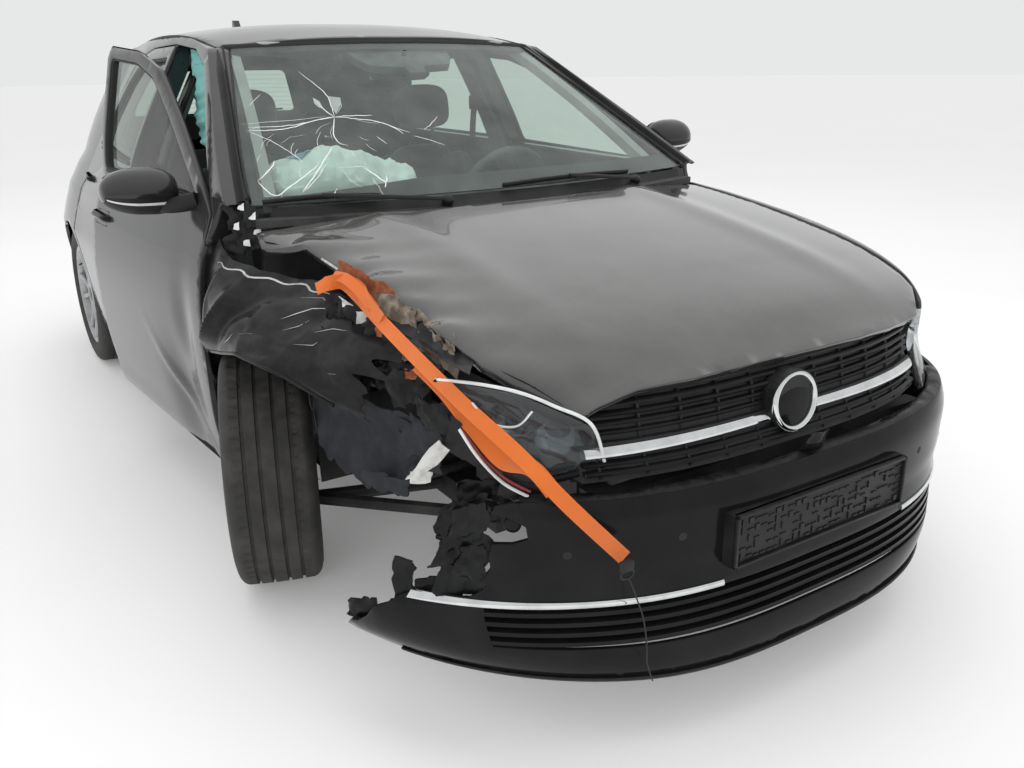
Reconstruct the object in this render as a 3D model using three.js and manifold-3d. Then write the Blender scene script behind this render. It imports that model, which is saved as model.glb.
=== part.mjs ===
// A five-door hatchback whose front right corner is crushed.
// Millimetres, +Z up. The nose points to -Y and the car's left side to +X.
// The origin is on the floor at mid-length on the centreline.
import * as THREE from 'three';
import { mergeVertices } from 'three/addons/utils/BufferGeometryUtils.js';
import Module from 'manifold-3d';

const wasm = await Module();
wasm.setup();

// Driving dimensions
const NOSE_Y = -2127.5;
const TAIL_Y = 2127.5;
const FRONT_AXLE = -1282.5;
const REAR_AXLE = 1354.5;
const FRONT_WHEEL_X = 774.5;
const REAR_WHEEL_X = 760;
const TYRE_R = 317;
const TYRE_HALF_WIDTH = 112;
const RIM_R = 222;
const ARCH_R = 345;
const SEAT_GAP = 0.3;
const SHUT_GAP = 6;
const DOOR_THICKNESS = 75;
const SIDE_THICKNESS = 140;
const SILL_Z = 176;

// The plan outline is a superellipse at each end and straight between the bends.
const FRONT_BEND_Y = -1100;
const REAR_BEND_Y = 1150;
const FRONT_POWER = 2.9;
const REAR_POWER = 3.4;

// Columns: height, half-width of the flank
const FLANK = [
  [150, 788], [230, 845], [330, 868], [450, 885], [600, 895], [700, 893], [800, 880], [830, 872],
  [900, 850], [950, 825], [1000, 806], [1100, 762], [1200, 710], [1300, 656], [1380, 612], [1430, 578], [1470, 545],
];
// Columns: height, distance of the nose behind NOSE_Y
const NOSE_SETBACK = [
  [130, 8], [160, -10], [200, -16], [250, -12], [350, 0], [450, 0], [520, 5], [560, 20], [600, 45], [640, 65],
  [700, 75], [740, 95], [900, 200],
];
// Columns: height, distance of the tail ahead of TAIL_Y
const TAIL_SETBACK = [
  [150, 90], [200, 60], [300, 10], [400, 0], [500, 0], [600, 15], [700, 45], [800, 60], [900, 80],
  [1000, 110], [1100, 150], [1200, 190], [1300, 225], [1400, 260], [1450, 280],
];
// Columns: distance along the car, height of the bonnet's centre line
const BONNET_CENTRE = [
  [-2040, 742], [-1900, 815], [-1700, 865], [-1500, 900], [-1300, 930], [-1060, 960], [-900, 975],
];
// Columns: distance along the car, half-width of the bonnet
const BONNET_EDGE = [
  [-1985, 520], [-1930, 600], [-1800, 680], [-1600, 735], [-1400, 755], [-1200, 765], [-900, 765],
];
// Columns: distance along the car, height of the roof's centre line
const ROOF_CENTRE = [[-260, 1408], [50, 1452], [350, 1467], [800, 1460], [1200, 1436], [1550, 1400], [1900, 1356]];
const ROOF_DROP = 42;
const BONNET_DROP = 45;

const lerp = (a, b, t) => a + (b - a) * t;
const clamp = (v, low, high) => Math.min(high, Math.max(low, v));

// A value between the rows of a two-column list
function along(rows, at) {
  if (at <= rows[0][0]) return rows[0][1];
  for (let i = 1; i < rows.length; i++) {
    if (at <= rows[i][0]) {
      return lerp(rows[i - 1][1], rows[i][1], (at - rows[i - 1][0]) / (rows[i][0] - rows[i - 1][0]));
    }
  }
  return rows[rows.length - 1][1];
}

// The same with a smooth curve through the rows
function smooth(rows, at) {
  const last = rows.length - 1;
  const x = clamp(at, rows[0][0], rows[last][0]);
  let i = 0;
  while (i < last - 1 && x > rows[i + 1][0]) i++;
  const slope = (k) => {
    const a = Math.max(0, k - 1);
    const b = Math.min(last, k + 1);
    return (rows[b][1] - rows[a][1]) / (rows[b][0] - rows[a][0]);
  };
  const h = rows[i + 1][0] - rows[i][0];
  const t = (x - rows[i][0]) / h;
  const t2 = t * t;
  const t3 = t2 * t;
  return (2 * t3 - 3 * t2 + 1) * rows[i][1] + (t3 - 2 * t2 + t) * h * slope(i)
    + (3 * t2 - 2 * t3) * rows[i + 1][1] + (t3 - t2) * h * slope(i + 1);
}

const halfWidth = (z) => smooth(FLANK, z);
// The body above the rear wheels draws in towards the tail
const TAIL_TAPER = 68;
function tailTaper(y, z) {
  return TAIL_TAPER * clamp((z - 650) / 300, 0, 1) * Math.pow(clamp((y - 300) / (REAR_BEND_Y - 300), 0, 1), 1.5);
}
const noseY = (z) => NOSE_Y + along(NOSE_SETBACK, z);
const tailY = (z) => TAIL_Y - along(TAIL_SETBACK, z);
const superellipse = (k, power) => Math.pow(Math.max(0, 1 - Math.pow(clamp(Math.abs(k), 0, 1), power)), 1 / power);

// Depth of the nose and tail skins over a point of the front or rear view
function noseSkinY(x, z, inset = 0) {
  return FRONT_BEND_Y - (FRONT_BEND_Y - noseY(z) - inset) * superellipse(x / (halfWidth(z) - inset), FRONT_POWER);
}
function tailSkinY(x, z, inset = 0) {
  return REAR_BEND_Y + (tailY(z) - inset - REAR_BEND_Y) * superellipse(x / (halfWidth(z) - inset - tailTaper(REAR_BEND_Y, z)), REAR_POWER);
}

// A point of the body's outline at a height: s runs from -1 (nose) to 0 (front bend), 1 (rear bend) and 2 (tail)
function outlinePoint(s, z, inset = 0) {
  const w = halfWidth(z) - inset;
  if (s < 0) {
    const a = Math.pow(-s, 1.4) * Math.PI / 2;
    const reach = FRONT_BEND_Y - noseY(z) - inset;
    return [w * Math.pow(Math.cos(a), 2 / FRONT_POWER), FRONT_BEND_Y - reach * Math.pow(Math.sin(a), 2 / FRONT_POWER), z];
  }
  if (s <= 1) {
    const y = lerp(FRONT_BEND_Y, REAR_BEND_Y, s);
    return [w - tailTaper(y, z), y, z];
  }
  const a = Math.pow(s - 1, 1.4) * Math.PI / 2;
  const reach = tailY(z) - inset - REAR_BEND_Y;
  return [(w - tailTaper(REAR_BEND_Y, z)) * Math.pow(Math.cos(a), 2 / REAR_POWER), REAR_BEND_Y + reach * Math.pow(Math.sin(a), 2 / REAR_POWER), z];
}

// Bonnet and roof surfaces
function bonnetZ(x, y) {
  const k = clamp(Math.abs(x) / smooth(BONNET_EDGE, y), 0, 1.1);
  const ridge = 7 * Math.exp(-Math.pow((Math.abs(x) - 430) / 70, 2));
  return smooth(BONNET_CENTRE, y) - BONNET_DROP * Math.pow(k, 2.6) + ridge * clamp((y + 2000) / 300, 0, 1);
}
const roofHalfWidth = (y) => 582 - tailTaper(y, 1400) - 40 * Math.pow(clamp((y - REAR_BEND_Y) / 700, 0, 1), 2);
const roofZ = (x, y) => smooth(ROOF_CENTRE, y) - ROOF_DROP * Math.pow(Math.abs(x) / roofHalfWidth(y), 2.6);

// Solids
function solid(geometry) {
  const bare = geometry.clone();
  for (const key of Object.keys(bare.attributes)) {
    if (key !== 'position') bare.deleteAttribute(key);
  }
  const merged = mergeVertices(bare, 1e-3);
  const p = merged.attributes.position.array;
  const tri = Uint32Array.from(merged.index.array);
  const keep = [];
  let volume = 0;
  for (let i = 0; i < tri.length; i += 3) {
    const [a, b, c] = [tri[i], tri[i + 1], tri[i + 2]];
    if (a === b || b === c || a === c) continue;
    keep.push(a, b, c);
    const [ax, ay, az, bx, by, bz, cx, cy, cz] = [a, b, c].flatMap((k) => [p[3 * k], p[3 * k + 1], p[3 * k + 2]]);
    volume += ax * (by * cz - bz * cy) + ay * (bz * cx - bx * cz) + az * (bx * cy - by * cx);
  }
  if (volume < 0) {
    for (let i = 0; i < keep.length; i += 3) [keep[i], keep[i + 1]] = [keep[i + 1], keep[i]];
  }
  const data = { numProp: 3, vertProperties: new Float32Array(p), triVerts: new Uint32Array(keep) };
  return new wasm.Manifold(new wasm.Mesh(data));
}
const join = (...parts) => parts.flat().reduce((a, b) => a.add(b));
const cut = (base, ...tools) => tools.flat().reduce((a, b) => a.subtract(b), base);

// A closed shell between two grids of points
function shell(nu, nv, outer, inner) {
  const points = [];
  const index = [];
  const grid = (surface) => {
    for (let i = 0; i <= nu; i++) {
      for (let j = 0; j <= nv; j++) points.push(...surface(i / nu, j / nv));
    }
  };
  grid(outer);
  grid(inner);
  const id = (layer, i, j) => layer * (nu + 1) * (nv + 1) + i * (nv + 1) + j;
  const quad = (a, b, c, d) => index.push(a, b, c, a, c, d);
  for (let i = 0; i < nu; i++) {
    for (let j = 0; j < nv; j++) {
      quad(id(0, i, j), id(0, i + 1, j), id(0, i + 1, j + 1), id(0, i, j + 1));
      quad(id(1, i, j), id(1, i, j + 1), id(1, i + 1, j + 1), id(1, i + 1, j));
    }
    quad(id(0, i, 0), id(1, i, 0), id(1, i + 1, 0), id(0, i + 1, 0));
    quad(id(0, i, nv), id(0, i + 1, nv), id(1, i + 1, nv), id(1, i, nv));
  }
  for (let j = 0; j < nv; j++) {
    quad(id(0, 0, j), id(0, 0, j + 1), id(1, 0, j + 1), id(1, 0, j));
    quad(id(0, nu, j), id(1, nu, j), id(1, nu, j + 1), id(0, nu, j + 1));
  }
  const geometry = new THREE.BufferGeometry();
  geometry.setAttribute('position', new THREE.Float32BufferAttribute(points, 3));
  geometry.setIndex(index);
  return solid(geometry);
}

const outline = (points) => new THREE.Shape(points.map(([a, b]) => new THREE.Vector2(a, b)));
function extruded(points, depth) {
  return new THREE.ExtrudeGeometry(outline(points), { depth, bevelEnabled: false, curveSegments: 24 });
}
// Outline in (y, z), from x0 to x1
function slab(points, x0, x1) {
  const turn = new THREE.Matrix4().set(0, 0, 1, x0, 1, 0, 0, 0, 0, 1, 0, 0, 0, 0, 0, 1);
  return solid(extruded(points, x1 - x0).applyMatrix4(turn));
}
// Outline in (x, z), from y0 to y1
function across(points, y0, y1) {
  const turn = new THREE.Matrix4().set(1, 0, 0, 0, 0, 0, -1, y1, 0, 1, 0, 0, 0, 0, 0, 1);
  return solid(extruded(points, y1 - y0).applyMatrix4(turn));
}
// Outline in (x, y), from z0 to z1
function plate(points, z0, z1) {
  return solid(extruded(points, z1 - z0).translate(0, 0, z0));
}
function block(x0, x1, y0, y1, z0, z1) {
  const box = new THREE.BoxGeometry(x1 - x0, y1 - y0, z1 - z0);
  return solid(box.translate((x0 + x1) / 2, (y0 + y1) / 2, (z0 + z1) / 2));
}
function rod(from, to, radius, sides = 10, farRadius = radius) {
  const a = new THREE.Vector3(...from);
  const b = new THREE.Vector3(...to);
  const geometry = new THREE.CylinderGeometry(farRadius, radius, a.distanceTo(b), sides);
  const turn = new THREE.Quaternion().setFromUnitVectors(new THREE.Vector3(0, 1, 0), b.clone().sub(a).normalize());
  geometry.applyQuaternion(turn);
  return solid(geometry.translate(...a.add(b).multiplyScalar(0.5).toArray()));
}
function ball(centre, radius, stretch = [1, 1, 1], segments = 16) {
  const geometry = new THREE.SphereGeometry(radius, segments, Math.round(segments * 0.6));
  return solid(geometry.scale(...stretch).translate(...centre));
}
// A round profile of (radius, distance along X) turned about the X axis
function turned(profile, segments) {
  const points = profile.map(([r, x]) => new THREE.Vector2(r, x));
  return solid(new THREE.LatheGeometry(points, segments).rotateZ(-Math.PI / 2));
}
const mirrored = (part) => part.mirror([1, 0, 0]);
// An outline grown outwards by a distance
function grown(points, by) {
  const n = points.length;
  const area = points.reduce((s, [x, y], i) => s + x * points[(i + 1) % n][1] - points[(i + 1) % n][0] * y, 0);
  const side = Math.sign(area);
  return points.map(([x, y], i) => {
    const [px, py] = points[(i + n - 1) % n];
    const [qx, qy] = points[(i + 1) % n];
    const d1 = new THREE.Vector2(x - px, y - py).normalize();
    const d2 = new THREE.Vector2(qx - x, qy - y).normalize();
    const n1 = new THREE.Vector2(d1.y, -d1.x).multiplyScalar(side);
    const n2 = new THREE.Vector2(d2.y, -d2.x).multiplyScalar(side);
    const sum = n1.clone().add(n2);
    const k = by * 2 / Math.max(0.5, sum.lengthSq());
    return [x + sum.x * k, y + sum.y * k];
  });
}

// Looks: colour, roughness, metalness
const looks = {
  paint: [0x17181b, 0.3, 0.4],
  glass: [0x9fb5b0, 0.08, 0],
  plastic: [0x1c1c1e, 0.7, 0],
  steel: [0x3a3c40, 0.55, 0.7],
  chrome: [0xd4d6d8, 0.15, 1],
  alloy: [0xa9acae, 0.35, 0.9],
  rubber: [0x232324, 0.85, 0],
  lamp: [0xc9ced2, 0.1, 0.1],
  tail: [0x8e1d20, 0.15, 0],
  cloth: [0x4a4c50, 0.95, 0],
  trim: [0x2b2d30, 0.8, 0],
  webbing: [0xe8671c, 0.75, 0],
  airbag: [0xd9e6df, 0.95, 0],
  curtain: [0x8fd6cf, 0.95, 0],
};
const car = new THREE.Group();
function add(name, part, look, group = car) {
  const { vertProperties, triVerts, numProp } = part.getMesh();
  const xyz = [];
  for (let i = 0; i < vertProperties.length; i += numProp) xyz.push(...vertProperties.slice(i, i + 3));
  const geometry = new THREE.BufferGeometry();
  geometry.setAttribute('position', new THREE.Float32BufferAttribute(xyz, 3));
  geometry.setIndex(Array.from(triVerts));
  geometry.computeVertexNormals();
  const [color, roughness, metalness] = looks[look];
  const mesh = new THREE.Mesh(geometry, new THREE.MeshStandardMaterial({ color, roughness, metalness }));
  mesh.name = name;
  group.add(mesh);
  return part;
}

// Room that the front left tyre needs when it steers, and the pushed-back front right tyre
const KINGPIN_X = 690;
const steerRoom = plate([
  [1150, -1600], [676, -1665], [475, -1535], [475, -1030], [676, -900], [1150, -965],
], -10, 650);
const RIGHT_WHEEL = [-790, -1000, TYRE_R];
const RIGHT_STEER = -19 * Math.PI / 180;
const rightAxle = new THREE.Vector3(Math.cos(RIGHT_STEER), Math.sin(RIGHT_STEER), 0);
function besideRightWheel(distance) {
  return new THREE.Vector3(...RIGHT_WHEEL).addScaledVector(rightAxle, distance).toArray();
}
const rightWheelRoom = rod(besideRightWheel(-TYRE_HALF_WIDTH - 14), besideRightWheel(TYRE_HALF_WIDTH + 14), TYRE_R + 15, 32);

// Side outlines in (y, z)
const FRONT_DOOR = [
  [-835, 240], [-838, 700], [-825, 880], [-795, 962], [-480, 1165], [-230, 1322], [-60, 1372], [205, 1390],
  [205, 240],
];
const FRONT_WINDOW = [[-695, 985], [-440, 1148], [-205, 1294], [-55, 1338], [168, 1354], [168, 1000]];
const REAR_DOOR = [
  [215, 240], [215, 1391], [560, 1384], [800, 1352], [930, 1285], [1060, 1140], [1165, 985], [1165, 600],
  [1100, 240],
];
const REAR_WINDOW = [
  [252, 1002], [252, 1355], [550, 1348], [785, 1318], [895, 1255], [990, 1145], [1075, 1015],
];
const APERTURES = [
  [[-770, 290], [-775, 880], [-740, 935], [-195, 1280], [-40, 1325], [150, 1342], [150, 290]],
  [[270, 290], [270, 1342], [560, 1336], [780, 1305], [895, 1245], [1010, 1115], [1095, 985], [1095, 640],
    [985, 470], [950, 290]],
];
const BODY_SIDE = [
  [-905, SILL_Z], [-905, 975], [-880, 1000], [-150, 1455], [1700, 1455], [1905, 1420], [1990, 1090],
  [2070, 960], [2070, 630], [1400, 630], [1300, SILL_Z],
];
const WING = [
  [-843, 235], [-846, 700], [-843, 990], [-1500, 960], [-1990, 860], [-2060, 563], [-1450, 563], [-1450, 235],
];
const TAIL_LAMP = [[1760, 905], [1770, 745], [1900, 715], [2120, 720], [2120, 925], [1880, 930]];
const HEADLAMP = [
  [-1530, 862], [-1700, 712], [-1850, 625], [-1985, 572], [-2140, 560], [-2140, 745], [-1985, 742],
  [-1850, 792], [-1700, 838],
];
const TAILGATE = [
  [-560, 640], [560, 640], [580, 900], [540, 1010], [440, 1300], [420, 1378], [-420, 1378], [-440, 1300],
  [-540, 1010], [-580, 900],
];
const REAR_GLASS = [[-462, 1052], [462, 1052], [378, 1312], [-378, 1312]];

// The flank between two insets, from the pillar behind the front wheel to the tail corner
function flankLayer(inset, depth, sFrom, sTo, steps) {
  const at = (depthHere) => (u, v) => outlinePoint(lerp(sFrom, sTo, u), lerp(SILL_Z - 6, 1460, v), depthHere);
  return shell(steps, 9, at(inset), at(depth));
}
const sideBlank = flankLayer(0, SIDE_THICKNESS, 0.06, 1.86, 14);
const doorLayer = flankLayer(0, DOOR_THICKNESS, 0.06, 1.12, 2);
const doorPocket = flankLayer(-60, DOOR_THICKNESS + SHUT_GAP, 0.06, 1.12, 2);
const glassLayer = flankLayer(18, 23, 0.06, 1.12, 2);
const archTool = (y, radius) => rod([600, y, TYRE_R], [1000, y, TYRE_R], radius, 40);

// Roof, with the aerial fin fused to it
const ROOF_END_Y = 1785;
const ROOF_COLUMNS = 10;
function roofShell(top, bottom, margin) {
  const columns = ROOF_COLUMNS + (margin ? 2 : 0);
  const at = (lift) => (u, v) => {
    const k = lerp(-1, 1, u) * columns / ROOF_COLUMNS;
    const inside = clamp(k, -1, 1);
    const y = lerp(-262 + 78 * inside * inside - margin, ROOF_END_Y, v);
    const x = inside * roofHalfWidth(y) + Math.sign(k - inside) * margin;
    return [x, y, roofZ(inside * roofHalfWidth(y), y) + lift];
  };
  return shell(columns, 9, at(top), at(bottom));
}
const roofPanel = roofShell(0, -16, 0);
const roofRoom = roofShell(200, -16 - 2, 60);
const aerial = slab([[1375, 1408], [1395, 1450], [1445, 1518], [1462, 1520], [1470, 1480], [1482, 1395]], -14, 14);
add('roof_panel', join(roofPanel, aerial), 'paint');

// Windscreen: columns of its corners are x, y and z at the foot and the head
const SCREEN_FOOT = { halfWidth: 752, y: -992, sweep: 108, z: 985, drop: 0 };
const SCREEN_HEAD = { halfWidth: 566, y: -268, sweep: 80, z: 1393, drop: 14 };
function screenPoint(k, t, lift) {
  const bulge = 16 * Math.sin(Math.PI * t) * (1 - k * k);
  const x = k * lerp(SCREEN_FOOT.halfWidth, SCREEN_HEAD.halfWidth, t);
  const y = lerp(SCREEN_FOOT.y + SCREEN_FOOT.sweep * k * k, SCREEN_HEAD.y + SCREEN_HEAD.sweep * k * k, t);
  const z = lerp(SCREEN_FOOT.z, SCREEN_HEAD.z - SCREEN_HEAD.drop * k * k, t);
  return [x, y - (bulge + lift) * 0.49, z + (bulge + lift) * 0.87];
}
const SCREEN_COLUMNS = 8;
function screenShell(top, bottom, margin) {
  const columns = SCREEN_COLUMNS + (margin ? 2 : 0);
  const at = (lift) => (u, v) => {
    const k = lerp(-1, 1, u) * columns / SCREEN_COLUMNS;
    const inside = clamp(k, -1, 1);
    const [x, y, z] = screenPoint(inside, lerp(margin ? -0.02 : 0, 1, v), lift);
    return [x + Math.sign(k - inside) * margin, y, z];
  };
  return shell(columns, 5, at(top), at(bottom));
}
const screen = screenShell(0, -5, 0);
const screenRoom = screenShell(90, -6, 4);
add('windscreen', cut(screen, roofRoom), 'glass');

// Body sides with sill, pillars, roof rail and rear quarter
const wingPocket = flankLayer(-60, 62, -0.2, 0.2, 8).intersect(slab(grown(WING, SHUT_GAP), 500, 1000));
const LAMP_DEPTH = 62;
const LAMP_SPAN = [1.05, 1.9, 10];
const tailLampPocket = flankLayer(-60, LAMP_DEPTH + SEAT_GAP, ...LAMP_SPAN)
  .intersect(slab(grown(TAIL_LAMP, 3), 200, 1000));
const tailgateRoom = across(grown(TAILGATE, SHUT_GAP), 1700, 2300);
const pockets = [FRONT_DOOR, REAR_DOOR].map((door) => doorPocket.intersect(slab(grown(door, SHUT_GAP), 400, 1000)));
const doorways = APERTURES.map((opening) => slab(opening, 300, 1000));
const spoilerRoom = block(-478, 478, 1700, 2300, 1268, 1500);
const wingTopRoom = block(755, 1000, -915, -837, 860, 1000);
const QUARTER_FOOT = block(300, 1000, 1300, 2300, 100, 632);
const HINGE_Y = [-833, 217];
const HINGE_Z = [400, 700];
const hingeLayer = flankLayer(DOOR_THICKNESS + SEAT_GAP, DOOR_THICKNESS + SHUT_GAP + 4, 0.06, 1.12, 2);
const hingeLeaves = HINGE_Y.flatMap((y) => HINGE_Z.map((z) => hingeLayer.intersect(block(500, 1000, y + 2, y + 32, z, z + 50))));
const sideLeft = join(cut(
  sideBlank.intersect(slab(BODY_SIDE, 300, 1000)),
  pockets, doorways, wingPocket, tailLampPocket, tailgateRoom, archTool(REAR_AXLE, ARCH_R),
  roofRoom, screenRoom, QUARTER_FOOT, spoilerRoom, wingTopRoom,
), hingeLeaves);
add('body_side_left', sideLeft, 'paint');
const sideRight = cut(mirrored(sideLeft), rightWheelRoom, screenRoom, roofRoom, tailgateRoom);
add('body_side_right', sideRight, 'paint');

// Doors: each leaf swings about a vertical hinge line at its front edge
const HINGE_X = 893;
function doorLeaf(door, window, extra = []) {
  return cut(doorLayer.intersect(slab(door, 300, 1000)), slab(window, 300, 1000), ...extra);
}
function doorGlass(window) {
  return glassLayer.intersect(slab(grown(window, -SEAT_GAP), 300, 1000));
}
const rearArchGap = archTool(REAR_AXLE, ARCH_R + 34);
// Bevels the inner rear edge of a door so that it swings past the edge behind it.
// Rows: height, place of that edge along the car
const SWING_CLEARANCE = 3;
function swingRoom(hingeY, rows) {
  const at = (beyond) => (u, v) => {
    const [z, y] = rows[Math.round(v * (rows.length - 1))];
    const radius = Math.hypot(HINGE_X - halfWidth(z) + tailTaper(y, z), y - hingeY) - SWING_CLEARANCE + beyond;
    const angle = lerp(-4, 62, u) * Math.PI / 180;
    return [HINGE_X - radius * Math.sin(angle), hingeY + radius * Math.cos(angle), z];
  };
  return shell(11, rows.length - 1, at(0), at(400));
}
const frontSwing = swingRoom(HINGE_Y[0], [200, 600, 900, 1000, 1100, 1200, 1300, 1400].map((z) => [z, 215]));
const rearEdge = grown(REAR_DOOR, SHUT_GAP).slice(2).reverse().map(([y, z]) => [z, y]);
const rearSwing = swingRoom(HINGE_Y[1], [200, 600, 800, 985, 1060, 1140, 1210, 1285, 1320, 1352, 1370, 1388]
  .map((z) => [z, along(rearEdge, z)]));
function mirrorShape(reach, z) {
  const shellBody = ball([938, -600, z], 1, [reach - 938, 72, 62], 12);
  const foot = rod([806, -690, 985], [915, -615, z - 30], 22, 8, 26);
  return cut(join(shellBody, foot), doorLayer);
}
const MIRROR_REACH_LEFT = 1022;
const frontLeaf = doorLeaf(FRONT_DOOR, FRONT_WINDOW, [frontSwing]);
const rearLeaf = doorLeaf(REAR_DOOR, REAR_WINDOW, [rearArchGap, rearSwing]);
add('door_front_left', frontLeaf, 'paint');
add('glass_front_left', doorGlass(FRONT_WINDOW), 'glass');
add('door_rear_left', rearLeaf, 'paint');
add('glass_rear_left', doorGlass(REAR_WINDOW), 'glass');
add('door_rear_right', mirrored(rearLeaf), 'paint');
add('glass_rear_right', mirrored(doorGlass(REAR_WINDOW)), 'glass');
add('mirror_left', cut(mirrorShape(MIRROR_REACH_LEFT, 1055), frontLeaf, frontLeaf.translate([SEAT_GAP, 0, 0])), 'paint');

// The front right door hangs ajar and its window frame is bent outwards at the rear
const AJAR_DEG = 4.5;
const FRAME_BEND = 125;
const ajar = new THREE.Group();
ajar.position.set(-HINGE_X, HINGE_Y[0], 0);
ajar.rotation.z = AJAR_DEG * Math.PI / 180;
const hung = new THREE.Group();
hung.position.set(HINGE_X, -HINGE_Y[0], 0);
ajar.add(hung);
car.add(ajar);
function bentOut(part) {
  return part.warp((p) => {
    const up = clamp((p[2] - 960) / 400, 0, 1);
    const back = clamp((p[1] + 750) / 950, 0, 1);
    p[0] -= FRAME_BEND * up * Math.sqrt(back);
  });
}
const dentedLeaf = mirrored(frontLeaf).refineToLength(230).warp((p) => {
  const dent = Math.exp(-Math.pow((p[1] + 600) / 130, 2) - Math.pow((p[2] - 420) / 150, 2));
  const outer = clamp((DOOR_THICKNESS - halfWidth(p[2]) - p[0]) / DOOR_THICKNESS, 0, 1);
  p[0] += 26 * dent * outer;
});
// The wheel's room, seen from the hung door
const hungWheelRoom = rightWheelRoom.translate([HINGE_X, -HINGE_Y[0], 0]).rotate([0, 0, -AJAR_DEG])
  .translate([-HINGE_X, HINGE_Y[0], 0]);
const bentLeaf = cut(bentOut(dentedLeaf), hungWheelRoom);
add('door_front_right', bentLeaf, 'paint', hung);
add('glass_front_right', bentOut(mirrored(doorGlass(FRONT_WINDOW)).refineToLength(200)), 'glass', hung);
add('mirror_right', cut(mirrored(mirrorShape(1038, 1012)), bentLeaf, bentLeaf.translate([-SEAT_GAP, 0, 0])), 'paint', hung);

// Tailgate with its spoiler lip, and the glass
const tailLayer = (inset, depth) => shell(
  10, 9,
  (u, v) => [lerp(-600, 600, u), tailSkinY(lerp(-600, 600, u), lerp(630, 1392, v), inset), lerp(630, 1392, v)],
  (u, v) => [lerp(-600, 600, u), tailSkinY(lerp(-600, 600, u), lerp(630, 1392, v), inset) - (depth - inset), lerp(630, 1392, v)],
);
const spoilerAt = (lift) => (u, v) => {
  const x = lerp(-1, 1, u) * 470;
  const y = lerp(ROOF_END_Y + SHUT_GAP, 1905 - 30 * Math.pow(x / 470, 2), v);
  return [x, y, roofZ(x, Math.min(y, 1900)) + lift * (1 - 0.45 * v)];
};
const spoiler = shell(8, 2, spoilerAt(0), spoilerAt(-34));
const plateRecess = block(-265, 265, 2054, 2200, 700, 830);
const tailgate = cut(
  join(tailLayer(0, 60).intersect(across(TAILGATE, 1500, 2300)), spoiler),
  across(REAR_GLASS, 1500, 2300), plateRecess, block(-700, 700, 1400, ROOF_END_Y + SHUT_GAP, 600, 1500),
);
add('tailgate', tailgate, 'paint');
add('glass_tailgate', tailLayer(20, 25).intersect(across(grown(REAR_GLASS, -SEAT_GAP), 1500, 2300)), 'glass');

// Bumpers: a skin wrapped round each end, with the arches cut out
const CHIN_RISE = 60;
const CHIN_Z = 150;
function wrapLayer(rear, inset, depth, z0, z1, steps, rows) {
  const at = (d) => (u, v) => {
    const k = lerp(-1, 1, u);
    const s = rear ? 2 - Math.abs(k) * 1.1 : -1 + Math.abs(k) * 1.1;
    const foot = rear ? z0 : z0 + CHIN_RISE * Math.pow(Math.abs(k), 1.5);
    const [x, y, z] = outlinePoint(s, lerp(foot, z1, v), d);
    return [Math.sign(k) * x, y, z];
  };
  return shell(steps, rows, at(inset), at(depth));
}
const bothArches = (y, r) => rod([-1200, y, TYRE_R], [1200, y, TYRE_R], r, 40);
const rearBumper = cut(
  wrapLayer(true, 0, 30, 185, 626, 22, 4),
  bothArches(REAR_AXLE, ARCH_R), block(-1200, 1200, 800, 1354, 0, 800),
  across(grown(TAILGATE, SHUT_GAP), 1500, 2300),
);
add('rear_bumper', rearBumper, 'paint');

// The front bumper is pulled forward and its right end is torn off above the lip
const BUMPER_SHIFT = [12, -28, 0];
const lowerMouth = plate([[-620, -2300], [620, -2300], [640, -1900], [-640, -1900]], 252, 372);
const slats = [272, 300, 328].map((z) => wrapLayer(false, 14, 34, z, z + 10, 20, 1)
  .intersect(block(-640, 640, -2300, -1700, 0, 900)));
const plateSeat = block(-262, 262, -2200, -2110, 385, 505);
const tornEnd = slab([
  [-1400, 300], [-1660, 268], [-1760, 330], [-1905, 352], [-1950, 470], [-1925, 700], [-1400, 700],
], -1100, -560);
const bumperSkin = cut(
  wrapLayer(false, 0, 24, CHIN_Z, 560, 26, 5), bothArches(FRONT_AXLE, ARCH_R), lowerMouth,
  block(-1200, 1200, FRONT_AXLE, 0, 0, 800),
);
const frontBumper = cut(join(bumperSkin, slats), tornEnd).warp((p) => {
  const out = clamp((-450 - p[0]) / 330, 0, 1) * clamp((450 - p[2]) / 120, 0, 1);
  p[0] -= 85 * out * out;
}).translate(BUMPER_SHIFT);
add('front_bumper', frontBumper, 'plastic');
const carrierY = noseSkinY(0, 450) + BUMPER_SHIFT[1];
const plateCarrier = cut(
  block(-262, 262, carrierY - 14, carrierY + 40, 388, 502), wrapLayer(false, -SEAT_GAP, 60, CHIN_Z, 560, 26, 5).translate(BUMPER_SHIFT),
);
add('plate_carrier', plateCarrier, 'plastic');

// Grille between the lamps, with the bright bar and the blank badge
const grilleZ = [572, 728];
const grilleSkin = shell(
  10, 3,
  (u, v) => [lerp(-505, 505, u), noseSkinY(lerp(-505, 505, u), lerp(...grilleZ, v), 22), lerp(...grilleZ, v)],
  (u, v) => [lerp(-505, 505, u), noseSkinY(lerp(-505, 505, u), lerp(...grilleZ, v), 22) + 30, lerp(...grilleZ, v)],
);
const brightBar = shell(
  10, 1,
  (u, v) => [lerp(-495, 495, u), noseSkinY(lerp(-495, 495, u), lerp(620, 644, v), 8), lerp(620, 644, v)],
  (u, v) => [lerp(-495, 495, u), noseSkinY(lerp(-495, 495, u), lerp(620, 644, v), 8) + 26, lerp(620, 644, v)],
);
const badgeY = noseSkinY(0, 655);
const badge = rod([0, badgeY + 30, 655], [0, badgeY - 8, 655], 68, 24);

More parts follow.
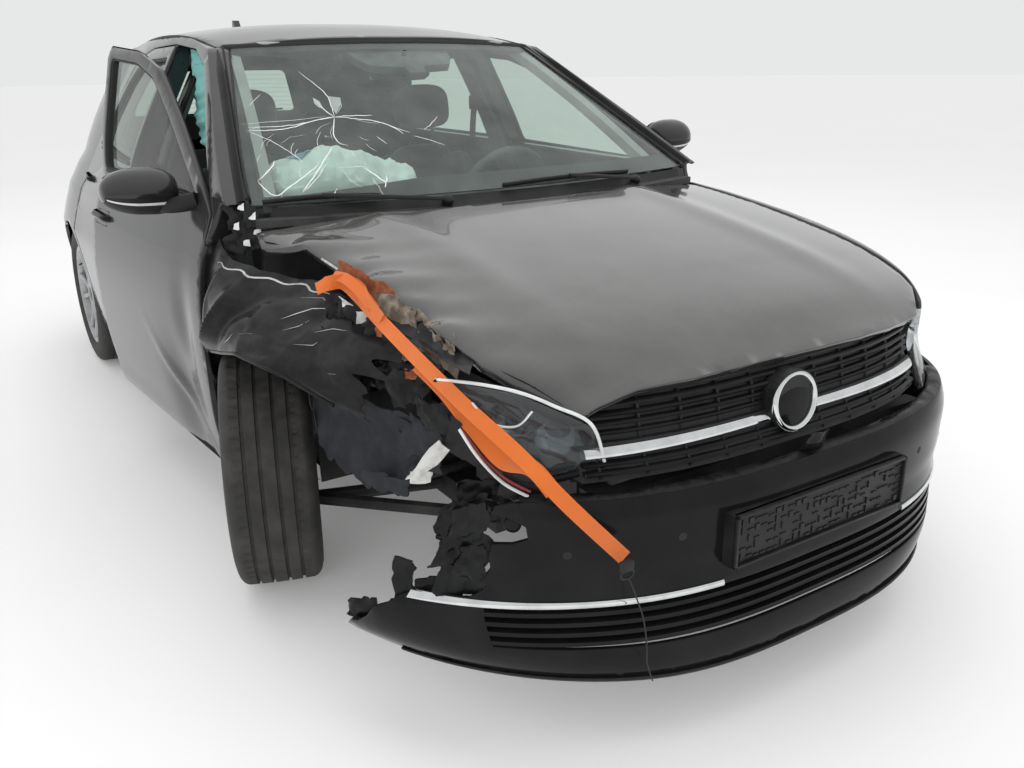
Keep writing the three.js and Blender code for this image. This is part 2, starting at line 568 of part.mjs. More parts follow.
// Left wing, rolled over to the edge of the bonnet
const ROLL = 62;
function wingPoint(y, v, inset) {
  const edgeX = smooth(BONNET_EDGE, y) + 5;
  const edgeZ = bonnetZ(edgeX, y) + 2;
  const s = y >= FRONT_BEND_Y ? null : y;
  const flankX = (z) => {
    const w = halfWidth(z) - inset;
    return s === null ? w : w * superellipse((FRONT_BEND_Y - y) / (FRONT_BEND_Y - noseY(z) - inset), FRONT_POWER);
  };
  const shoulder = edgeZ - ROLL;
  if (v < 0.7) {
    const z = lerp(180, shoulder, v / 0.7);
    return [flankX(z), y, z];
  }
  const t = (v - 0.7) / 0.3;
  const x0 = flankX(shoulder);
  const cx = Math.max(edgeX + 10, x0 - 6);
  const cz = edgeZ - 6 - inset;
  const x = (1 - t) * (1 - t) * x0 + 2 * t * (1 - t) * cx + t * t * edgeX;
  const z = (1 - t) * (1 - t) * shoulder + 2 * t * (1 - t) * cz + t * t * (edgeZ - inset);
  return [x, y, z];
}
const wingShell = (yFrom, yTo, steps, inset = 0) => shell(
  steps, 12,
  (u, v) => wingPoint(lerp(yFrom, yTo, u), v, inset),
  (u, v) => wingPoint(lerp(yFrom, yTo, u), v, inset + 14),
);
const lampSlab = slab(HEADLAMP, 430, 1000);
const lampLeft = cut(
  wrapLayer(false, 0, 55, 560, 880, 30, 7).intersect(slab(grown(HEADLAMP, -3), 512, 1000)),
);
const wingFoot = slab([[-1640, 563], [-2300, 563], [-2300, 0], [-1640, 0]], 0, 1200);
const wingLeft = cut(
  wingShell(-843, -1960, 13).intersect(slab(grown(WING, 0), 300, 1000)),
  archTool(FRONT_AXLE, ARCH_R), lampSlab, wingFoot,
);
add('wing_left', wingLeft, 'paint');
const wingRoom = wingShell(-843, -1960, 13, -3).intersect(slab(grown(WING, 0), 300, 1000)).subtract(slab(grown(HEADLAMP, -3), 430, 1000));
const bonnetAt = (lift) => (u, v) => {
  const k = lerp(-1, 1, u);
  const rear = -1062 + 130 * k * k;
  const front = -2034 + 60 * Math.pow(Math.abs(k), 3);
  const y = lerp(front, rear, v);
  const x = k * (smooth(BONNET_EDGE, y) - 1);
  return [x, y, bonnetZ(x, y) + lift];
};
const bonnetRoom = shell(14, 10, bonnetAt(60), bonnetAt(-24));
const bonnetPanel = shell(14, 10, bonnetAt(0), bonnetAt(-20));
add('headlamp_left', cut(lampLeft, wingRoom, bonnetRoom), 'lamp');
const foldedEdge = plate([
  [-790, -880], [-765, -1000], [-700, -1120], [-668, -1320], [-655, -1500], [-643, -1700], [-626, -1840], [-560, -1945],
  [-510, -2010], [-950, -2010], [-950, -880],
], 600, 1100);
add('bonnet', cut(bonnetPanel, foldedEdge), 'paint');

// Tail lamps in the rear corners
const tailLamp = cut(flankLayer(0, LAMP_DEPTH, ...LAMP_SPAN).intersect(slab(TAIL_LAMP, 200, 1000)), tailgateRoom);
add('tail_lamp_left', tailLamp, 'tail');
add('tail_lamp_right', mirrored(tailLamp), 'tail');

// Crushed right wing. Columns: y, x and z of the upper edge, x and z of the lower edge
const WING_RIGHT = [
  [-848, 838, 905, 862, 300], [-900, 846, 890, 885, 320], [-960, 846, 868, 905, 640], [-1080, 790, 852, 915, 668],
  [-1200, 712, 838, 915, 700], [-1350, 676, 822, 880, 690], [-1500, 662, 800, 800, 640], [-1610, 655, 775, 722, 600],
];
function crushedWing(depth) {
  const columns = [1, 2, 3, 4].map((c) => WING_RIGHT.map((row) => [-row[0], row[c]]));
  return (u, v) => {
    const y = lerp(WING_RIGHT[0][0], WING_RIGHT[WING_RIGHT.length - 1][0], u);
    const [topX, topZ, footX, footZ] = columns.map((column) => along(column, -y));
    const belly = 4 * v * (1 - v) * 38;
    const fold = 11 * Math.sin(17 * u + 5 * v) * Math.sin(Math.PI * v) * Math.min(1, 4 * u);
    const x = lerp(footX, topX, v) + belly + fold - depth;
    return [-x, y + 7 * Math.sin(9 * v + 11 * u) * Math.min(1, 6 * u), lerp(footZ, topZ, v)];
  };
}
const wingFlange = cut(block(-875, -790, -895, -855, 720, 760), sideRight, sideRight.translate([-SEAT_GAP, 0, 0]));
add('wing_right', cut(join(shell(14, 7, crushedWing(0), crushedWing(10)), wingFlange), rightWheelRoom), 'paint');

// Torn wheel-arch liner hanging in front of the wheel. Rows: upper edge and lower edge
const LINER = [
  [[-800, -1215, 700], [-775, -1290, 610]], [[-790, -1330, 688], [-780, -1360, 480]],
  [[-765, -1450, 676], [-745, -1440, 425]], [[-715, -1580, 630], [-705, -1560, 455]],
  [[-680, -1690, 622], [-684, -1690, 520]],
];
const linerAt = (depth) => (u, v) => {
  const row = Math.min(LINER.length - 2, Math.floor(u * (LINER.length - 1) + 1e-9));
  const t = u * (LINER.length - 1) - row;
  const edge = (side) => LINER[row][side].map((value, axis) => lerp(value, LINER[row + 1][side][axis], t));
  const [top, foot] = [edge(0), edge(1)];
  const sag = 30 * Math.sin(Math.PI * v);
  return [lerp(foot[0], top[0], v) + sag + depth, lerp(foot[1], top[1], v) + 4 * Math.sin(9 * v), lerp(foot[2], top[2], v)];
};
const linerTab = block(-762, -640 - SEAT_GAP, -1475, -1430, 670, 706);
add('arch_liner_right', join(shell(8, 4, linerAt(0), linerAt(7)), linerTab), 'plastic');

// Broken right headlamp, pushed back and hanging
const BROKEN_LAMP = [
  [-688, -1770, 753], [-600, -1930, 752], [-492, -2012, 690], [-452, -2004, 602], [-550, -1962, 582], [-640, -1872, 642],
];
const lampCentre = [0, 1, 2].map((axis) => BROKEN_LAMP.reduce((sum, point) => sum + point[axis], 0) / BROKEN_LAMP.length);
function brokenLamp(depth) {
  return (u, v) => {
    const spot = u * BROKEN_LAMP.length;
    const a = BROKEN_LAMP[Math.floor(spot) % BROKEN_LAMP.length];
    const b = BROKEN_LAMP[(Math.floor(spot) + 1) % BROKEN_LAMP.length];
    const rim = a.map((value, axis) => lerp(value, b[axis], spot - Math.floor(spot)));
    const dome = 26 * (1 - v * v) - depth;
    return [0, 1, 2].map((axis) => lerp(lampCentre[axis], rim[axis], v) + dome * [-0.6, -0.75, 0.28][axis]);
  };
}
function fan(columns, rings, front, back) {
  const points = [];
  const index = [];
  for (const surface of [front, back]) {
    points.push(...surface(0, 0));
    for (let r = 1; r <= rings; r++) {
      for (let c = 0; c < columns; c++) points.push(...surface(c / columns, r / rings));
    }
  }
  const layer = 1 + rings * columns;
  const id = (side, r, c) => side * layer + (r === 0 ? 0 : 1 + (r - 1) * columns + (c % columns));
  for (let c = 0; c < columns; c++) {
    for (let side = 0; side < 2; side++) {
      const face = (i, j, k) => (side ? index.push(i, k, j) : index.push(i, j, k));
      face(id(side, 0, 0), id(side, 1, c), id(side, 1, c + 1));
      for (let r = 1; r < rings; r++) {
        face(id(side, r, c), id(side, r + 1, c), id(side, r + 1, c + 1));
        face(id(side, r, c), id(side, r + 1, c + 1), id(side, r, c + 1));
      }
    }
    index.push(id(0, rings, c), id(1, rings, c), id(1, rings, c + 1));
    index.push(id(0, rings, c), id(1, rings, c + 1), id(0, rings, c + 1));
  }
  const geometry = new THREE.BufferGeometry();
  geometry.setAttribute('position', new THREE.Float32BufferAttribute(points, 3));
  geometry.setIndex(index);
  return solid(geometry);
}
const lampRight = cut(fan(12, 3, brokenLamp(0), brokenLamp(34)), bonnetRoom);
add('headlamp_right', lampRight, 'lamp');
const lampRoom = fan(12, 3, brokenLamp(-4), brokenLamp(60)).translate([2, 0, 0]);

// Orange lashing strap from under the bonnet's edge to a buckle on the bumper
const STRAP_WIDTH = 34;
const STRAP = [
  [-722, -1290, 862], [-706, -1375, 872], [-704, -1460, 856], [-700, -1560, 822], [-692, -1690, 780],
  [-680, -1868, 726], [-648, -1998, 668], [-600, -2090, 588], [-500, -2128, 470],
];
function band(route, width, thick, steps) {
  const curve = new THREE.CatmullRomCurve3(route.map((point) => new THREE.Vector3(...point)));
  const side = new THREE.Vector3(0.78, -0.1, 0.62).normalize();
  const at = (lift) => (u, v) => {
    const centre = curve.getPoint(u);
    const along3 = curve.getTangent(u);
    const wide = side.clone().addScaledVector(along3, -side.dot(along3)).normalize();
    const out = new THREE.Vector3().crossVectors(wide, along3).normalize();
    return centre.addScaledVector(wide, (v - 0.5) * width).addScaledVector(out, lift).toArray();
  };
  return shell(steps, 1, at(thick / 2), at(-thick / 2));
}
add('strap', band(STRAP, STRAP_WIDTH, 4, 20), 'webbing');

// Floor with sills, tunnel, raised boot floor and rear wheelhouses
const FLOOR_HALF = 660;
const FLOOR_LINE = [[-878, 190], [860, 190], [1000, 335], [1925, 335]];
const floorProfile = [...FLOOR_LINE, ...FLOOR_LINE.map(([y, z]) => [y, z - 14]).reverse()];
const tunnel = cut(block(-125, 125, -860, 940, 180, 300), block(-112, 112, -900, 930, 100, 288));
const wheelhouses = cut(
  join(rod([-744, REAR_AXLE, TYRE_R], [-606, REAR_AXLE, TYRE_R], ARCH_R + 14, 28),
    rod([606, REAR_AXLE, TYRE_R], [744, REAR_AXLE, TYRE_R], ARCH_R + 14, 28)),
  rod([-1000, REAR_AXLE, TYRE_R], [-620, REAR_AXLE, TYRE_R], ARCH_R + 2, 28),
  rod([620, REAR_AXLE, TYRE_R], [1000, REAR_AXLE, TYRE_R], ARCH_R + 2, 28),
  block(-1000, 1000, 900, 1800, -100, 322), rod([-1000, REAR_AXLE, TYRE_R], [1000, REAR_AXLE, TYRE_R], 55, 16),
);
const wheelSlots = [[-1000, -606], [606, 1000]].map(([x0, x1]) => block(x0, x1, REAR_AXLE - 358, REAR_AXLE + 358, 0, 336));
const rearPanel = block(-590, 590, 1911, 1929, 325, 628);
const rearBumperRoom = wrapLayer(true, -150, 30 + SEAT_GAP, 185, 626, 22, 4);
const crashBoxes = [-440, 440].map((x) => cut(block(x - 40, x + 40, 1920, 2200, 400, 480), rearBumperRoom));
const bootBoard = block(-480, 480, 1420, 1880, 330, 340);
const striker = block(-20, 20, 1920, 2070, 600, 640 - SEAT_GAP);
const bushBrackets = cut(
  join([-590, 590].map((x) => block(x - 30, x + 30, 930, 985, 222, 268))),
  [-1, 1].map((side) => rod([side * 590, REAR_AXLE - 430, 205], [side * 600, REAR_AXLE, 240], 24 + SEAT_GAP + 0.2, 8)),
);
const hanger = cut(block(280, 340, 1715, 1765, 290, 326), rod([100, 1740, 222], [540, 1740, 222], 80 + SEAT_GAP + 0.1, 14));
const floorPan = cut(
  join(rearPanel, bootBoard, crashBoxes, striker, bushBrackets, hanger, cut(slab(floorProfile, -FLOOR_HALF, FLOOR_HALF), wheelSlots, block(-112, 112, -900, 930, 100, 240)), tunnel, wheelhouses),
  sideLeft, sideLeft.translate([-SEAT_GAP, 0, 0]), sideRight, sideRight.translate([SEAT_GAP, 0, 0]), rightWheelRoom,
  steerRoom,
);
add('floor_pan', floorPan, 'steel');

add('upper_grille', cut(join(grilleSkin, brightBar, badge), lampRoom), 'plastic');

// Wheels: a tyre, and a rim with its brake disc, turning about the X axis of their group
const TYRE_PROFILE = [
  [RIM_R + SEAT_GAP, -96], [262, -112], [300, -104], [TYRE_R, -80], [TYRE_R, 80], [300, 104], [262, 112],
  [RIM_R + SEAT_GAP, 96], [RIM_R + SEAT_GAP, -96],
];
const WHEEL_SEGMENTS = 32;
const RIM_PROFILE = [[RIM_R, -100], [RIM_R, 100], [211, 100], [202, 60], [202, -100], [RIM_R, -100]];
const SPOKE_PAIRS = 5;
const tyreShape = turned(TYRE_PROFILE, WHEEL_SEGMENTS);
function spoke(angle) {
  const radial = slab([[-13, 50], [13, 50], [17, 206], [-17, 206]], 66, 90);
  return radial.rotate([angle, 0, 0]);
}
const spokes = Array.from({ length: SPOKE_PAIRS }, (_, i) => [-12, 12].map((d) => spoke(i * 360 / SPOKE_PAIRS + d))).flat();
const rimShape = join(
  turned(RIM_PROFILE, WHEEL_SEGMENTS), turned([[0, 8], [140, 8], [140, 30], [66, 30], [66, 86], [0, 86]], 20), spokes,
);
function wheel(name, centre, outward, steer = 0) {
  const group = new THREE.Group();
  group.position.set(...centre);
  group.rotation.z = steer;
  car.add(group);
  const side = outward > 0 ? (part) => part : mirrored;
  add(`tyre_${name}`, side(tyreShape), 'rubber', group);
  add(`rim_${name}`, side(rimShape), 'alloy', group);
}
wheel('front_left', [FRONT_WHEEL_X, FRONT_AXLE, TYRE_R], 1);
wheel('rear_left', [REAR_WHEEL_X, REAR_AXLE, TYRE_R], 1);
wheel('rear_right', [-REAR_WHEEL_X, REAR_AXLE, TYRE_R], -1);
wheel('front_right', RIGHT_WHEEL, -1, RIGHT_STEER);

// Running gear
const HUB_FACE = FRONT_WHEEL_X + 8 - SEAT_GAP;
const STRUT_X = 632;
const STRUT_TOP = 690;
const knuckle = join(
  rod([KINGPIN_X, FRONT_AXLE, 215], [KINGPIN_X, FRONT_AXLE, 420], 20, 10),
  rod([KINGPIN_X - 25, FRONT_AXLE, TYRE_R], [HUB_FACE, FRONT_AXLE, TYRE_R], 42, 16),
  block(STRUT_X - 10, KINGPIN_X, FRONT_AXLE - 18, FRONT_AXLE + 18, 380, 420),
  rod([STRUT_X, FRONT_AXLE, 380], [STRUT_X, FRONT_AXLE, STRUT_TOP - SEAT_GAP], 24, 12),
  block(KINGPIN_X - 16, KINGPIN_X + 16, FRONT_AXLE, FRONT_AXLE + 118, 262, 286),
);
add('knuckle_front_left', knuckle, 'steel');

// Subframe, arms and track rod; the right side is bent back with its wheel
const SUBFRAME_Y = [-1420, -1150];
const rightHub = besideRightWheel(-8 + SEAT_GAP);
const rightHubRoot = besideRightWheel(95);
const rightBallJoint = [rightHubRoot[0], rightHubRoot[1], 200];
const subframe = join(
  block(-360, 360, SUBFRAME_Y[1] - 70, SUBFRAME_Y[1] + 70, 170, 235),
  block(-360, -290, SUBFRAME_Y[0], SUBFRAME_Y[1], 170, 235),
  block(290, 360, SUBFRAME_Y[0], SUBFRAME_Y[1], 170, 235),
  block(-360, 360, SUBFRAME_Y[0] - 25, SUBFRAME_Y[0] + 25, 170, 225),
  rod([330, SUBFRAME_Y[1] - 30, 196], [KINGPIN_X, FRONT_AXLE, 196], 18, 8),
  rod([330, SUBFRAME_Y[0] + 10, 196], [KINGPIN_X, FRONT_AXLE, 196], 15, 8),
  rod([-330, SUBFRAME_Y[1], 200], rightBallJoint, 20, 8),
  rod([-330, SUBFRAME_Y[0] + 10, 200], rightBallJoint, 18, 8),
  rod([...rightBallJoint.slice(0, 2), 190], [...rightBallJoint.slice(0, 2), 400], 20, 10),
  rod([...rightBallJoint.slice(0, 2), TYRE_R], rightHub, 42, 16),
  rod([...rightBallJoint.slice(0, 2), 390], [-560, -1120, 660], 24, 10),
);
add('front_subframe', subframe, 'steel');

// Legs, strut towers, inner wings, slam panel and crash beam
const LEG_X = [395, 455];
const lampLeftRoom = wrapLayer(false, -60, 75, 545, 890, 30, 7).intersect(slab(grown(HEADLAMP, 5), 480, 1000));
const crushedWingRoom = shell(14, 7, crushedWing(-20), crushedWing(16));
const leg = slab([[-1960, 420], [-1960, 520], [-1180, 520], [-900, 420], [-900, 300], [-1180, 420]], ...LEG_X);
const subframeMount = block(300, 440, -1150, -1110, 235 + SEAT_GAP, 440);
const towerLeft = join(
  block(455 - 1, 500, -1400, -1165, 430, 720), block(480, 700, -1400, -1165, STRUT_TOP, 720),
);
const innerWing = block(640, 700, -1850, -880, 730, 790);
const absorbers = [-220, 220].map((x) => cut(
  block(x - 40, x + 40, -2200, -1990, 430, 510), wrapLayer(false, -150, 24 + SEAT_GAP, CHIN_Z, 560, 26, 5).translate(BUMPER_SHIFT),
));
const wingBracket = cut(block(695, 878, -1000, -940, 760, 785), wingLeft, wingLeft.translate([-SEAT_GAP, 0, 0]));
const frontFrame = cut(
  join(
    leg, mirrored(leg), subframeMount, mirrored(subframeMount), towerLeft,
    block(640, 690, -1400, -1165, 719, 731), innerWing,
    block(-640, -600, -1560, -880, 700, 745), block(-630, -450, -1300, -1100, 688, 712), block(-500, -454, -1300, -1100, 430, 700),
    block(-560, 690, -1925, -1893, 640, 700), block(640, 690, -1925, -1880, 690, 740), block(-560, -520, -1910, -1560, 680, 720),
    block(-640, -520, -1600, -1560, 700, 745), block(380, 460, -1925, -1880, 500, 660), block(-460, -380, -1925, -1880, 500, 660),
    block(-560, 560, -1995, -1955, 420, 520), absorbers, wingBracket,
  ),
  steerRoom, rightWheelRoom, lampLeftRoom, bonnetRoom, crushedWingRoom, lampRoom,
);
add('front_frame', frontFrame, 'steel');

// Steering rack and track rod; the rod to the right wheel is broken off short
const RACK_Y = FRONT_AXLE + 107.5;
const RACK_Z = 235 + SEAT_GAP + 14;
const rack = join(
  rod([-430, RACK_Y, RACK_Z], [420, RACK_Y, RACK_Z], 14, 8),
  rod([405, RACK_Y, RACK_Z], [KINGPIN_X, RACK_Y, 286 + SEAT_GAP + 13], 9, 8),
  rod([KINGPIN_X, RACK_Y, 286 + SEAT_GAP], [KINGPIN_X, RACK_Y, 286 + SEAT_GAP + 26], 14, 10),
);
add('steering_rack', rack, 'steel');

const engine = join(
  block(-330, 300, -1740, -1300, 270, 640), block(-280, 240, -1700, -1340, 640, 760),
  block(-LEG_X[0] + SEAT_GAP, LEG_X[0] - SEAT_GAP, -1570, -1490, 440, 500),
);
add('engine_block', cut(engine, block(-400, 400, -1500, -1000, 0, 240)), 'steel');

// Firewall with toe board and scuttle
const scuttleLine = [[-905, 176], [-889, 176], [-889, 880], [-860, 900], [-860, 955], [-1010, 955], [-1010, 942], [-905, 930]];
const bulkhead = cut(
  slab(scuttleLine, -740, 740), sideLeft, sideLeft.translate([-SEAT_GAP, 0, 0]), sideRight,
  sideRight.translate([SEAT_GAP, 0, 0]), steerRoom, rightWheelRoom, screenRoom, frontFrame,
  frontFrame.translate([0, SEAT_GAP, 0]), bonnetRoom, crushedWingRoom,
);
add('bulkhead', bulkhead, 'steel');

// Rear axle and exhaust
const rearHub = REAR_WHEEL_X + 8 - SEAT_GAP;
const rearAxle = join(
  rod([-640, REAR_AXLE - 40, 212], [640, REAR_AXLE - 40, 212], 28, 8),
  [-1, 1].map((side) => join(
    rod([side * 590, REAR_AXLE - 420, 205], [side * 600, REAR_AXLE, 240], 24, 8),
    block(side * 615 - 22, side * 615 + 22, REAR_AXLE - 60, REAR_AXLE + 50, 190, 318),
    rod([side * 612, REAR_AXLE, TYRE_R], [side * rearHub, REAR_AXLE, TYRE_R], 40, 14),
  )),
);
add('rear_axle', rearAxle, 'steel');
const EXHAUST = [[60, -1050, 150], [60, 940, 134], [185, 1090, 205], [270, 1250, 268], [300, 1420, 268], [300, 1600, 232]];
function pipe(route, radius, sides, steps) {
  const curve = new THREE.CatmullRomCurve3(route.map((point) => new THREE.Vector3(...point)));
  const section = new THREE.Shape().absarc(0, 0, radius, 0, 2 * Math.PI);
  return solid(new THREE.ExtrudeGeometry(section, { steps, extrudePath: curve, curveSegments: sides, bevelEnabled: false }));
}
const silencer = rod([120, 1740, 222], [520, 1740, 222], 80, 14);
const tailPipe = rod([470, 1740, 198], [495, 2060, 143], 20, 10);
add('exhaust', join(pipe(EXHAUST, 22, 4, 9), rod([300, 1590, 234], [300, 1740, 222], 22, 8), silencer, tailPipe), 'steel');

// Seats
const SEAT_X = 370;
const FRONT_CUSHION = [[-330, 330], [-335, 440], [-290, 470], [120, 425], [190, 430], [190, 330]];
const FRONT_BACK = [[125, 420], [180, 760], [265, 1010], [330, 1010], [325, 760], [255, 400]];
const HEADREST = [[235, 1065], [225, 1180], [250, 1235], [310, 1240], [335, 1190], [330, 1075]];
function frontSeat(x) {
  return join(
    slab(FRONT_CUSHION, x - 240, x + 240), slab(FRONT_BACK, x - 235, x + 235), slab(HEADREST, x - 125, x + 125),
    rod([x - 55, 295, 980], [x - 55, 290, 1100], 7, 6), rod([x + 55, 295, 980], [x + 55, 290, 1100], 7, 6),
    block(x - 200, x + 200, -300, 170, 190 + SEAT_GAP, 335),
  );
}
add('seat_front_left', frontSeat(SEAT_X), 'cloth');
add('seat_front_right', frontSeat(-SEAT_X), 'cloth');
const REAR_CUSHION = [[800, 330], [795, 430], [1150, 400], [1150, 330]];
const REAR_BACK = [[1120, 395], [1290, 960], [1385, 960], [1300, 560], [1300, 395]];
const REAR_HEADREST = [[1290, 985], [1300, 1110], [1370, 1110], [1375, 985]];
const rearSeat = join(
  slab(REAR_CUSHION, -600, 600), cut(slab(REAR_BACK, -590, 590)),
  [-370, 0, 370].map((x) => join(slab(REAR_HEADREST, x - 120, x + 120), rod([x, 1335, 940], [x, 1335, 1000], 20, 8))),
);
add('rear_bench', cut(rearSeat, floorPan, floorPan.translate([0, 0, SEAT_GAP]), sideLeft.translate([-3, 0, 0]), sideRight.translate([3, 0, 0])), 'cloth');

// Dashboard with the wheel's column, steering wheel, and the airbags
const DASH = [[-858, 600], [-858, 900], [-800, 948], [-600, 955], [-520, 900], [-520, 770], [-600, 620]];
const COLUMN_TOP = [SEAT_X, -345, 862];
const COLUMN_FOOT = [SEAT_X, -640, 740];
const columnAxis = new THREE.Vector3(0, COLUMN_TOP[1] - COLUMN_FOOT[1], COLUMN_TOP[2] - COLUMN_FOOT[2]).normalize();
const onColumn = (distance) => new THREE.Vector3(...COLUMN_TOP).addScaledVector(columnAxis, distance).toArray();
const dashboard = cut(
  join(
    slab(DASH, -700, 700), rod(COLUMN_FOOT, onColumn(-75), 34, 12),
    block(-120, 120, -840, -560, 300.4, 640),
  ),
  sideLeft, sideRight, sideLeft.translate([-1, 0, 0]), sideRight.translate([1, 0, 0]),
  bulkhead, bulkhead.translate([0, SEAT_GAP, 0]),
  slab(APERTURES[0], 640, 1000), slab(APERTURES[0], -1000, -640),
);
add('dashboard', dashboard, 'trim');
const ringTilt = Math.atan2(columnAxis.z, columnAxis.y);
function steeringWheel() {
  const spokesFlat = [0, 120, 240].map((a) => block(-14, 14, 0, 172, -10, 8).rotate([0, 0, a + 180]));
  const ring = solid(new THREE.TorusGeometry(178, 15, 6, 20));
  const hub = rod([0, 0, -75 + SEAT_GAP], [0, 0, 18], 62, 10, 62);
  return join(ring, hub, spokesFlat);
}
const wheelGroup = new THREE.Group();
wheelGroup.position.set(...COLUMN_TOP);
wheelGroup.rotation.x = ringTilt - Math.PI / 2;
car.add(wheelGroup);
add('steering_wheel', steeringWheel(), 'trim', wheelGroup);

const airbag = ball([-330, -640, 1], 1, [250, 150, 78], 12);
add('airbag_passenger', cut(airbag.translate([0, 0, 985]), dashboard, dashboard.translate([0, 0, SEAT_GAP])), 'airbag');
const CURTAIN = [[-60, 1400], [-120, 1180], [-100, 1040], [0, 980], [140, 1000], [140, 1400]];
const doorwayRoom = slab(grown(APERTURES[0], -SEAT_GAP), -700, -400);
add('curtain_airbag_right', slab(CURTAIN, -560, -530).intersect(doorwayRoom), 'curtain');

export default car;
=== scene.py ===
# A crashed black five-door hatchback. Metres in Blender; the tables below are in millimetres.
# The nose points to -Y, the car's left side to +X, and +Z is up.
import bpy
import math
import random
from mathutils import Matrix, Vector, noise
from mathutils.geometry import delaunay_2d_cdt


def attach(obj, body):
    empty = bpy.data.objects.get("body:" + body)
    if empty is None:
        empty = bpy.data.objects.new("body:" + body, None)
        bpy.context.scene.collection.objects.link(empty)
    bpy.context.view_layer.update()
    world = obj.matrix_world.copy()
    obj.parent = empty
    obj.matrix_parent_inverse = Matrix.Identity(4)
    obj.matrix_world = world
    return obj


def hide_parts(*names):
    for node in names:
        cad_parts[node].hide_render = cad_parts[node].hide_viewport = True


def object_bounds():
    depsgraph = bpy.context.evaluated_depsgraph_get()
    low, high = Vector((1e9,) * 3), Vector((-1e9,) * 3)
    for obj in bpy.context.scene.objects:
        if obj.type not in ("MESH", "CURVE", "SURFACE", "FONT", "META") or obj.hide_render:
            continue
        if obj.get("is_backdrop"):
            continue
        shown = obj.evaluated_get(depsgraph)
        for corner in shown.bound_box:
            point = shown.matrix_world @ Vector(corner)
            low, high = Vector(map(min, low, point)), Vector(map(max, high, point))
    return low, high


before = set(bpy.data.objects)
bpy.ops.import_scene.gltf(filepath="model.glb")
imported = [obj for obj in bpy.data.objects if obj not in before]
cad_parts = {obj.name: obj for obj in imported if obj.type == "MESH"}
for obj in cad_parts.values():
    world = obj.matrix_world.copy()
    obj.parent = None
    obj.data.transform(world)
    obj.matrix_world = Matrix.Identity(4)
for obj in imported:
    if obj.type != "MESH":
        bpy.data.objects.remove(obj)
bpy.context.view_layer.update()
random.seed(7)
PI = math.pi

# Camera
EYE = Vector((-1.487, -3.294, 1.345))
AZIMUTH, DOWN, ROLL = 0.56881, 0.33842, -0.0122
forward = Vector((math.sin(AZIMUTH) * math.cos(DOWN), math.cos(AZIMUTH) * math.cos(DOWN), -math.sin(DOWN)))
right0 = Vector((math.cos(AZIMUTH), -math.sin(AZIMUTH), 0))
up0 = right0.cross(forward)
right = right0 * math.cos(ROLL) + up0 * math.sin(ROLL)
up = up0 * math.cos(ROLL) - right0 * math.sin(ROLL)
camera = bpy.data.objects.new("camera", bpy.data.cameras.new("camera"))
bpy.context.collection.objects.link(camera)
camera.matrix_world = Matrix((
    (right.x, up.x, -forward.x, EYE.x), (right.y, up.y, -forward.y, EYE.y),
    (right.z, up.z, -forward.z, EYE.z), (0, 0, 0, 1)))
camera.data.sensor_width = 36
camera.data.lens = 36 * 932.7 / 1024
camera.data.clip_start = 0.05
camera.data.clip_end = 200
scene = bpy.context.scene
scene.camera = camera

# Body surfaces, as in the CAD
NOSE_Y, TAIL_Y = -2127.5, 2127.5
FRONT_AXLE, REAR_AXLE = -1282.5, 1354.5
TYRE_R, ARCH_R = 317, 345
FRONT_BEND, REAR_BEND = -1100, 1150
FRONT_POWER, REAR_POWER = 2.9, 3.4
FLANK = [
    (150, 788), (230, 845), (330, 868), (450, 885), (600, 895), (700, 893), (800, 880), (830, 872),
    (900, 850),
    (950, 825), (1000, 806), (1100, 762), (1200, 710), (1300, 656), (1380, 612), (1430, 578), (1470, 545)]
NOSE_SETBACK = [
    (130, 8), (160, -10), (200, -16), (250, -12), (350, 0), (450, 0), (520, 5), (560, 20), (600, 45),
    (640, 65),
    (700, 75), (740, 95), (900, 200)]
TAIL_SETBACK = [
    (150, 90), (200, 60), (300, 10), (400, 0), (500, 0), (600, 15), (700, 45), (800, 60), (900, 80),
    (1000, 110),
    (1100, 150), (1200, 190), (1300, 225), (1400, 260), (1450, 280)]
BONNET_CENTRE = [
    (-2040, 742), (-1900, 815), (-1700, 865), (-1500, 900), (-1300, 930), (-1060, 960), (-900, 975)]
BONNET_EDGE = [
    (-1985, 520), (-1930, 600), (-1800, 680), (-1600, 735), (-1400, 755), (-1200, 765), (-900, 765)]
ROOF_CENTRE = [(-260, 1408), (50, 1452), (350, 1467), (800, 1460), (1200, 1436), (1550, 1400), (1900, 1356)]
ROOF_DROP, BONNET_DROP, TAIL_TAPER = 42, 45, 68
# Millimetres of outline for one unit of k, the place on the skin round the nose or the tail
WRAP_SCALE = 2200
AJAR = math.radians(4.5)
HINGE_X, HINGE_Y = 893, (-833, 217)
FRAME_BEND = 125


def lerp(a, b, t):
    return a + (b - a) * t


def clamp(v, low=0.0, high=1.0):
    return min(high, max(low, v))


def along(rows, at):
    if at <= rows[0][0]:
        return rows[0][1]
    for (a, p), (b, q) in zip(rows, rows[1:]):
        if at <= b:
            return lerp(p, q, (at - a) / (b - a))
    return rows[-1][1]


def smooth(rows, at):
    last = len(rows) - 1
    x = clamp(at, rows[0][0], rows[last][0])
    i = 0
    while i < last - 1 and x > rows[i + 1][0]:
        i += 1

    def slope(k):
        a, b = max(0, k - 1), min(last, k + 1)
        return (rows[b][1] - rows[a][1]) / (rows[b][0] - rows[a][0])

    h = rows[i + 1][0] - rows[i][0]
    t = (x - rows[i][0]) / h
    return ((2 * t ** 3 - 3 * t * t + 1) * rows[i][1] + (t ** 3 - 2 * t * t + t) * h * slope(i)
            + (3 * t * t - 2 * t ** 3) * rows[i + 1][1] + (t ** 3 - t * t) * h * slope(i + 1))


def half_width(z):
    return smooth(FLANK, z)


def tail_taper(y, z):
    return TAIL_TAPER * clamp((z - 650) / 300) * clamp((y - 300) / (REAR_BEND - 300)) ** 1.5


def nose_y(z):
    return NOSE_Y + smooth(NOSE_SETBACK, z)


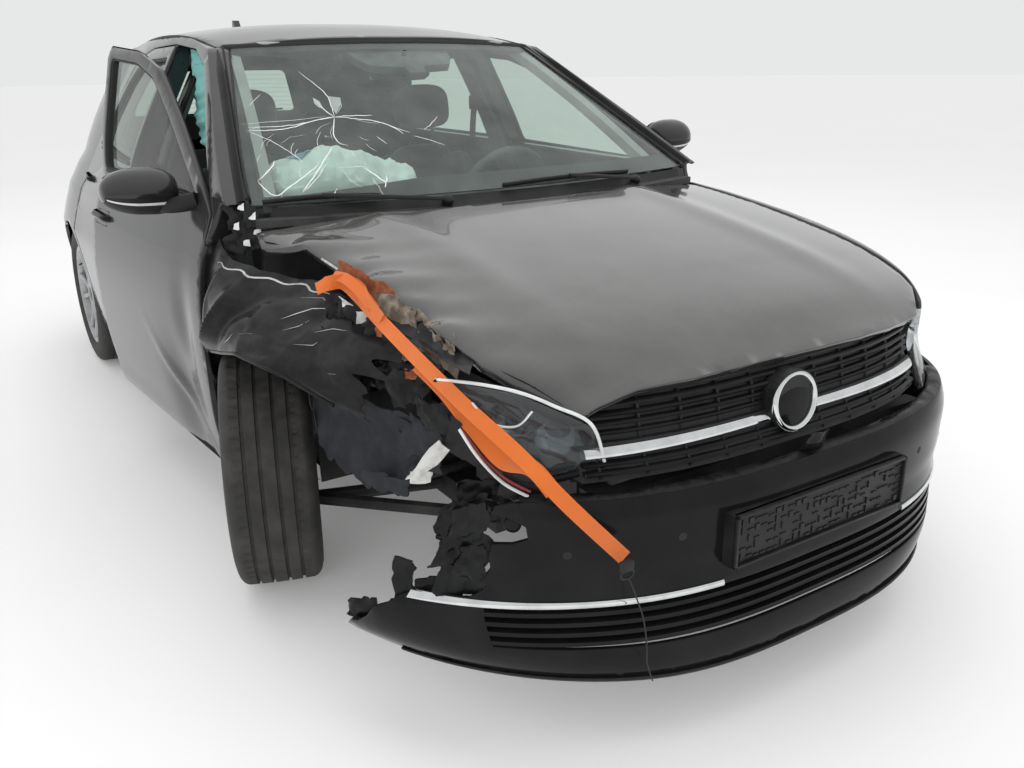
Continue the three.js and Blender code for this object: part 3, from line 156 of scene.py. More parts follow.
def tail_y(z):
    return TAIL_Y - smooth(TAIL_SETBACK, z)


def ellipse(k, power):
    return max(0.0, 1 - clamp(abs(k)) ** power) ** (1 / power)


def nose_skin(x, z, inset=0):
    reach = FRONT_BEND - nose_y(z) - inset
    return FRONT_BEND - reach * ellipse(x / (half_width(z) - inset), FRONT_POWER)


def tail_skin(x, z, inset=0):
    w = half_width(z) - inset - tail_taper(REAR_BEND, z)
    return REAR_BEND + (tail_y(z) - inset - REAR_BEND) * ellipse(x / w, REAR_POWER)


def crease(y, z):
    """A sharp shoulder line along the flank."""
    line = 858 - 0.012 * (y + 800)
    fade = clamp((y + 1900) / 300) * clamp((1950 - y) / 250)
    d = z - line
    return fade * ((5 * math.exp(d / 26)) if d < 0 else (5 * math.exp(-d / 7)))


def skin_x(y, z, inset=0):
    w = half_width(z) - inset
    if y < FRONT_BEND:
        return w * ellipse((FRONT_BEND - y) / (FRONT_BEND - nose_y(z) - inset), FRONT_POWER) + crease(y, z)
    if y > REAR_BEND:
        w -= tail_taper(REAR_BEND, z)
        return w * ellipse((y - REAR_BEND) / (tail_y(z) - inset - REAR_BEND), REAR_POWER) + crease(y, z)
    return w - tail_taper(y, z) + crease(y, z)


def bonnet_z(x, y):
    k = clamp(abs(x) / smooth(BONNET_EDGE, y), 0, 1.1)
    ridge = 7 * math.exp(-((abs(x) - 430) / 60) ** 2)
    return smooth(BONNET_CENTRE, y) - BONNET_DROP * k ** 2.6 + ridge * clamp((y + 2000) / 300)


def roof_half(y):
    return 582 - tail_taper(y, 1400) - 40 * clamp((y - REAR_BEND) / 700) ** 2


def roof_z(x, y):
    return smooth(ROOF_CENTRE, y) - ROOF_DROP * (abs(x) / roof_half(y)) ** 2.6


def wrap(k, z, rear=False, inset=0):
    """A point of the bumper skins: k runs from -1 (right) to 1 (left)."""
    w = half_width(z) - inset
    s = abs(k) * 1.1
    if s > 1:
        along_y = (s - 1) * 2250
        y = FRONT_BEND + along_y if not rear else REAR_BEND - along_y
        x = w - (tail_taper(y, z) if rear else 0)
    else:
        a = (1 - s) ** 1.4 * PI / 2
        if rear:
            reach = tail_y(z) - inset - REAR_BEND
            x = (w - tail_taper(REAR_BEND, z)) * math.cos(a) ** (2 / REAR_POWER)
            y = REAR_BEND + reach * math.sin(a) ** (2 / REAR_POWER)
        else:
            reach = FRONT_BEND - nose_y(z) - inset
            x = w * math.cos(a) ** (2 / FRONT_POWER)
            y = FRONT_BEND - reach * math.sin(a) ** (2 / FRONT_POWER)
    return math.copysign(x, k), y, z


def wrap_k(y, z):
    """The k of the front bumper where its skin passes a distance along the car."""
    low, high = 0.0, 1.0
    for _ in range(40):
        mid = (low + high) / 2
        if wrap(mid, z)[1] < y:
            low = mid
        else:
            high = mid
    return (low + high) / 2


# Mesh helpers
def make(name, verts, faces, look, body=None, smoothed=True, sharp=None):
    mesh = bpy.data.meshes.new(name)
    mesh.from_pydata([tuple(v) for v in verts], [], faces)
    mesh.update()
    piece = bpy.data.objects.new(name, mesh)
    bpy.context.collection.objects.link(piece)
    mesh.materials.append(look)
    if smoothed:
        mesh.shade_smooth()
        if sharp:
            mesh.set_sharp_from_angle(angle=math.radians(sharp))
    if body:
        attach(piece, body)
    return piece


def mm(x, y, z):
    return Vector((x * 0.001, y * 0.001, z * 0.001))


def inside(p, loop):
    x, y = p
    hit = False
    j = len(loop) - 1
    for i in range(len(loop)):
        (ax, ay), (bx, by) = loop[i], loop[j]
        if (ay > y) != (by > y) and x < (bx - ax) * (y - ay) / (by - ay) + ax:
            hit = not hit
        j = i
    return hit


def resample(loop, step):
    out = []
    for (ax, ay), (bx, by) in zip(loop, loop[1:] + loop[:1]):
        n = max(1, math.ceil(math.hypot(bx - ax, by - ay) / step))
        out += [(lerp(ax, bx, i / n), lerp(ay, by, i / n)) for i in range(n)]
    return out


def area2(loop):
    return sum(ax * by - bx * ay for (ax, ay), (bx, by) in zip(loop, loop[1:] + loop[:1]))


def outwards(loop):
    """Unit directions that point away from the loop's inside, one for each point."""
    side = 1 if area2(loop) > 0 else -1
    n = len(loop)
    out = []
    for i in range(n):
        p, q, r = Vector(loop[i - 1]), Vector(loop[i]), Vector(loop[(i + 1) % n])
        d1, d2 = (q - p).normalized(), (r - q).normalized()
        v = Vector((d1.y + d2.y, -d1.x - d2.x)) * side
        k = max(0.5, v.length_squared / 2)
        out.append(v / k / 1.0)
    return out


def grown(loop, by):
    return [(x + d.x * by, y + d.y * by) for (x, y), d in zip(loop, outwards(loop))]


def rounded(loop, radius, steps=4):
    """The loop with its corners rounded."""
    out = []
    n = len(loop)
    for i in range(n):
        p, q, r = Vector(loop[i - 1]), Vector(loop[i]), Vector(loop[(i + 1) % n])
        cut = min(radius, (p - q).length * 0.45, (r - q).length * 0.45)
        a, b = q + (p - q).normalized() * cut, q + (r - q).normalized() * cut
        for k in range(steps + 1):
            t = k / steps
            v = a * (1 - t) ** 2 + q * 2 * t * (1 - t) + b * t * t
            out.append((v.x, v.y))
    return out


def panel(name, outer, place, look, body, facing, holes=(), step=20, roll=2.5, hem=12, shape=None, jag=0,
          sharp=None):
    """A pressed panel: a fine skin over an outline of the surface, with rolled edges and a hem.

    place(a, b) gives the skin's point, in millimetres; facing is a rough outward direction."""
    loops = [resample(list(outer), step)] + [resample(list(h), step) for h in holes]
    if jag:
        loops = [[(a + jag * noise.noise(Vector((a * 0.05, b * 0.05, 3))) ,
                   b + jag * noise.noise(Vector((a * 0.05, b * 0.05, 9))))
                  for a, b in loop] for loop in loops]
    ways = [outwards(loop) for loop in loops]
    ways = ways[:1] + [[-d for d in w] for w in ways[1:]]
    inner = [[(a - d.x * roll, b - d.y * roll) for (a, b), d in zip(loop, w)] for loop,
             w in zip(loops, ways)]
    points, edges = [], []
    for loop in inner:
        first = len(points)
        points += loop
        edges += [(first + i, first + (i + 1) % len(loop)) for i in range(len(loop))]
    low = [min(p[i] for p in inner[0]) for i in (0, 1)]
    high = [max(p[i] for p in inner[0]) for i in (0, 1)]
    rim = {}
    for p in points:
        rim.setdefault((int(p[0] // step), int(p[1] // step)), []).append(p)
    row = 0
    b = low[1] + step / 2
    while b < high[1]:
        a = low[0] + (step / 2 if row % 2 else 0)
        while a < high[0]:
            i, j = int(a // step), int(b // step)
            near = any((a - q[0]) ** 2 + (b - q[1]) ** 2 < (0.55 * step) ** 2
                       for di in (-1, 0, 1) for dj in (-1, 0, 1) for q in rim.get((i + di, j + dj), ()))
            if not near and inside((a, b), inner[0]) and not any(inside((a, b), h) for h in inner[1:]):
                points.append((a, b))
            a += step
        b += step * 0.87
        row += 1
    found = delaunay_2d_cdt([Vector(p) for p in points], edges, [], 0, 1e-4)
    flat, tris = found[0], found[2]
    faces = []
    for tri in tris:
        c = sum((flat[i] for i in tri), Vector((0, 0))) / len(tri)
        if inside(c, inner[0]) and not any(inside(c, h) for h in inner[1:]):
            faces.append(tuple(tri))
    at = {}
    for i, sources in enumerate(found[3]):
        for s in sources:
            at[s] = i

    def spot(a, b, depth):
        p = Vector(place(a, b))
        pa, pb = Vector(place(a + 1, b)) - Vector(place(a - 1, b)), Vector(place(a,
                b + 1)) - Vector(place(a, b - 1))
        n = pa.cross(pb)
        n = n.normalized() if n.length > 1e-9 else Vector(facing)
        if n.dot(Vector(facing)) < 0:
            n = -n
        lift = shape(a, b) if shape else 0
        if isinstance(lift, Vector):
            p = p + lift
            lift = 0
        return (p + n * (lift - depth)) * 0.001

    verts = [spot(v.x, v.y, 0) for v in flat]
    first = 0
    hem_steps = [(0.3, 0.3 * roll), (0, roll), (0, hem)]
    for loop, way in zip(loops, ways):
        n = len(loop)
        ring = [at[first + i] for i in range(n)]
        for shrink, depth in hem_steps:
            start = len(verts)
            verts += [spot(a - d.x * roll * shrink, b - d.y * roll * shrink, depth) for (a, b),
                      d in zip(loop, way)]
            nxt = [start + i for i in range(n)]
            faces += [(ring[i], ring[(i + 1) % n], nxt[(i + 1) % n], nxt[i]) for i in range(n)]
            ring = nxt
        first += n
    piece = make(name, verts, faces, look, body, sharp=sharp)
    tidy_normals(piece, Vector(facing))
    return piece


def tidy_normals(piece, facing=None):
    import bmesh
    bm = bmesh.new()
    bm.from_mesh(piece.data)
    bmesh.ops.recalc_face_normals(bm, faces=bm.faces)
    if facing is not None:
        total = sum((f.normal.dot(facing) * f.calc_area() for f in bm.faces), 0.0)
        if total < 0:
            bmesh.ops.reverse_faces(bm, faces=bm.faces)
    bm.to_mesh(piece.data)
    bm.free()


def grid(name, nu, nv, at, look, body, closed_u=False, closed_v=False, sharp=None, caps=False):
    """A sheet of nu by nv quads through at(u, v), in metres."""
    cu, cv = nu + (0 if closed_u else 1), nv + (0 if closed_v else 1)
    verts = [at(i / nu, j / nv) for i in range(cu) for j in range(cv)]
    faces = []
    for i in range(nu):
        for j in range(nv):
            a, b = i % cu, (i + 1) % cu
            c, d = j % cv, (j + 1) % cv
            faces.append((a * cv + c, b * cv + c, b * cv + d, a * cv + d))
    if caps and closed_v:
        faces.append(tuple(range(cv - 1, -1, -1)))
        faces.append(tuple((cu - 1) * cv + j for j in range(cv)))
    return make(name, verts, faces, look, body, sharp=sharp)


def tube(name, route, radius, look, body, sides=10, steps=None, flat=1.0, taper=None, caps=True):
    """A round bar or hose along a list of points in metres."""
    pts = [Vector(p) for p in route]
    if steps:
        pts = curve_through(pts, steps)
    n = len(pts)
    verts, faces = [], []
    side = None
    for i, p in enumerate(pts):
        t = (pts[min(n - 1, i + 1)] - pts[max(0, i - 1)]).normalized()
        if side is None:
            side = t.orthogonal().normalized()
        side = (side - t * side.dot(t)).normalized()
        other = t.cross(side)
        r = radius * (taper(i / (n - 1)) if taper else 1)
        for j in range(sides):
            a = 2 * PI * j / sides
            verts.append(p + side * math.cos(a) * r + other * math.sin(a) * r * flat)
    for i in range(n - 1):
        for j in range(sides):
            k = (j + 1) % sides
            faces.append((i * sides + j, i * sides + k, (i + 1) * sides + k, (i + 1) * sides + j))
    if caps:
        faces.append(tuple(range(sides - 1, -1, -1)))
        faces.append(tuple((n - 1) * sides + j for j in range(sides)))
    return make(name, verts, faces, look, body, sharp=50)


def curve_through(pts, steps):
    out = []
    n = len(pts)
    for i in range(n - 1):
        p0, p1, p2, p3 = pts[max(0, i - 1)], pts[i], pts[i + 1], pts[min(n - 1, i + 2)]
        for k in range(steps):
            t = k / steps
            out.append(0.5 * ((2 * p1) + (p2 - p0) * t + (2 * p0 - 5 * p1 + 4 * p2 - p3) * t * t
                              + (3 * p1 - p0 - 3 * p2 + p3) * t ** 3))
    out.append(pts[-1])
    return out


def soft_box(name, low, high, look, body, radius=0.006, segments=2, turn=None):
    """A block with rounded edges, from its lowest to its highest corner in metres."""
    import bmesh
    bm = bmesh.new()
    bmesh.ops.create_cube(bm, size=1)
    low, high = Vector(low), Vector(high)
    size = high - low
    for v in bm.verts:
        v.co = Vector(((v.co.x + 0.5) * size.x, (v.co.y + 0.5) * size.y, (v.co.z + 0.5) * size.z)) + low
    bmesh.ops.bevel(bm, geom=list(bm.edges), offset=min(radius, min(size) * 0.45), segments=segments,
                    profile=0.5, affect="EDGES")
    mesh = bpy.data.meshes.new(name)
    bm.to_mesh(mesh)
    bm.free()
    if turn:
        mesh.transform(turn)
    piece = bpy.data.objects.new(name, mesh)
    bpy.context.collection.objects.link(piece)
    mesh.materials.append(look)
    mesh.shade_smooth()
    mesh.set_sharp_from_angle(angle=math.radians(40))
    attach(piece, body)
    return piece

# Materials
def nodes_of(name):
    m = bpy.data.materials.new(name)
    m.use_nodes = True
    t = m.node_tree
    return m, t, t.nodes["Principled BSDF"]


def noise_node(t, scale, detail=4, rough=0.55, distort=0.0, stretch=(1, 1, 1)):
    where = t.nodes.new("ShaderNodeTexCoord")
    turn = t.nodes.new("ShaderNodeMapping")
    turn.inputs["Scale"].default_value = stretch
    t.links.new(where.outputs["Object"], turn.inputs["Vector"])
    n = t.nodes.new("ShaderNodeTexNoise")
    n.inputs["Scale"].default_value = scale
    n.inputs["Detail"].default_value = detail
    n.inputs["Roughness"].default_value = rough
    n.inputs["Distortion"].default_value = distort
    t.links.new(turn.outputs["Vector"], n.inputs["Vector"])
    return n.outputs["Fac"]


def ramp(t, fac, low, high, a=0.0, b=1.0):
    """Maps a factor from low..high to a..b."""
    n = t.nodes.new("ShaderNodeMapRange")
    n.inputs["From Min"].default_value = low
    n.inputs["From Max"].default_value = high
    n.inputs["To Min"].default_value = a
    n.inputs["To Max"].default_value = b
    t.links.new(fac, n.inputs["Value"])
    return n.outputs["Result"]


def math_node(t, kind, a, b=None):
    n = t.nodes.new("ShaderNodeMath")
    n.operation = kind
    for i, v in enumerate((a, b)):
        if v is None:
            continue
        if isinstance(v, (int, float)):
            n.inputs[i].default_value = v
        else:
            t.links.new(v, n.inputs[i])
    return n.outputs[0]


def mix(t, fac, a, b):
    n = t.nodes.new("ShaderNodeMix")
    n.data_type = "RGBA"
    sockets = [s for s in n.inputs if s.type == "RGBA"]
    t.links.new(fac, n.inputs["Factor"])
    for s, v in zip(sockets, (a, b)):
        if isinstance(v, tuple):
            s.default_value = (*v, 1)
        else:
            t.links.new(v, s)
    return [s for s in n.outputs if s.type == "RGBA"][0]


def bumped(t, shader, height, strength, distance):
    n = t.nodes.new("ShaderNodeBump")
    n.inputs["Strength"].default_value = strength
    n.inputs["Distance"].default_value = distance
    t.links.new(height, n.inputs["Height"])
    t.links.new(n.outputs["Normal"], shader.inputs["Normal"])


def surface(name, colour, second, rough, metal=0.0, scale=9.0, fine=90.0, bump=0.0, bump_size=0.001,
            dust=0.0,
            dust_colour=(0.42, 0.4, 0.37), coat=0.0, spec=None, low=0.42, high=0.68, patch=0.0,
            stretch=(1, 1, 1)):
    """A worn surface: two colours in blotches, varied roughness, fine bump, and a pale film on what faces up,
    partly real dust and partly painted light that makes tops lighter.
    """
    m, t, s = nodes_of(name)
    big = noise_node(t, scale, 5, stretch=stretch)
    small = noise_node(t, fine, 3, stretch=stretch)
    colour_out = mix(t, ramp(t, big, low, high), colour, second)
    if dust:
        geo = t.nodes.new("ShaderNodeNewGeometry")
        split = t.nodes.new("ShaderNodeSeparateXYZ")
        t.links.new(geo.outputs["Normal"], split.inputs[0])
        # The pale film grows on upward faces: partly real dust, partly painted light from above.
        up_dust_and_light = ramp(t, split.outputs["Z"], 0.0, 1.0, 0.15, 1.0)
        patches = ramp(t, noise_node(t, scale * 2.3, 6, 0.65), 0.35, 0.75, patch, 1.0)
        colour_out = mix(t, math_node(t, "MULTIPLY", math_node(t, "MULTIPLY", up_dust_and_light, patches), dust),
                         colour_out, dust_colour)
    t.links.new(colour_out, s.inputs["Base Color"])
    t.links.new(ramp(t, big, 0.35, 0.7, rough[0], rough[1]), s.inputs["Roughness"])
    s.inputs["Metallic"].default_value = metal
    s.inputs["Coat Weight"].default_value = coat
    s.inputs["Coat Roughness"].default_value = 0.03
    if spec is not None:
        s.inputs["Specular IOR Level"].default_value = spec
    if bump:
        bumped(t, s, small, bump, bump_size)
    return m


paint = surface("paint_black", (0.006, 0.0062, 0.007), (0.010, 0.0101, 0.011), (0.10, 0.18), 0.0, 3.2,
                420.0, 0.01, 0.0002,
                dust=0.17, dust_colour=(0.30, 0.29, 0.28), spec=0.45, coat=0.22, patch=0.72)
# The bonnet's black paint carries about twice the pale film on its upward faces: partly real dust, partly a
# painted reflection of the bright space above.
bonnet_paint_dust_and_sheen = surface("paint_bonnet_dust_and_sheen", (0.006, 0.0062, 0.007), (0.010, 0.0101, 0.011), (0.10, 0.18), 0.0,
                    3.2, 420.0, 0.01, 0.0002,
                    dust=0.36, dust_colour=(0.30, 0.29, 0.28), spec=0.5, coat=0.75, patch=0.72)
paint_dull = surface("paint_scuffed", (0.006, 0.006, 0.007), (0.018, 0.018, 0.019), (0.14, 0.32), 0.0, 14,
                     160.0, 0.1, 0.0006,
                     dust=0.04, spec=0.16, coat=0.0, patch=0.4)
plastic = surface("plastic_black", (0.007, 0.007, 0.0075), (0.014, 0.014, 0.015), (0.42, 0.62), 0, 12,
                  700, 0.25, 0.0004,
                  dust=0.03, spec=0.35)
gloss_plastic = surface("plastic_gloss", (0.008, 0.008, 0.009), (0.013, 0.013, 0.014), (0.10, 0.2), 0, 6,
                        500, 0.02, 0.0002,
                        dust=0.01, spec=0.13)
torn_plastic = surface("plastic_torn", (0.004, 0.0042, 0.0048), (0.012, 0.0125, 0.014), (0.22, 0.5), 0,
                       22, 260, 0.3, 0.001,
                       dust=0.03, spec=0.2)
liner_felt = surface("liner_felt", (0.012, 0.014, 0.018), (0.028, 0.032, 0.038), (0.75, 0.95), 0, 26, 480,
                     0.8, 0.002,
                     dust=0.05)
rubber = surface("rubber_tyre", (0.022, 0.021, 0.020), (0.052, 0.049, 0.046), (0.68, 0.9), 0, 16, 240,
                 0.35, 0.0012,
                 dust=0.16, dust_colour=(0.16, 0.15, 0.135))
seal = surface("rubber_seal", (0.008, 0.008, 0.008), (0.016, 0.016, 0.016), (0.5, 0.7), 0, 30, 400, 0.2,
               0.0005)
chrome = surface("chrome", (0.72, 0.73, 0.74), (0.58, 0.59, 0.6), (0.06, 0.16), 1.0, 20, 300, 0.03, 0.0003)
alloy = surface("alloy_wheel", (0.42, 0.43, 0.44), (0.3, 0.3, 0.31), (0.28, 0.42), 0.85, 14, 260, 0.08,
                0.0004, dust=0.1,
                dust_colour=(0.12, 0.11, 0.1))
disc_iron = surface("brake_iron", (0.16, 0.13, 0.11), (0.3, 0.28, 0.26), (0.4, 0.6), 0.8, 30, 120, 0.3,
                    0.001)
steel = surface("steel_dusty", (0.03, 0.031, 0.034), (0.075, 0.073, 0.07), (0.45, 0.75), 0.4, 9, 110,
                0.35, 0.0012, dust=0.22,
                dust_colour=(0.22, 0.19, 0.16))
bare = surface("steel_bare", (0.62, 0.62, 0.60), (0.42, 0.4, 0.38), (0.35, 0.6), 0.55, 34, 320, 0.3, 0.0008)
rust = surface("rust", (0.20, 0.045, 0.012), (0.36, 0.13, 0.05), (0.7, 0.95), 0.1, 46, 260, 0.8, 0.0015,
               dust=0.12)
cast = surface("alloy_cast", (0.15, 0.15, 0.15), (0.08, 0.078, 0.075), (0.45, 0.7), 0.7, 16, 180, 0.5,
               0.001, dust=0.25,
               dust_colour=(0.2, 0.17, 0.14))
# Interior trim: its grey and the heavy pale film on its upward faces, the dash top most, are partly real dust
# and partly painted light that brightens the lower windscreen in front of the dash.
trim = surface("trim_soft_dust_and_sheen", (0.055, 0.056, 0.059), (0.07, 0.071, 0.074), (0.6, 0.8), 0, 8, 900, 0.5,
               0.0006, dust=0.3)
trim_light = surface("trim_light", (0.34, 0.34, 0.33), (0.42, 0.42, 0.41), (0.75, 0.92), 0, 10, 800, 0.3,
                     0.0005)


def woven(name, colour, second, pitch, bump, rough=0.85, sheen=0.3):
    """Cloth with a visible weave of a given number of threads in a metre."""
    m, t, s = nodes_of(name)
    where = t.nodes.new("ShaderNodeTexCoord")
    waves = []
    for axis in ("X", "Y", "Z"):
        w = t.nodes.new("ShaderNodeTexWave")
        w.bands_direction = axis
        w.inputs["Scale"].default_value = pitch
        w.inputs["Distortion"].default_value = 1.2
        w.inputs["Detail Scale"].default_value = 2.0
        t.links.new(where.outputs["Object"], w.inputs["Vector"])
        waves.append(w.outputs["Fac"])
    weave = math_node(t, "MULTIPLY", math_node(t, "ADD", waves[0], waves[1]),
                      math_node(t, "ADD", waves[2], 0.35))
    blot = noise_node(t, 7, 5)
    base = mix(t, ramp(t, blot, 0.35, 0.7), colour, second)
    dark = tuple(c * 0.55 for c in colour)
    t.links.new(mix(t, ramp(t, weave, 0.0, 1.6, 0.55, 0.0), base, dark), s.inputs["Base Color"])
    s.inputs["Roughness"].default_value = rough
    s.inputs["Sheen Weight"].default_value = sheen
    bumped(t, s, weave, bump, 0.0006)
    return m


cloth = woven("cloth_seat", (0.085, 0.086, 0.092), (0.12, 0.121, 0.126), 190, 0.5)
cloth_side = woven("cloth_bolster", (0.035, 0.036, 0.038), (0.055, 0.056, 0.058), 260, 0.4)
webbing = woven("webbing_orange", (0.95, 0.21, 0.02), (0.86, 0.17, 0.014), 420, 0.6, 0.62, 0.2)
nylon_pale = woven("nylon_pale", (0.90, 0.99, 0.95), (0.78, 0.92, 0.87), 320, 0.3, 0.9, 0.25)
nylon_green = woven("nylon_green", (0.34, 0.88, 0.84), (0.22, 0.72, 0.70), 320, 0.3, 0.85, 0.3)


cloth_blue = woven("patch_blue", (0.16, 0.36, 0.46), (0.12, 0.30, 0.40), 320, 0.2, 0.8, 0.2)


def glassy(name, tint, rough=0.0, dirt=0.12, dirt_colour=(0.5, 0.5, 0.47)):
    """Thin window glass: clear and tinted, with a film of dust."""
    m, t, s = nodes_of(name)
    out = t.nodes["Material Output"]
    s.inputs["Base Color"].default_value = (*tint, 1)
    s.inputs["Roughness"].default_value = rough
    s.inputs["IOR"].default_value = 1.5
    clear = t.nodes.new("ShaderNodeBsdfTransparent")
    clear.inputs["Color"].default_value = (*tint, 1)
    gloss = t.nodes.new("ShaderNodeBsdfGlossy")
    gloss.inputs["Roughness"].default_value = 0.02
    graze = t.nodes.new("ShaderNodeLayerWeight")
    graze.inputs["Blend"].default_value = 0.5
    mirror_part = math_node(t, "MULTIPLY_ADD", math_node(t, "POWER", graze.outputs["Facing"], 5.0), 0.95)
    mirror_part.node.inputs[2].default_value = 0.045
    see = t.nodes.new("ShaderNodeMixShader")
    t.links.new(mirror_part, see.inputs[0])
    t.links.new(clear.outputs[0], see.inputs[1])
    t.links.new(gloss.outputs[0], see.inputs[2])
    film = t.nodes.new("ShaderNodeBsdfDiffuse")
    film.inputs["Color"].default_value = (*dirt_colour, 1)
    both = t.nodes.new("ShaderNodeMixShader")
    t.links.new(math_node(t, "MULTIPLY", ramp(t, noise_node(t, 5, 6, 0.6), 0.3, 0.75, 0.35, 1.0), dirt),
                both.inputs[0])
    t.links.new(see.outputs[0], both.inputs[1])
    t.links.new(film.outputs[0], both.inputs[2])
    t.links.new(both.outputs[0], out.inputs["Surface"])
    return m


glass_screen = glassy("glass_screen", (0.80, 0.89, 0.85), dirt=0.21, dirt_colour=(0.50, 0.56, 0.53))
glass_side = glassy("glass_side", (0.66, 0.75, 0.70), dirt=0.08)
lens_clear = glassy("lens_clear", (0.90, 0.92, 0.93), dirt=0.06)


def plain_lens(name, colour, rough=0.08):
    m, t, s = nodes_of(name)
    tone = mix(t, ramp(t, noise_node(t, 60, 3), 0.3, 0.7), colour, tuple(c * 0.7 for c in colour))
    t.links.new(tone, s.inputs["Base Color"])
    s.inputs["Roughness"].default_value = rough
    s.inputs["Coat Weight"].default_value = 0.7
    w = t.nodes.new("ShaderNodeTexWave")
    w.bands_direction = "Z"
    w.inputs["Scale"].default_value = 55
    where = t.nodes.new("ShaderNodeTexCoord")
    t.links.new(where.outputs["Object"], w.inputs["Vector"])
    bumped(t, s, w.outputs["Fac"], 0.4, 0.001)
    return m


lens_red = plain_lens("lens_red", (0.20, 0.006, 0.008))
lens_smoke = plain_lens("lens_smoke", (0.035, 0.036, 0.038))
reflector = surface("reflector", (0.82, 0.83, 0.84), (0.66, 0.67, 0.68), (0.08, 0.2), 0.95, 26, 200, 0.05,
                    0.0005)
white_plastic = surface("plastic_white", (0.76, 0.77, 0.77), (0.6, 0.61, 0.61), (0.25, 0.45), 0, 24, 300,
                        0.1, 0.0004)
crack_white = surface("crack_white", (0.85, 0.88, 0.87), (0.7, 0.75, 0.74), (0.3, 0.5), 0, 80, 500, 0.2,
                      0.0004)

debris = surface("debris_tan", (0.10, 0.075, 0.055), (0.30, 0.25, 0.20), (0.75, 0.95), 0.05, 38, 240, 0.8,
                 0.002, dust=0.3)
frit = surface("screen_frit", (0.012, 0.012, 0.013), (0.02, 0.02, 0.021), (0.5, 0.7), 0, 20, 300, 0.05,
               0.0003)
mirror_glass = surface("mirror_glass", (0.80, 0.81, 0.82), (0.7, 0.71, 0.72), (0.03, 0.08), 1.0, 14, 200,
                       0.02, 0.0002)
crushed_glass = glassy("glass_crushed", (0.85, 0.92, 0.90), dirt=0.62, dirt_colour=(0.8, 0.86, 0.84))
lens_scratched = glassy("lens_scratched", (0.60, 0.63, 0.65), dirt=0.16, dirt_colour=(0.28, 0.30, 0.31))

floor_look = surface("floor_pale", (0.83, 0.83, 0.825), (0.85, 0.85, 0.845), (0.75, 0.85), 0, 0.6, 40,
                     0.02, 0.0004)
floor_shader = floor_look.node_tree.nodes["Principled BSDF"]
floor_shader.inputs["Emission Color"].default_value = (1, 1, 0.99, 1)
floor_shader.inputs["Emission Strength"].default_value = 0.15

# Floor and light
verts, faces = [], []
RINGS, SPOKES = 24, 64
for i in range(RINGS + 1):
    r = 60 * (i / RINGS) ** 2.2
    for j in range(SPOKES):
        verts.append((r * math.cos(2 * PI * j / SPOKES), r * math.sin(2 * PI * j / SPOKES), -0.0005))
for i in range(RINGS):
    for j in range(SPOKES):
        k = (j + 1) % SPOKES
        faces.append((i * SPOKES + j, i * SPOKES + k, (i + 1) * SPOKES + k, (i + 1) * SPOKES + j))
floor = make("floor", verts, faces, floor_look)
floor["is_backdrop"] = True


def area_light(name, where, aim, size, power, colour=(1, 1, 1)):
    data = bpy.data.lights.new(name, "AREA")
    data.shape = "RECTANGLE"
    data.size, data.size_y = size
    data.energy = power
    data.color = colour
    lamp = bpy.data.objects.new(name, data)
    bpy.context.collection.objects.link(lamp)
    lamp.location = where
    lamp.visible_glossy = False
    lamp.rotation_mode = "QUATERNION"
    lamp.rotation_quaternion = (Vector(aim) - Vector(where)).to_track_quat("-Z", "Y")
    return lamp


area_light("light_top", (0.4, -0.2, 5.2), (0, 0, 0.6), (6.5, 6.5), 110)
area_light("light_front", (-4.5, -6.0, 3.2), (-0.2, -0.6, 0.5), (4.0, 2.4), 95)
area_light("light_side", (-6.0, 1.5, 2.6), (-0.4, 0, 0.6), (4.5, 2.4), 18)
area_light("light_back", (3.5, 6.0, 3.6), (0, 0, 0.8), (5, 2.5), 12)
world = bpy.data.worlds.new("world")
scene.world = world
world.use_nodes = True
world.node_tree.nodes["Background"].inputs["Color"].default_value = (0.94, 0.95, 0.95, 1)
world.node_tree.nodes["Background"].inputs["Strength"].default_value = 0.85
scene.view_settings.view_transform = "Standard"
scene.view_settings.look = "None"

# Outlines, as in the CAD: (y, z)
FRONT_DOOR = [
    (-835, 240), (-838, 700), (-825, 880), (-795, 962), (-480, 1165), (-230, 1322), (-60, 1372),
    (205, 1390), (205, 240)]
FRONT_WINDOW = [(-695, 985), (-440, 1148), (-205, 1294), (-55, 1338), (168, 1354), (168, 1000)]
REAR_DOOR = [
    (215, 240), (215, 1391), (560, 1384), (800, 1352), (930, 1285), (1060, 1140), (1165, 985), (1165, 645)]
REAR_DOOR += [(REAR_AXLE + 379 * math.cos(a), TYRE_R + 379 * math.sin(a))
              for a in [math.radians(d) for d in (126, 134, 142, 150, 158, 165)]] + [(985, 240)]
REAR_WINDOW = [(252, 1002), (252, 1355), (550, 1348), (785, 1318), (895, 1255), (990, 1145), (1075, 1015)]
TAILGATE = [
    (-560, 640), (560, 640), (580, 900), (540, 1010), (440, 1300), (420, 1378), (-420, 1378), (-440, 1300),
    (-540, 1010), (-580, 900)]
REAR_GLASS = [(-462, 1052), (462, 1052), (378, 1312), (-378, 1312)]
TAILGATE_EDGE = [(640, 560), (900, 580), (1010, 540), (1300, 440), (1378, 420)]
LIFT = 0.6


def rear_edge(z):
    x = along(TAILGATE_EDGE, z) + 6
    w = half_width(z) - tail_taper(REAR_BEND, z)
    return REAR_BEND + (tail_y(z) - REAR_BEND) * max(0, 1 - (x / w) ** REAR_POWER) ** (1 / REAR_POWER)


def roof_edge_z(y):
    return smooth(ROOF_CENTRE, y) - ROOF_DROP


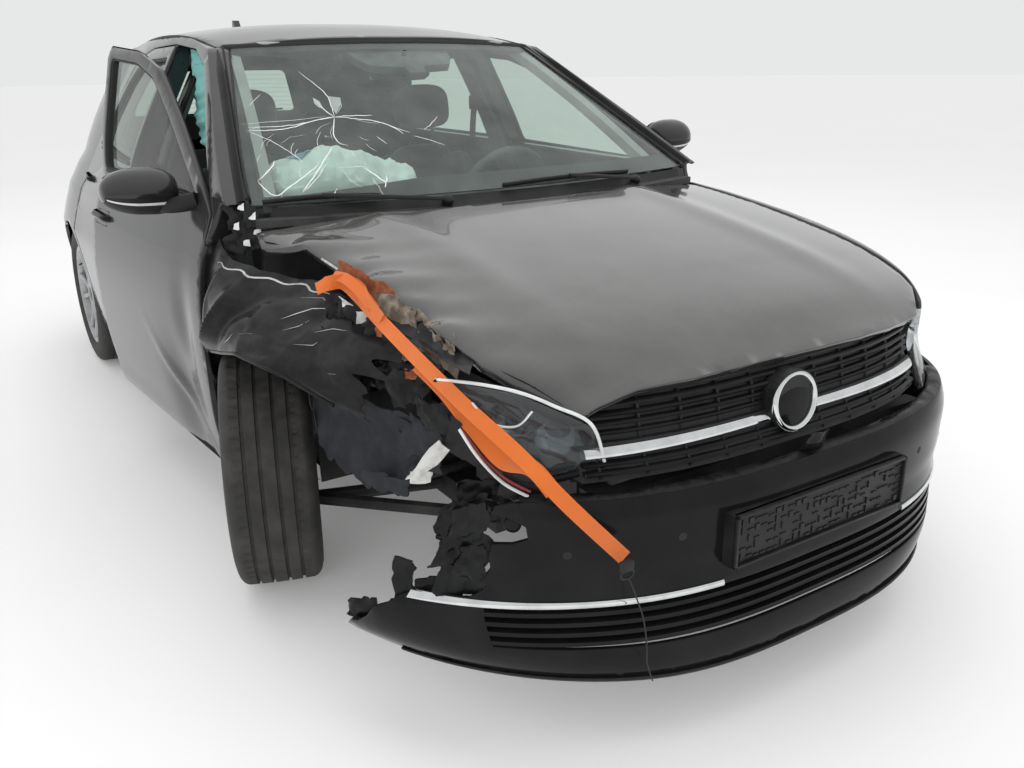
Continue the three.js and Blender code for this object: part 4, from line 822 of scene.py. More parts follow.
SIDE = [(-905, 176), (-905, 229), (-843, 234), (1000, 234)]
SIDE += [(REAR_AXLE + 373 * math.cos(a), TYRE_R + 373 * math.sin(a))
         for a in [math.radians(d) for d in (164, 158, 150, 142, 134, 126)]]
SIDE += [(1171, 655), (1171, 987), (1065, 1144), (934, 1290), (802, 1358), (560, 1390), (215, 1397),
         (205, 1396),
         (-61, 1378), (-232, 1327), (-484, 1171), (-798, 967), (-829, 890), (-836, 960), (-845, 996)]
SIDE += [(-884, 993), (-760, 1063), (-640, 1131), (-520, 1199), (-400, 1267), (-280, 1335), (-205, 1377)]
SIDE += [(-150, roof_edge_z(-150) + 2)]
SIDE += [(y, roof_edge_z(y) + 2) for y in (50, 300, 600, 900, 1200, 1450, 1650)]
SIDE += [(rear_edge(z), z) for z in (1335, 1300, 1220, 1120, 1010, 960, 933)]
SIDE += [(1880, 933), (1757, 908), (1767, 742), (1900, 712), (rear_edge(712), 712), (rear_edge(634), 634)]
ARCH_START = math.acos((634 - TYRE_R) / ARCH_R)
SIDE += [(REAR_AXLE + ARCH_R * math.sin(a), TYRE_R + ARCH_R * math.cos(a))
         for a in [lerp(ARCH_START, -1.98, i / 26) for i in range(27)]]


def side_place(sign, inset=0):
    return lambda y, z: (sign * (skin_x(y, z) - inset + LIFT), y, z)


def mirrored_name(sign):
    return "left" if sign > 0 else "right"


def wall(name, outline, place_of, depths, look, body, sharp=40):
    """The edge of a thick panel: a band round an outline, between depths below the skin."""
    loop = resample(list(outline), 30)
    verts = [mm(*place_of(d)(a, b)) for a, b in loop for d in depths]
    n, m = len(loop), len(depths)
    faces = [(i * m + j, (i + 1) % n * m + j, (i + 1) % n * m + j + 1, i * m + j + 1) for i in range(n)
             for j in range(m - 1)]
    piece = make(name, verts, faces, look, body, sharp=sharp)
    tidy_normals(piece)
    return piece


TYRE_HALF_WIDTH = 112
RIGHT_STEER = math.radians(-19)
RIGHT_HUB = Vector((-790, -1000, TYRE_R))
RIGHT_AXLE = Vector((math.cos(RIGHT_STEER), math.sin(RIGHT_STEER), 0))


def clear_of_wheel(piece, turns=(0.0,), gap=16):
    """Opens a crushed panel where the right wheel stands in it; turns are the panel's swings on its hinge."""
    import bmesh
    bm = bmesh.new()
    bm.from_mesh(piece.data)
    for turn in turns:
        swing = Matrix.Translation((-HINGE_X, HINGE_Y[0], 0)) @ Matrix.Rotation(turn, 4,
                "Z") @ Matrix.Translation(
            (HINGE_X, -HINGE_Y[0], 0))
        back = swing.inverted()

        def depths(vert):
            rel = swing @ (vert.co * 1000) - RIGHT_HUB
            along = rel.dot(RIGHT_AXLE)
            across = rel - RIGHT_AXLE * along
            return along, across, min(TYRE_HALF_WIDTH + gap - abs(along), TYRE_R + gap - across.length)

        inside = {vert for vert in bm.verts if depths(vert)[2] > 0}
        bmesh.ops.delete(bm, geom=[f for f in bm.faces if all(v in inside for v in f.verts)],
                         context="FACES")
        for vert in bm.verts:
            along, across, deep = depths(vert)
            if deep <= 0:
                continue
            if TYRE_HALF_WIDTH + gap - abs(along) < TYRE_R + gap - across.length:
                along = math.copysign(TYRE_HALF_WIDTH + gap, along)
            else:
                across = across.normalized() * (TYRE_R + gap)
            vert.co = (back @ (RIGHT_HUB + RIGHT_AXLE * along + across)) * 0.001
    loose = [v for v in bm.verts if not v.link_faces]
    bmesh.ops.delete(bm, geom=loose, context="VERTS")
    bm.to_mesh(piece.data)
    bm.free()


PILLAR_B = [(150, 240), (150, 985), (178, 1378), (255, 1378), (262, 985), (262, 240)]
for sign in (1, -1):
    tag = mirrored_name(sign)

    def sunk(inset, sign=sign):
        return side_place(sign, inset)

    skin = panel(f"side_skin_{tag}", SIDE, sunk(0), paint, "body", (sign, 0, 0), step=24, roll=3, hem=14)
    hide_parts(f"body_side_{tag}")
    edge = wall(f"side_edge_{tag}", grown(SIDE, -1.5), sunk, (3, 24, 48, 70), paint, "body")
    inner = panel(f"side_inner_{tag}", grown(SIDE, -1), sunk(72), paint_dull, "body", (-sign, 0, 0),
                  step=40, roll=3, hem=8)
    # The band between the wheelhouse and the side's inner wall
    turns = [lerp(-1.58, 1.58, i / 40) for i in range(41)]
    verts = []
    for a in turns:
        y, z = REAR_AXLE + 350 * math.sin(a), TYRE_R + 350 * math.cos(a)
        verts += [mm(sign * lerp(732, skin_x(y, z) - 40, t / 3), y, z) for t in range(4)]
    faces = [(4 * i + j, 4 * i + 4 + j, 4 * i + 5 + j, 4 * i + 1 + j) for i in range(40) for j in range(3)]
    make(f"wheelhouse_{tag}_band", verts, faces, plastic, "body")
    if sign < 0:
        for piece in (skin, edge, inner):
            clear_of_wheel(piece)
    panel(f"pillar_{tag}_outer", PILLAR_B, sunk(96), paint_dull, "body", (sign, 0, 0), step=40, roll=4,
          hem=10)
    panel(f"pillar_{tag}_inner", PILLAR_B, sunk(124), trim, "body", (-sign, 0, 0), step=40, roll=6, hem=10)
    wall(f"pillar_{tag}_edge", grown(PILLAR_B, -2), sunk, (99, 110, 121), trim, "body")

# Doors: (outline, window, body, hinge)
HUNG = Matrix.Translation((-HINGE_X, HINGE_Y[0], 0)) @ Matrix.Rotation(AJAR, 4, "Z") @ Matrix.Translation(
    (HINGE_X, -HINGE_Y[0], 0))


def bent(x, y, z):
    """The right front door, with its window frame bent outwards, as it hangs ajar."""
    rise = clamp((z - 960) / 400)
    back = clamp((y + 750) / 950)
    x -= FRAME_BEND * rise * math.sqrt(back)
    v = HUNG @ Vector((x, y, z))
    return v.x, v.y, v.z


def door_dents(y, z):
    """Creases and hollows pushed into the right front door."""
    d = -24 * math.exp(-((y + 600) / 120) ** 2 - ((z - 420) / 150) ** 2)
    d -= 10 * math.exp(-((y + 690) / 60) ** 2 - ((z - 640) / 120) ** 2)
    line = (z - (300 + 0.75 * (y + 700))) / 22
    d += 9 * math.exp(-line * line) * math.exp(-((y + 560) / 150) ** 2)
    return d


def door(name, body, outer, window, place, sign, shape=None):
    facing = (sign, 0, 0)
    panel(f"{name}_skin", grown(outer, 0.4), place(-LIFT), paint, body, facing,
          holes=[rounded(window, 26)], step=20,
          roll=3, hem=16, shape=shape)
    ring = rounded(grown(window, 3), 26)
    panel(f"{name}_window_seal", ring, place(3), seal, body, facing,
          holes=[rounded(grown(window, -9), 20)], step=24,
          roll=2, hem=12)
    panel(f"{name}_card", grown(outer, -10), place(82), trim, body, (-sign, 0, 0),
          holes=[rounded(grown(window, 6), 26)],
          step=40, roll=6, hem=10)


def plain_place(sign):
    return lambda inset: (lambda y, z: (sign * (skin_x(y, z) - inset), y, z))


def bent_place(inset):
    return lambda y, z: bent(-(skin_x(y, z) - inset), y, z)


door("door_fl", "door_front_left", FRONT_DOOR, FRONT_WINDOW, plain_place(1), 1)
door("door_rl", "door_rear_left", REAR_DOOR, REAR_WINDOW, plain_place(1), 1)
door("door_rr", "door_rear_right", REAR_DOOR, REAR_WINDOW, plain_place(-1), -1)
# The right front door is built up anew: thin frame round the window, full depth below the waist
fr_body = "door_front_right"
fr_skin = panel("door_fr_skin", grown(FRONT_DOOR, 0.4), bent_place(-LIFT), paint, fr_body, (-1, 0, 0),
                holes=[rounded(FRONT_WINDOW, 26)], step=20, roll=3, hem=16, shape=door_dents)
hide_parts("door_front_right")
panel("door_fr_window_seal", rounded(grown(FRONT_WINDOW, 3), 26), bent_place(3), seal, fr_body, (-1, 0, 0),
      holes=[rounded(grown(FRONT_WINDOW, -7), 20)], step=24, roll=2, hem=16)
fr_frame = panel("door_fr_frame", grown(FRONT_DOOR, -10), bent_place(26), plastic, fr_body, (1, 0, 0),
                 holes=[rounded(FRONT_WINDOW, 24)], step=30, roll=2, hem=24)
LOWER = [(-835, 240), (-838, 700), (-825, 880), (-800, 955), (205, 965), (205, 240)]
fr_card = panel("door_fr_card", grown(LOWER, -12), bent_place(76), trim, fr_body, (1, 0, 0), step=40,
                roll=6, hem=48)
fr_edge = wall("door_fr_edge", grown(LOWER, -3), bent_place, (3, 26, 50, 74), paint, fr_body)
for piece in (fr_frame, fr_card, fr_edge):
    clear_of_wheel(piece, (0.0, -AJAR / 2, -AJAR, 0.1))
for name, node, body, window, place in (
        ("pane_fl", "glass_front_left", "door_front_left", FRONT_WINDOW, plain_place(1)),
        ("pane_rl", "glass_rear_left", "door_rear_left", REAR_WINDOW, plain_place(1)),
        ("pane_rr", "glass_rear_right", "door_rear_right", REAR_WINDOW, plain_place(-1)),
        ("pane_fr", "glass_front_right", "door_front_right", FRONT_WINDOW, bent_place)):
    pane = panel(name, window, place(18), glass_side, body, (1 if name.endswith("l") else -1, 0, 0),
                 step=40, roll=0.5, hem=4)
    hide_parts(node)

# Roof
def roof_front(x):
    return -262 + 78 * (x / roof_half(-200)) ** 2


ROOF = [(x, roof_front(x)) for x in [lerp(-582, 582, i / 12) for i in range(13)]]
ROOF += [(roof_half(y) - 1, y) for y in (100, 400, 700, 1000, 1200, 1400, 1600, 1785)]
ROOF += [(-roof_half(y) + 1, y) for y in (1785, 1600, 1400, 1200, 1000, 700, 400, 100)]
panel("roof_skin", ROOF, lambda x, y: (x, y, roof_z(x, y) + LIFT), paint, "body", (0, 0, 1), step=36,
      roll=3, hem=14)

# Bonnet: the right edge is torn and curled
BONNET_TORN = [
    (-765, -1000), (-735, -1060), (-700, -1120), (-684, -1210), (-668, -1320), (-662, -1410),
    (-655, -1500), (-649, -1600),
    (-643, -1700), (-626, -1840), (-595, -1895), (-560, -1945), (-528, -1985), (-510, -2008)]


def bonnet_edge_y(k, rear):
    return (-1062 + 130 * k * k) if rear else (-2034 + 60 * abs(k) ** 3)


BONNET = []
for i in range(9):
    k = lerp(-0.985, 1, i / 8)
    y = bonnet_edge_y(k, True)
    BONNET.append((k * (smooth(BONNET_EDGE, y) - 1), y))
for i in range(1, 12):
    y = lerp(-932, -1974, i / 12)
    BONNET.append((smooth(BONNET_EDGE, y) - 1, y))
for i in range(9):
    k = lerp(1, -0.98, i / 8)
    y = bonnet_edge_y(k, False)
    x = k * (smooth(BONNET_EDGE, y) - 1)
    if x > -505:
        BONNET.append((x, y))
BONNET += list(reversed(BONNET_TORN))


def torn_distance(x, y):
    rows = sorted((b, a) for a, b in BONNET_TORN)
    return x - along(rows, y)


def bonnet_shape(x, y):
    d = torn_distance(x, y)
    if d > 260:
        return 0
    near = math.exp(-max(0, d) / 70)
    fold = 9 * math.sin(y * 0.021 + 0.6) + 5 * math.sin(y * 0.047 + x * 0.03)
    curl = -14 * math.exp(-max(0, d) / 16)
    rough = 6 * noise.noise(Vector((x * 0.02, y * 0.02, 1)))
    return near * (fold + rough) + curl


bonnet = panel("bonnet_skin", BONNET, lambda x, y: (x, y, bonnet_z(x, y)), bonnet_paint_dust_and_sheen, "body", (0, 0, 1),
               step=20, roll=2.5,
               hem=16, shape=bonnet_shape)
panel("bonnet_frame", grown(BONNET, -14), lambda x, y: (x, y, bonnet_z(x, y) - 18), paint_dull, "body",
      (0, 0, -1), step=34,
      roll=2, hem=4, shape=lambda x, y: 7 * math.sin(x * 0.02) * math.sin(y * 0.018))
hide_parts("bonnet")

# Left wing, rolled over to the bonnet's edge
def shoulder(y):
    x = smooth(BONNET_EDGE, y) + 5
    return bonnet_z(x, y) + 2 - 62


def wing_place(y, b):
    edge_x = smooth(BONNET_EDGE, y) + 5
    edge_z = bonnet_z(edge_x, y) + 2
    low = edge_z - 62
    if b <= low:
        return skin_x(y, b), y, b
    t = clamp((b - low) / 110)
    x0 = skin_x(y, low)
    cx = max(edge_x + 10, x0 - 6)
    return ((1 - t) ** 2 * x0 + 2 * t * (1 - t) * cx + t * t * edge_x, y,
            (1 - t) ** 2 * low + 2 * t * (1 - t) * (edge_z - 6) + t * t * edge_z)


WING_L = [(-843, 235), (-843, 700), (-843, shoulder(-843) + 108)]
WING_L += [(y, shoulder(y) + 108) for y in (-950, -1100, -1250, -1400, -1540, -1680, -1800, -1900, -1950)]
WING_L += [(-1950, 760), (-1850, 796), (-1700, 842), (-1528, 868), (-1700, 707), (-1850, 620),
           (-1950, 582), (-1960, 563),
           (-1640, 563)]
START = math.acos((563 - TYRE_R) / ARCH_R)
WING_L += [(FRONT_AXLE + ARCH_R * math.sin(a), TYRE_R + ARCH_R * math.cos(a))
           for a in [lerp(-START, 1.81, i / 24) for i in range(25)]]
wing_left = panel("wing_left_skin", WING_L, wing_place, paint, "body", (1, 0, 0.3), step=22, roll=3, hem=14)
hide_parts("wing_left")

# Tailgate
def tail_place(inset):
    return lambda x, z: (x, tail_skin(x, z, inset), z)


def gate_shape(x, z):
    return 5 * math.exp(-((z - 870) / 14) ** 2) * clamp((560 - abs(x)) / 60)


PLATE_RECESS = [(-265, 700), (265, 700), (265, 830), (-265, 830)]
panel("tailgate_skin", grown(TAILGATE, 0.4), lambda x, z: (x, tail_skin(x, z) + LIFT, z), paint,
      "tailgate", (0, 1, 0.2),
      holes=[rounded(REAR_GLASS, 30), rounded(PLATE_RECESS, 18)], step=24, roll=3, hem=20, shape=gate_shape)
pane = panel("pane_tailgate", REAR_GLASS, tail_place(20), glass_side, "tailgate", (0, 1, 0.3), step=50,
             roll=0.5, hem=4)
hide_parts("glass_tailgate")

# Rear bumper
def rear_wrap(k, z):
    x, y, z = wrap(k / WRAP_SCALE, z, rear=True)
    return x, y, z


def rear_k(x_target, z):
    low, high = 0.0, 0.9
    for _ in range(30):
        mid = (low + high) / 2
        if abs(wrap(mid, z, rear=True)[0]) < x_target:
            low = mid
        else:
            high = mid
    return low * WRAP_SCALE


def arch_k(z, radius=ARCH_R):
    """Where the rear arch crosses the bumper at a height."""
    dy = math.sqrt(max(0, radius * radius - (z - TYRE_R) ** 2))
    y = REAR_AXLE + dy
    low, high = 0.0, 1.0
    for _ in range(30):
        mid = (low + high) / 2
        if wrap(mid, z, rear=True)[1] > y:
            low = mid
        else:
            high = mid
    return low * WRAP_SCALE


heights = [188, 230, 290, 350, 420, 490, 560, 620]
edge = [(arch_k(z), z) for z in heights]
REAR_B = [(-a, z) for a, z in edge] + [(a, z) for a, z in reversed(edge)]
rear_bumper = panel("rear_bumper_skin", REAR_B, rear_wrap, paint, "body", (0, 1, 0), step=28, roll=3,
                    hem=14)
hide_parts("rear_bumper")

# More mesh helpers
def solidify(piece, thick):
    """Gives an open sheet a back and a rim."""
    mesh = piece.data
    mesh.update()
    n = len(mesh.vertices)
    verts = [v.co.copy() for v in mesh.vertices]
    verts += [v.co - v.normal * thick for v in mesh.vertices]
    faces = [tuple(p.vertices) for p in mesh.polygons]
    count = {}
    for face in faces:
        for a, b in zip(face, face[1:] + face[:1]):
            key = (min(a, b), max(a, b))
            count[key] = None if key in count else (a, b)
    faces += [tuple(v + n for v in reversed(face)) for face in faces]
    faces += [(e[1], e[0], e[0] + n, e[1] + n) for e in count.values() if e]
    mesh.clear_geometry()
    mesh.from_pydata(verts, [], faces)
    mesh.update()
    mesh.shade_smooth()
    mesh.set_sharp_from_angle(angle=math.radians(42))
    return piece


def tear(q):
    return 1.5 * noise.noise(q * 0.8) + 0.7 * abs(noise.noise(q * 1.9)) + 0.2 * noise.noise(q * 4)


def shard(name, corners, look, nu=10, nv=8, rough=10, jag=8, seed=0, thick=2.2, body="body", grain=0.03,
          bow=0):
    """A torn, crumpled sheet between four corners in millimetres."""
    a, b, c, d = (Vector(p) for p in corners)
    n = (b - a).cross(d - a).normalized()
    run, rise = (b - a).normalized(), (d - a).normalized()

    def at(u, v):
        edge = max(abs(2 * u - 1), abs(2 * v - 1)) ** 6
        p = a * (1 - u) * (1 - v) + b * u * (1 - v) + c * u * v + d * (1 - u) * v
        q = p * grain + Vector((seed * 3.1, seed * 7.7, seed))
        p = p + n * (rough * noise.noise(q) + 0.5 * rough * noise.noise(q * 2.7) +
                     bow * math.sin(PI * u) * math.sin(PI * v))
        p = p + run * (jag * edge * tear(q + Vector((9, 0, 0))))
        p = p + rise * (jag * edge * tear(q + Vector((0, 9, 0))))
        return p * 0.001

    return solidify(grid(name, nu, nv, at, look, body), thick * 0.001)


def ribbon(name, points, width, look, body, place, lift=0.8, taper=True):
    """A thin strip that lies on a surface: points are the surface's own two values."""
    verts, faces = [], []
    n = len(points)
    spots = [Vector(place(*p)) for p in points]
    for i, p in enumerate(spots):
        t = (spots[min(n - 1, i + 1)] - spots[max(0, i - 1)]).normalized()
        a, b = points[i]
        e = 0.004 if abs(a) < 3 and abs(b) < 3 else 2
        normal = (Vector(place(a + e, b)) - p).cross(Vector(place(a, b + e)) - p).normalized()
        side = normal.cross(t).normalized()
        k = (1 - abs(2 * i / (n - 1) - 1) ** 3) if taper else 1
        half = width * (0.15 + 0.85 * k) / 2
        verts += [(p + side * half + normal * lift) * 0.001, (p - side * half + normal * lift) * 0.001]
        if i:
            faces.append((2 * i - 2, 2 * i - 1, 2 * i + 1, 2 * i))
    return make(name, verts, faces, look, body)


def rows_grid(name, rows, look, body, close_u=False, close_v=False, sharp=None, caps=False, thick=0):
    """A sheet through rows of points in metres."""
    nu, nv = len(rows), len(rows[0])
    verts = [p for row in rows for p in row]
    faces = []
    for i in range(nu if close_u else nu - 1):
        for j in range(nv if close_v else nv - 1):
            a, b = i, (i + 1) % nu
            c, d = j, (j + 1) % nv
            faces.append((a * nv + c, b * nv + c, b * nv + d, a * nv + d))
    if caps:
        faces.append(tuple(range(nv - 1, -1, -1)))
        faces.append(tuple((nu - 1) * nv + j for j in range(nv)))
    piece = make(name, verts, faces, look, body, sharp=sharp)
    if thick:
        solidify(piece, thick)
    return piece


def blocks(name, boxes, look, body):
    """Small raised blocks on a forward face, as one piece: (x0, z0, x1, z1, y of foot, y of top)."""
    verts, faces = [], []
    for x0, z0, x1, z1, foot, top in boxes:
        cut = min(0.8, (x1 - x0) / 4, (z1 - z0) / 4)
        n = len(verts)
        for y, c in ((foot, 0), (top + cut, 0), (top, cut)):
            verts += [mm(x, y, z) for x, z in ((x0 + c, z0 + c), (x1 - c, z0 + c), (x1 - c, z1 - c),
                                               (x0 + c, z1 - c))]
        for k in (0, 4):
            faces += [(n + k + i, n + k + (i + 1) % 4, n + k + 4 + (i + 1) % 4, n + k + 4 + i)
                      for i in range(4)]
        faces += [(n + 8, n + 9, n + 10, n + 11), (n + 3, n + 2, n + 1, n)]
    return make(name, verts, faces, look, body, sharp=30)


# Front bumper
def front_foot(k):
    return 150 + 60 * abs(k) ** 1.5


def bumper_place(inset=0):
    def place(a, z):
        x, y, z = wrap(a / WRAP_SCALE, z, inset=inset)
        out = clamp((-450 - x) / 330) * clamp((450 - z) / 120)
        return x - 85 * out * out + 12, y - 28, z
    return place


def front_arch_k(z):
    dy = math.sqrt(max(0, ARCH_R ** 2 - (z - TYRE_R) ** 2))
    return wrap_k(FRONT_AXLE - dy, z)


TORN = [
    (-0.300, 560), (-0.333, 549), (-0.341, 533), (-0.318, 528), (-0.298, 512), (-0.297, 486), (-0.318, 474),
    (-0.345, 470), (-0.352, 440), (-0.349, 418), (-0.357, 396), (-0.353, 371), (-0.367, 356), (-0.400, 353),
    (-0.430, 357), (-0.452, 344), (-0.468, 318), (-0.492, 300), (-0.512, 268), (-0.538, 240), (-0.560, 226),
    (-0.586, 198), (-0.581, 184), (-0.560, 190), (-0.552, 177), (-0.532, 181)]
SKIN_B = [(front_arch_k(z) * WRAP_SCALE, z) for z in (560, 500, 420, 350, 290, 230)]
SKIN_B = [(k * WRAP_SCALE, 560) for k in [lerp(-0.300, front_arch_k(560), i / 30)
                                    for i in range(31)]] + SKIN_B[1:]
SKIN_B += [(k * WRAP_SCALE, front_foot(k)) for k in [lerp(front_arch_k(230) - 0.02, -0.52, i / 50)
                                               for i in range(51)]]
SKIN_B += [(k * WRAP_SCALE, z) for k, z in reversed(TORN)]
MOUTH_K = 0.345


def mouth_hole():
    top = [(k * WRAP_SCALE, 338 + 12 * k * k) for k in [lerp(-MOUTH_K, MOUTH_K, i / 30) for i in range(31)]]
    low = [(k * WRAP_SCALE, 240 + 70 * abs(k) ** 2) for k in [lerp(MOUTH_K, -MOUTH_K, i / 30)
            for i in range(31)]]
    return top + low


def bumper_relief(a, z):
    """The step under the bright strip and a soft fold above it."""
    return 3 * math.exp(-((z - 520) / 34) ** 2) - 2.5 * math.exp(-((z - 395) / 18) ** 2)


bumper = panel("front_bumper_skin", SKIN_B, bumper_place(), gloss_plastic, "body", (0, -1, 0),
               holes=[mouth_hole()],
               step=20, roll=2.5, hem=10, shape=bumper_relief)
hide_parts("front_bumper")


def bumper_strip(name, k0, k1, z0, z1, look, lift, depth, n=60, body="body"):
    """A bar along the bumper: heights z0..z1 are functions of k."""
    rows = []
    for i in range(n + 1):
        k = lerp(k0, k1, i / n)
        low, high = z0(k), z1(k)
        p = bumper_place()
        ring = []
        for z, out in ((low, -depth), (low, lift * 0.6), (lerp(low, high, 0.3), lift),
                       (lerp(low, high, 0.7), lift),
                       (high, lift * 0.6), (high, -depth)):
            x, y, zz = p(k * WRAP_SCALE, z)
            q = p(k * WRAP_SCALE + 3, z)
            t = Vector((q[0] - x, q[1] - y, 0)).normalized()
            n_out = Vector((t.y, -t.x, 0))
            if n_out.y > 0 and abs(k) < 0.3:
                n_out = -n_out
            if n_out.dot(Vector((x, y + 1100, 0))) < 0:
                n_out = -n_out
            ring.append((Vector((x, y, zz)) + n_out * out) * 0.001)
        rows.append(ring)
    return rows_grid(name, rows, look, body, close_v=True, caps=True, sharp=45)


bumper_strip("bumper_trim_right", -0.443, -0.076, lambda k: 338 + 14 * k * k, lambda k: 351 + 16 * k * k,
             chrome, 5, 5)
bumper_strip("bumper_trim_left", 0.093, 0.46, lambda k: 338 + 14 * k * k, lambda k: 351 + 16 * k * k,
             chrome, 5, 5)
for i, z in enumerate((250, 272, 294, 316)):
    span = MOUTH_K + 0.004
    bumper_strip(f"bumper_blade_{i + 1}", -span, span, lambda k, z=z: z + 30 * k * k, lambda k,
                 z=z: z + 9 + 30 * k * k,
                 gloss_plastic, -1.5, 26)
rows = []
for i in range(41):
    k = lerp(-MOUTH_K - 0.01, MOUTH_K + 0.01, i / 40)
    rows.append([mm(*bumper_place(36)(k * WRAP_SCALE, z)) for z in (228, 290, 350)])
rows_grid("bumper_duct", rows, seal, "body")
# Bright edge trim under the plate and chin lip
bumper_strip("bumper_lip", -0.5, 0.45, lambda k: front_foot(k) - 3, lambda k: front_foot(k) + 9, plastic,
             9, 3)

# Rough upper edge of the bumper, where it has come off the grille
rows = []
for i in range(81):
    k = lerp(-0.30, 0.34, i / 80)
    ring = []
    for j in range(5):
        x, y, z = bumper_place()(k * WRAP_SCALE, 560)
        wob = noise.noise(Vector((k * 60, j * 1.7, 4)))
        depth = (0, 8, 18, 27, 34)[j]
        out = Vector((x, y + 1100, 0)).normalized()
        ring.append(mm(x - out.x * depth, y - out.y * depth, z + (0, 4, 5, 4, 0)[j] + wob * (0, 3, 5, 5,
                3)[j]))
    rows.append(ring)
rows_grid("bumper_shelf", rows, torn_plastic, "body", thick=0.002)

# Parking sensors, and points on the bumper's face for them and the fog-lamp mount
def on_bumper(k, z, out=0):
    x, y, zz = bumper_place()(k * WRAP_SCALE, z)
    q = bumper_place()(k * WRAP_SCALE + 4, z)
    t = Vector((q[0] - x, q[1] - y, 0)).normalized()
    n_out = Vector((t.y, -t.x, 0))
    if n_out.dot(Vector((x, y + 1100, 0))) < 0:
        n_out = -n_out
    return Vector((x, y, zz)) + n_out * out, n_out, t


def button(name, centre, normal, radius, height, look, body="body", sides=20, dome=0.3):
    """A round boss on a surface, in millimetres."""
    n = Vector(normal).normalized()
    s = n.orthogonal().normalized()
    o = n.cross(s)
    prof = [(1.0, -height), (1.0, height * 0.5), (0.88, height * 0.9), (0.5, height * (1 + dome * 0.6)),
            (0.05, height * (1 + dome))]
    rows = [[(Vector(centre) + (s * math.cos(a) + o * math.sin(a)) * radius * r + n * h) * 0.001
             for a in [2 * PI * j / sides for j in range(sides)]] for r, h in prof]
    return rows_grid(name, rows, look, body, close_v=True, caps=True, sharp=50)


for i, (k, z) in enumerate(((0.262, 430), (0.12, 470), (-0.12, 470), (-0.25, 455))):
    c, n_out, _ = on_bumper(k, z)
    button(f"park_sensor_{i + 1}", c, n_out, 9, 1.6, plastic)
    button(f"park_sensor_ring_{i + 1}", c - n_out * 0.4, n_out, 11.5, 1.0, gloss_plastic)

# Number-plate carrier: a ribbed tray with slots, no plate in it
CARRIER_Y = -2169.5
soft_box("plate_carrier_tray", (-0.260, CARRIER_Y / 1000 - 0.0015, 0.388),
         (0.260, CARRIER_Y / 1000 + 0.012, 0.502), plastic,
         "body", radius=0.004)
for i, (x0, z0, x1, z1) in enumerate(((-260, 388, 260, 394), (-260, 496, 260, 502),
                                      (-260, 388, -253, 502), (253, 388, 260, 502))):
    soft_box(f"plate_frame_{i + 1}", (x0 / 1000, CARRIER_Y / 1000 - 0.0085, z0 / 1000),
             (x1 / 1000, CARRIER_Y / 1000 + 0.002, z1 / 1000), plastic, "body", radius=0.0018)
picks = random.Random(11)
ribs = []
for col in range(26):
    for row in range(5):
        x0 = -246 + col * 19
        z0 = 398 + row * 19.4
        kind = picks.random()
        if kind < 0.30:
            box = (x0 + 2, z0 + 2, x0 + 16, z0 + 6)
        elif kind < 0.52:
            box = (x0 + 3, z0 + 2, x0 + 6, z0 + 17)
        elif kind < 0.74:
            box = (x0 + 1, z0 + 7, x0 + 18, z0 + 10)
        elif kind < 0.86:
            box = (x0 + 3, z0 + 3, x0 + 15, z0 + 15)
        else:
            continue
        ribs.append((*box, CARRIER_Y, CARRIER_Y - 4.5))
blocks("plate_ribs", ribs, plastic, "body")

# Grille, bright bar and the blank badge
def nose_at(x, z, inset=0):
    return x, nose_skin(x, z, inset), z


for i, z in enumerate((584, 600, 656, 674, 692, 710)):
    reach = 500 - (i > 2) * (i - 2) * 6
    rows = []
    for j in range(61):
        x = lerp(-reach, reach, j / 60)
        ring = []
        for dz, inset in ((0, 24), (1, 13), (4.5, 11), (8, 13), (9, 24)):
            px, py, pz = nose_at(x, z + dz, inset)
            ring.append(mm(px, py, pz))
        rows.append(ring)
    rows_grid(f"grille_slat_{i + 1}", rows, gloss_plastic, "body", close_v=True, caps=True, sharp=50)
for i in range(11):
    x = -470 + i * 94
    if abs(x) < 60:
        continue
    rows = [[mm(*nose_at(x + dx, z, inset)) for dx, inset in ((-2, 30), (-2, 16), (2, 16), (2, 30))]
            for z in [lerp(578, 722, j / 8) for j in range(9)]]
    rows_grid(f"grille_post_{i + 1}", rows, plastic, "body", close_v=True, caps=True)
for side in (1, -1):
    rows = []
    for j in range(41):
        x = side * lerp(60, 497, j / 40)
        swell = 1 + 0.18 * (j / 40)
        mid = 632 - 4 * (j / 40)
        ring = [mm(*nose_at(x, mid + dz * swell, inset)) for dz, inset in
                ((-9, 18), (-9, 6), (-6, 3.2), (0, 2), (6, 3.2), (9, 6), (9, 18))]
        rows.append(ring)
    rows_grid(f"grille_bar_{'left' if side > 0 else 'right'}", rows, chrome, "body", close_v=True,
              caps=True, sharp=60)
BADGE = Vector((0, nose_skin(0, 655) - 9, 655))


def lathe(name, centre, axis, profile, look, body, sides=64, sharp=40):
    """A turned piece: profile is (radius, distance along the axis) in millimetres."""
    n = Vector(axis).normalized()
    s = n.orthogonal().normalized()
    o = n.cross(s)
    rows = [[(Vector(centre) + (s * math.cos(a) + o * math.sin(a)) * r + n * h) * 0.001
             for a in [2 * PI * j / sides for j in range(sides)]] for r, h in profile]
    return rows_grid(name, rows, look, body, close_v=True, sharp=sharp)


BADGE_AXIS = (0, -1, 0.12)
lathe("badge_ring", BADGE, BADGE_AXIS, [(67, -8), (67, 3), (64, 7), (60, 9), (55.5, 7), (53, 4), (53, -2),
                                        (67, -8)], chrome,
      "body", 72, 60)
lathe("badge_face", BADGE, BADGE_AXIS, [(57, 0), (50, 1.6), (30, 3.2), (12, 3.8), (0.5, 4)],
      gloss_plastic, "body", 72, 60)
lathe("badge_can", BADGE, BADGE_AXIS, [(66, -6), (66, -44), (58, -48), (1, -48)], plastic, "body", 48)
# Black cup below the badge, left where the bumper has dropped
shard("badge_shroud", [(-34, -2118, 560), (42, -2118, 560), (30, -2140, 606), (-26, -2140, 606)],
      gloss_plastic, 10, 8, 3, 5, 21,
      bow=10)
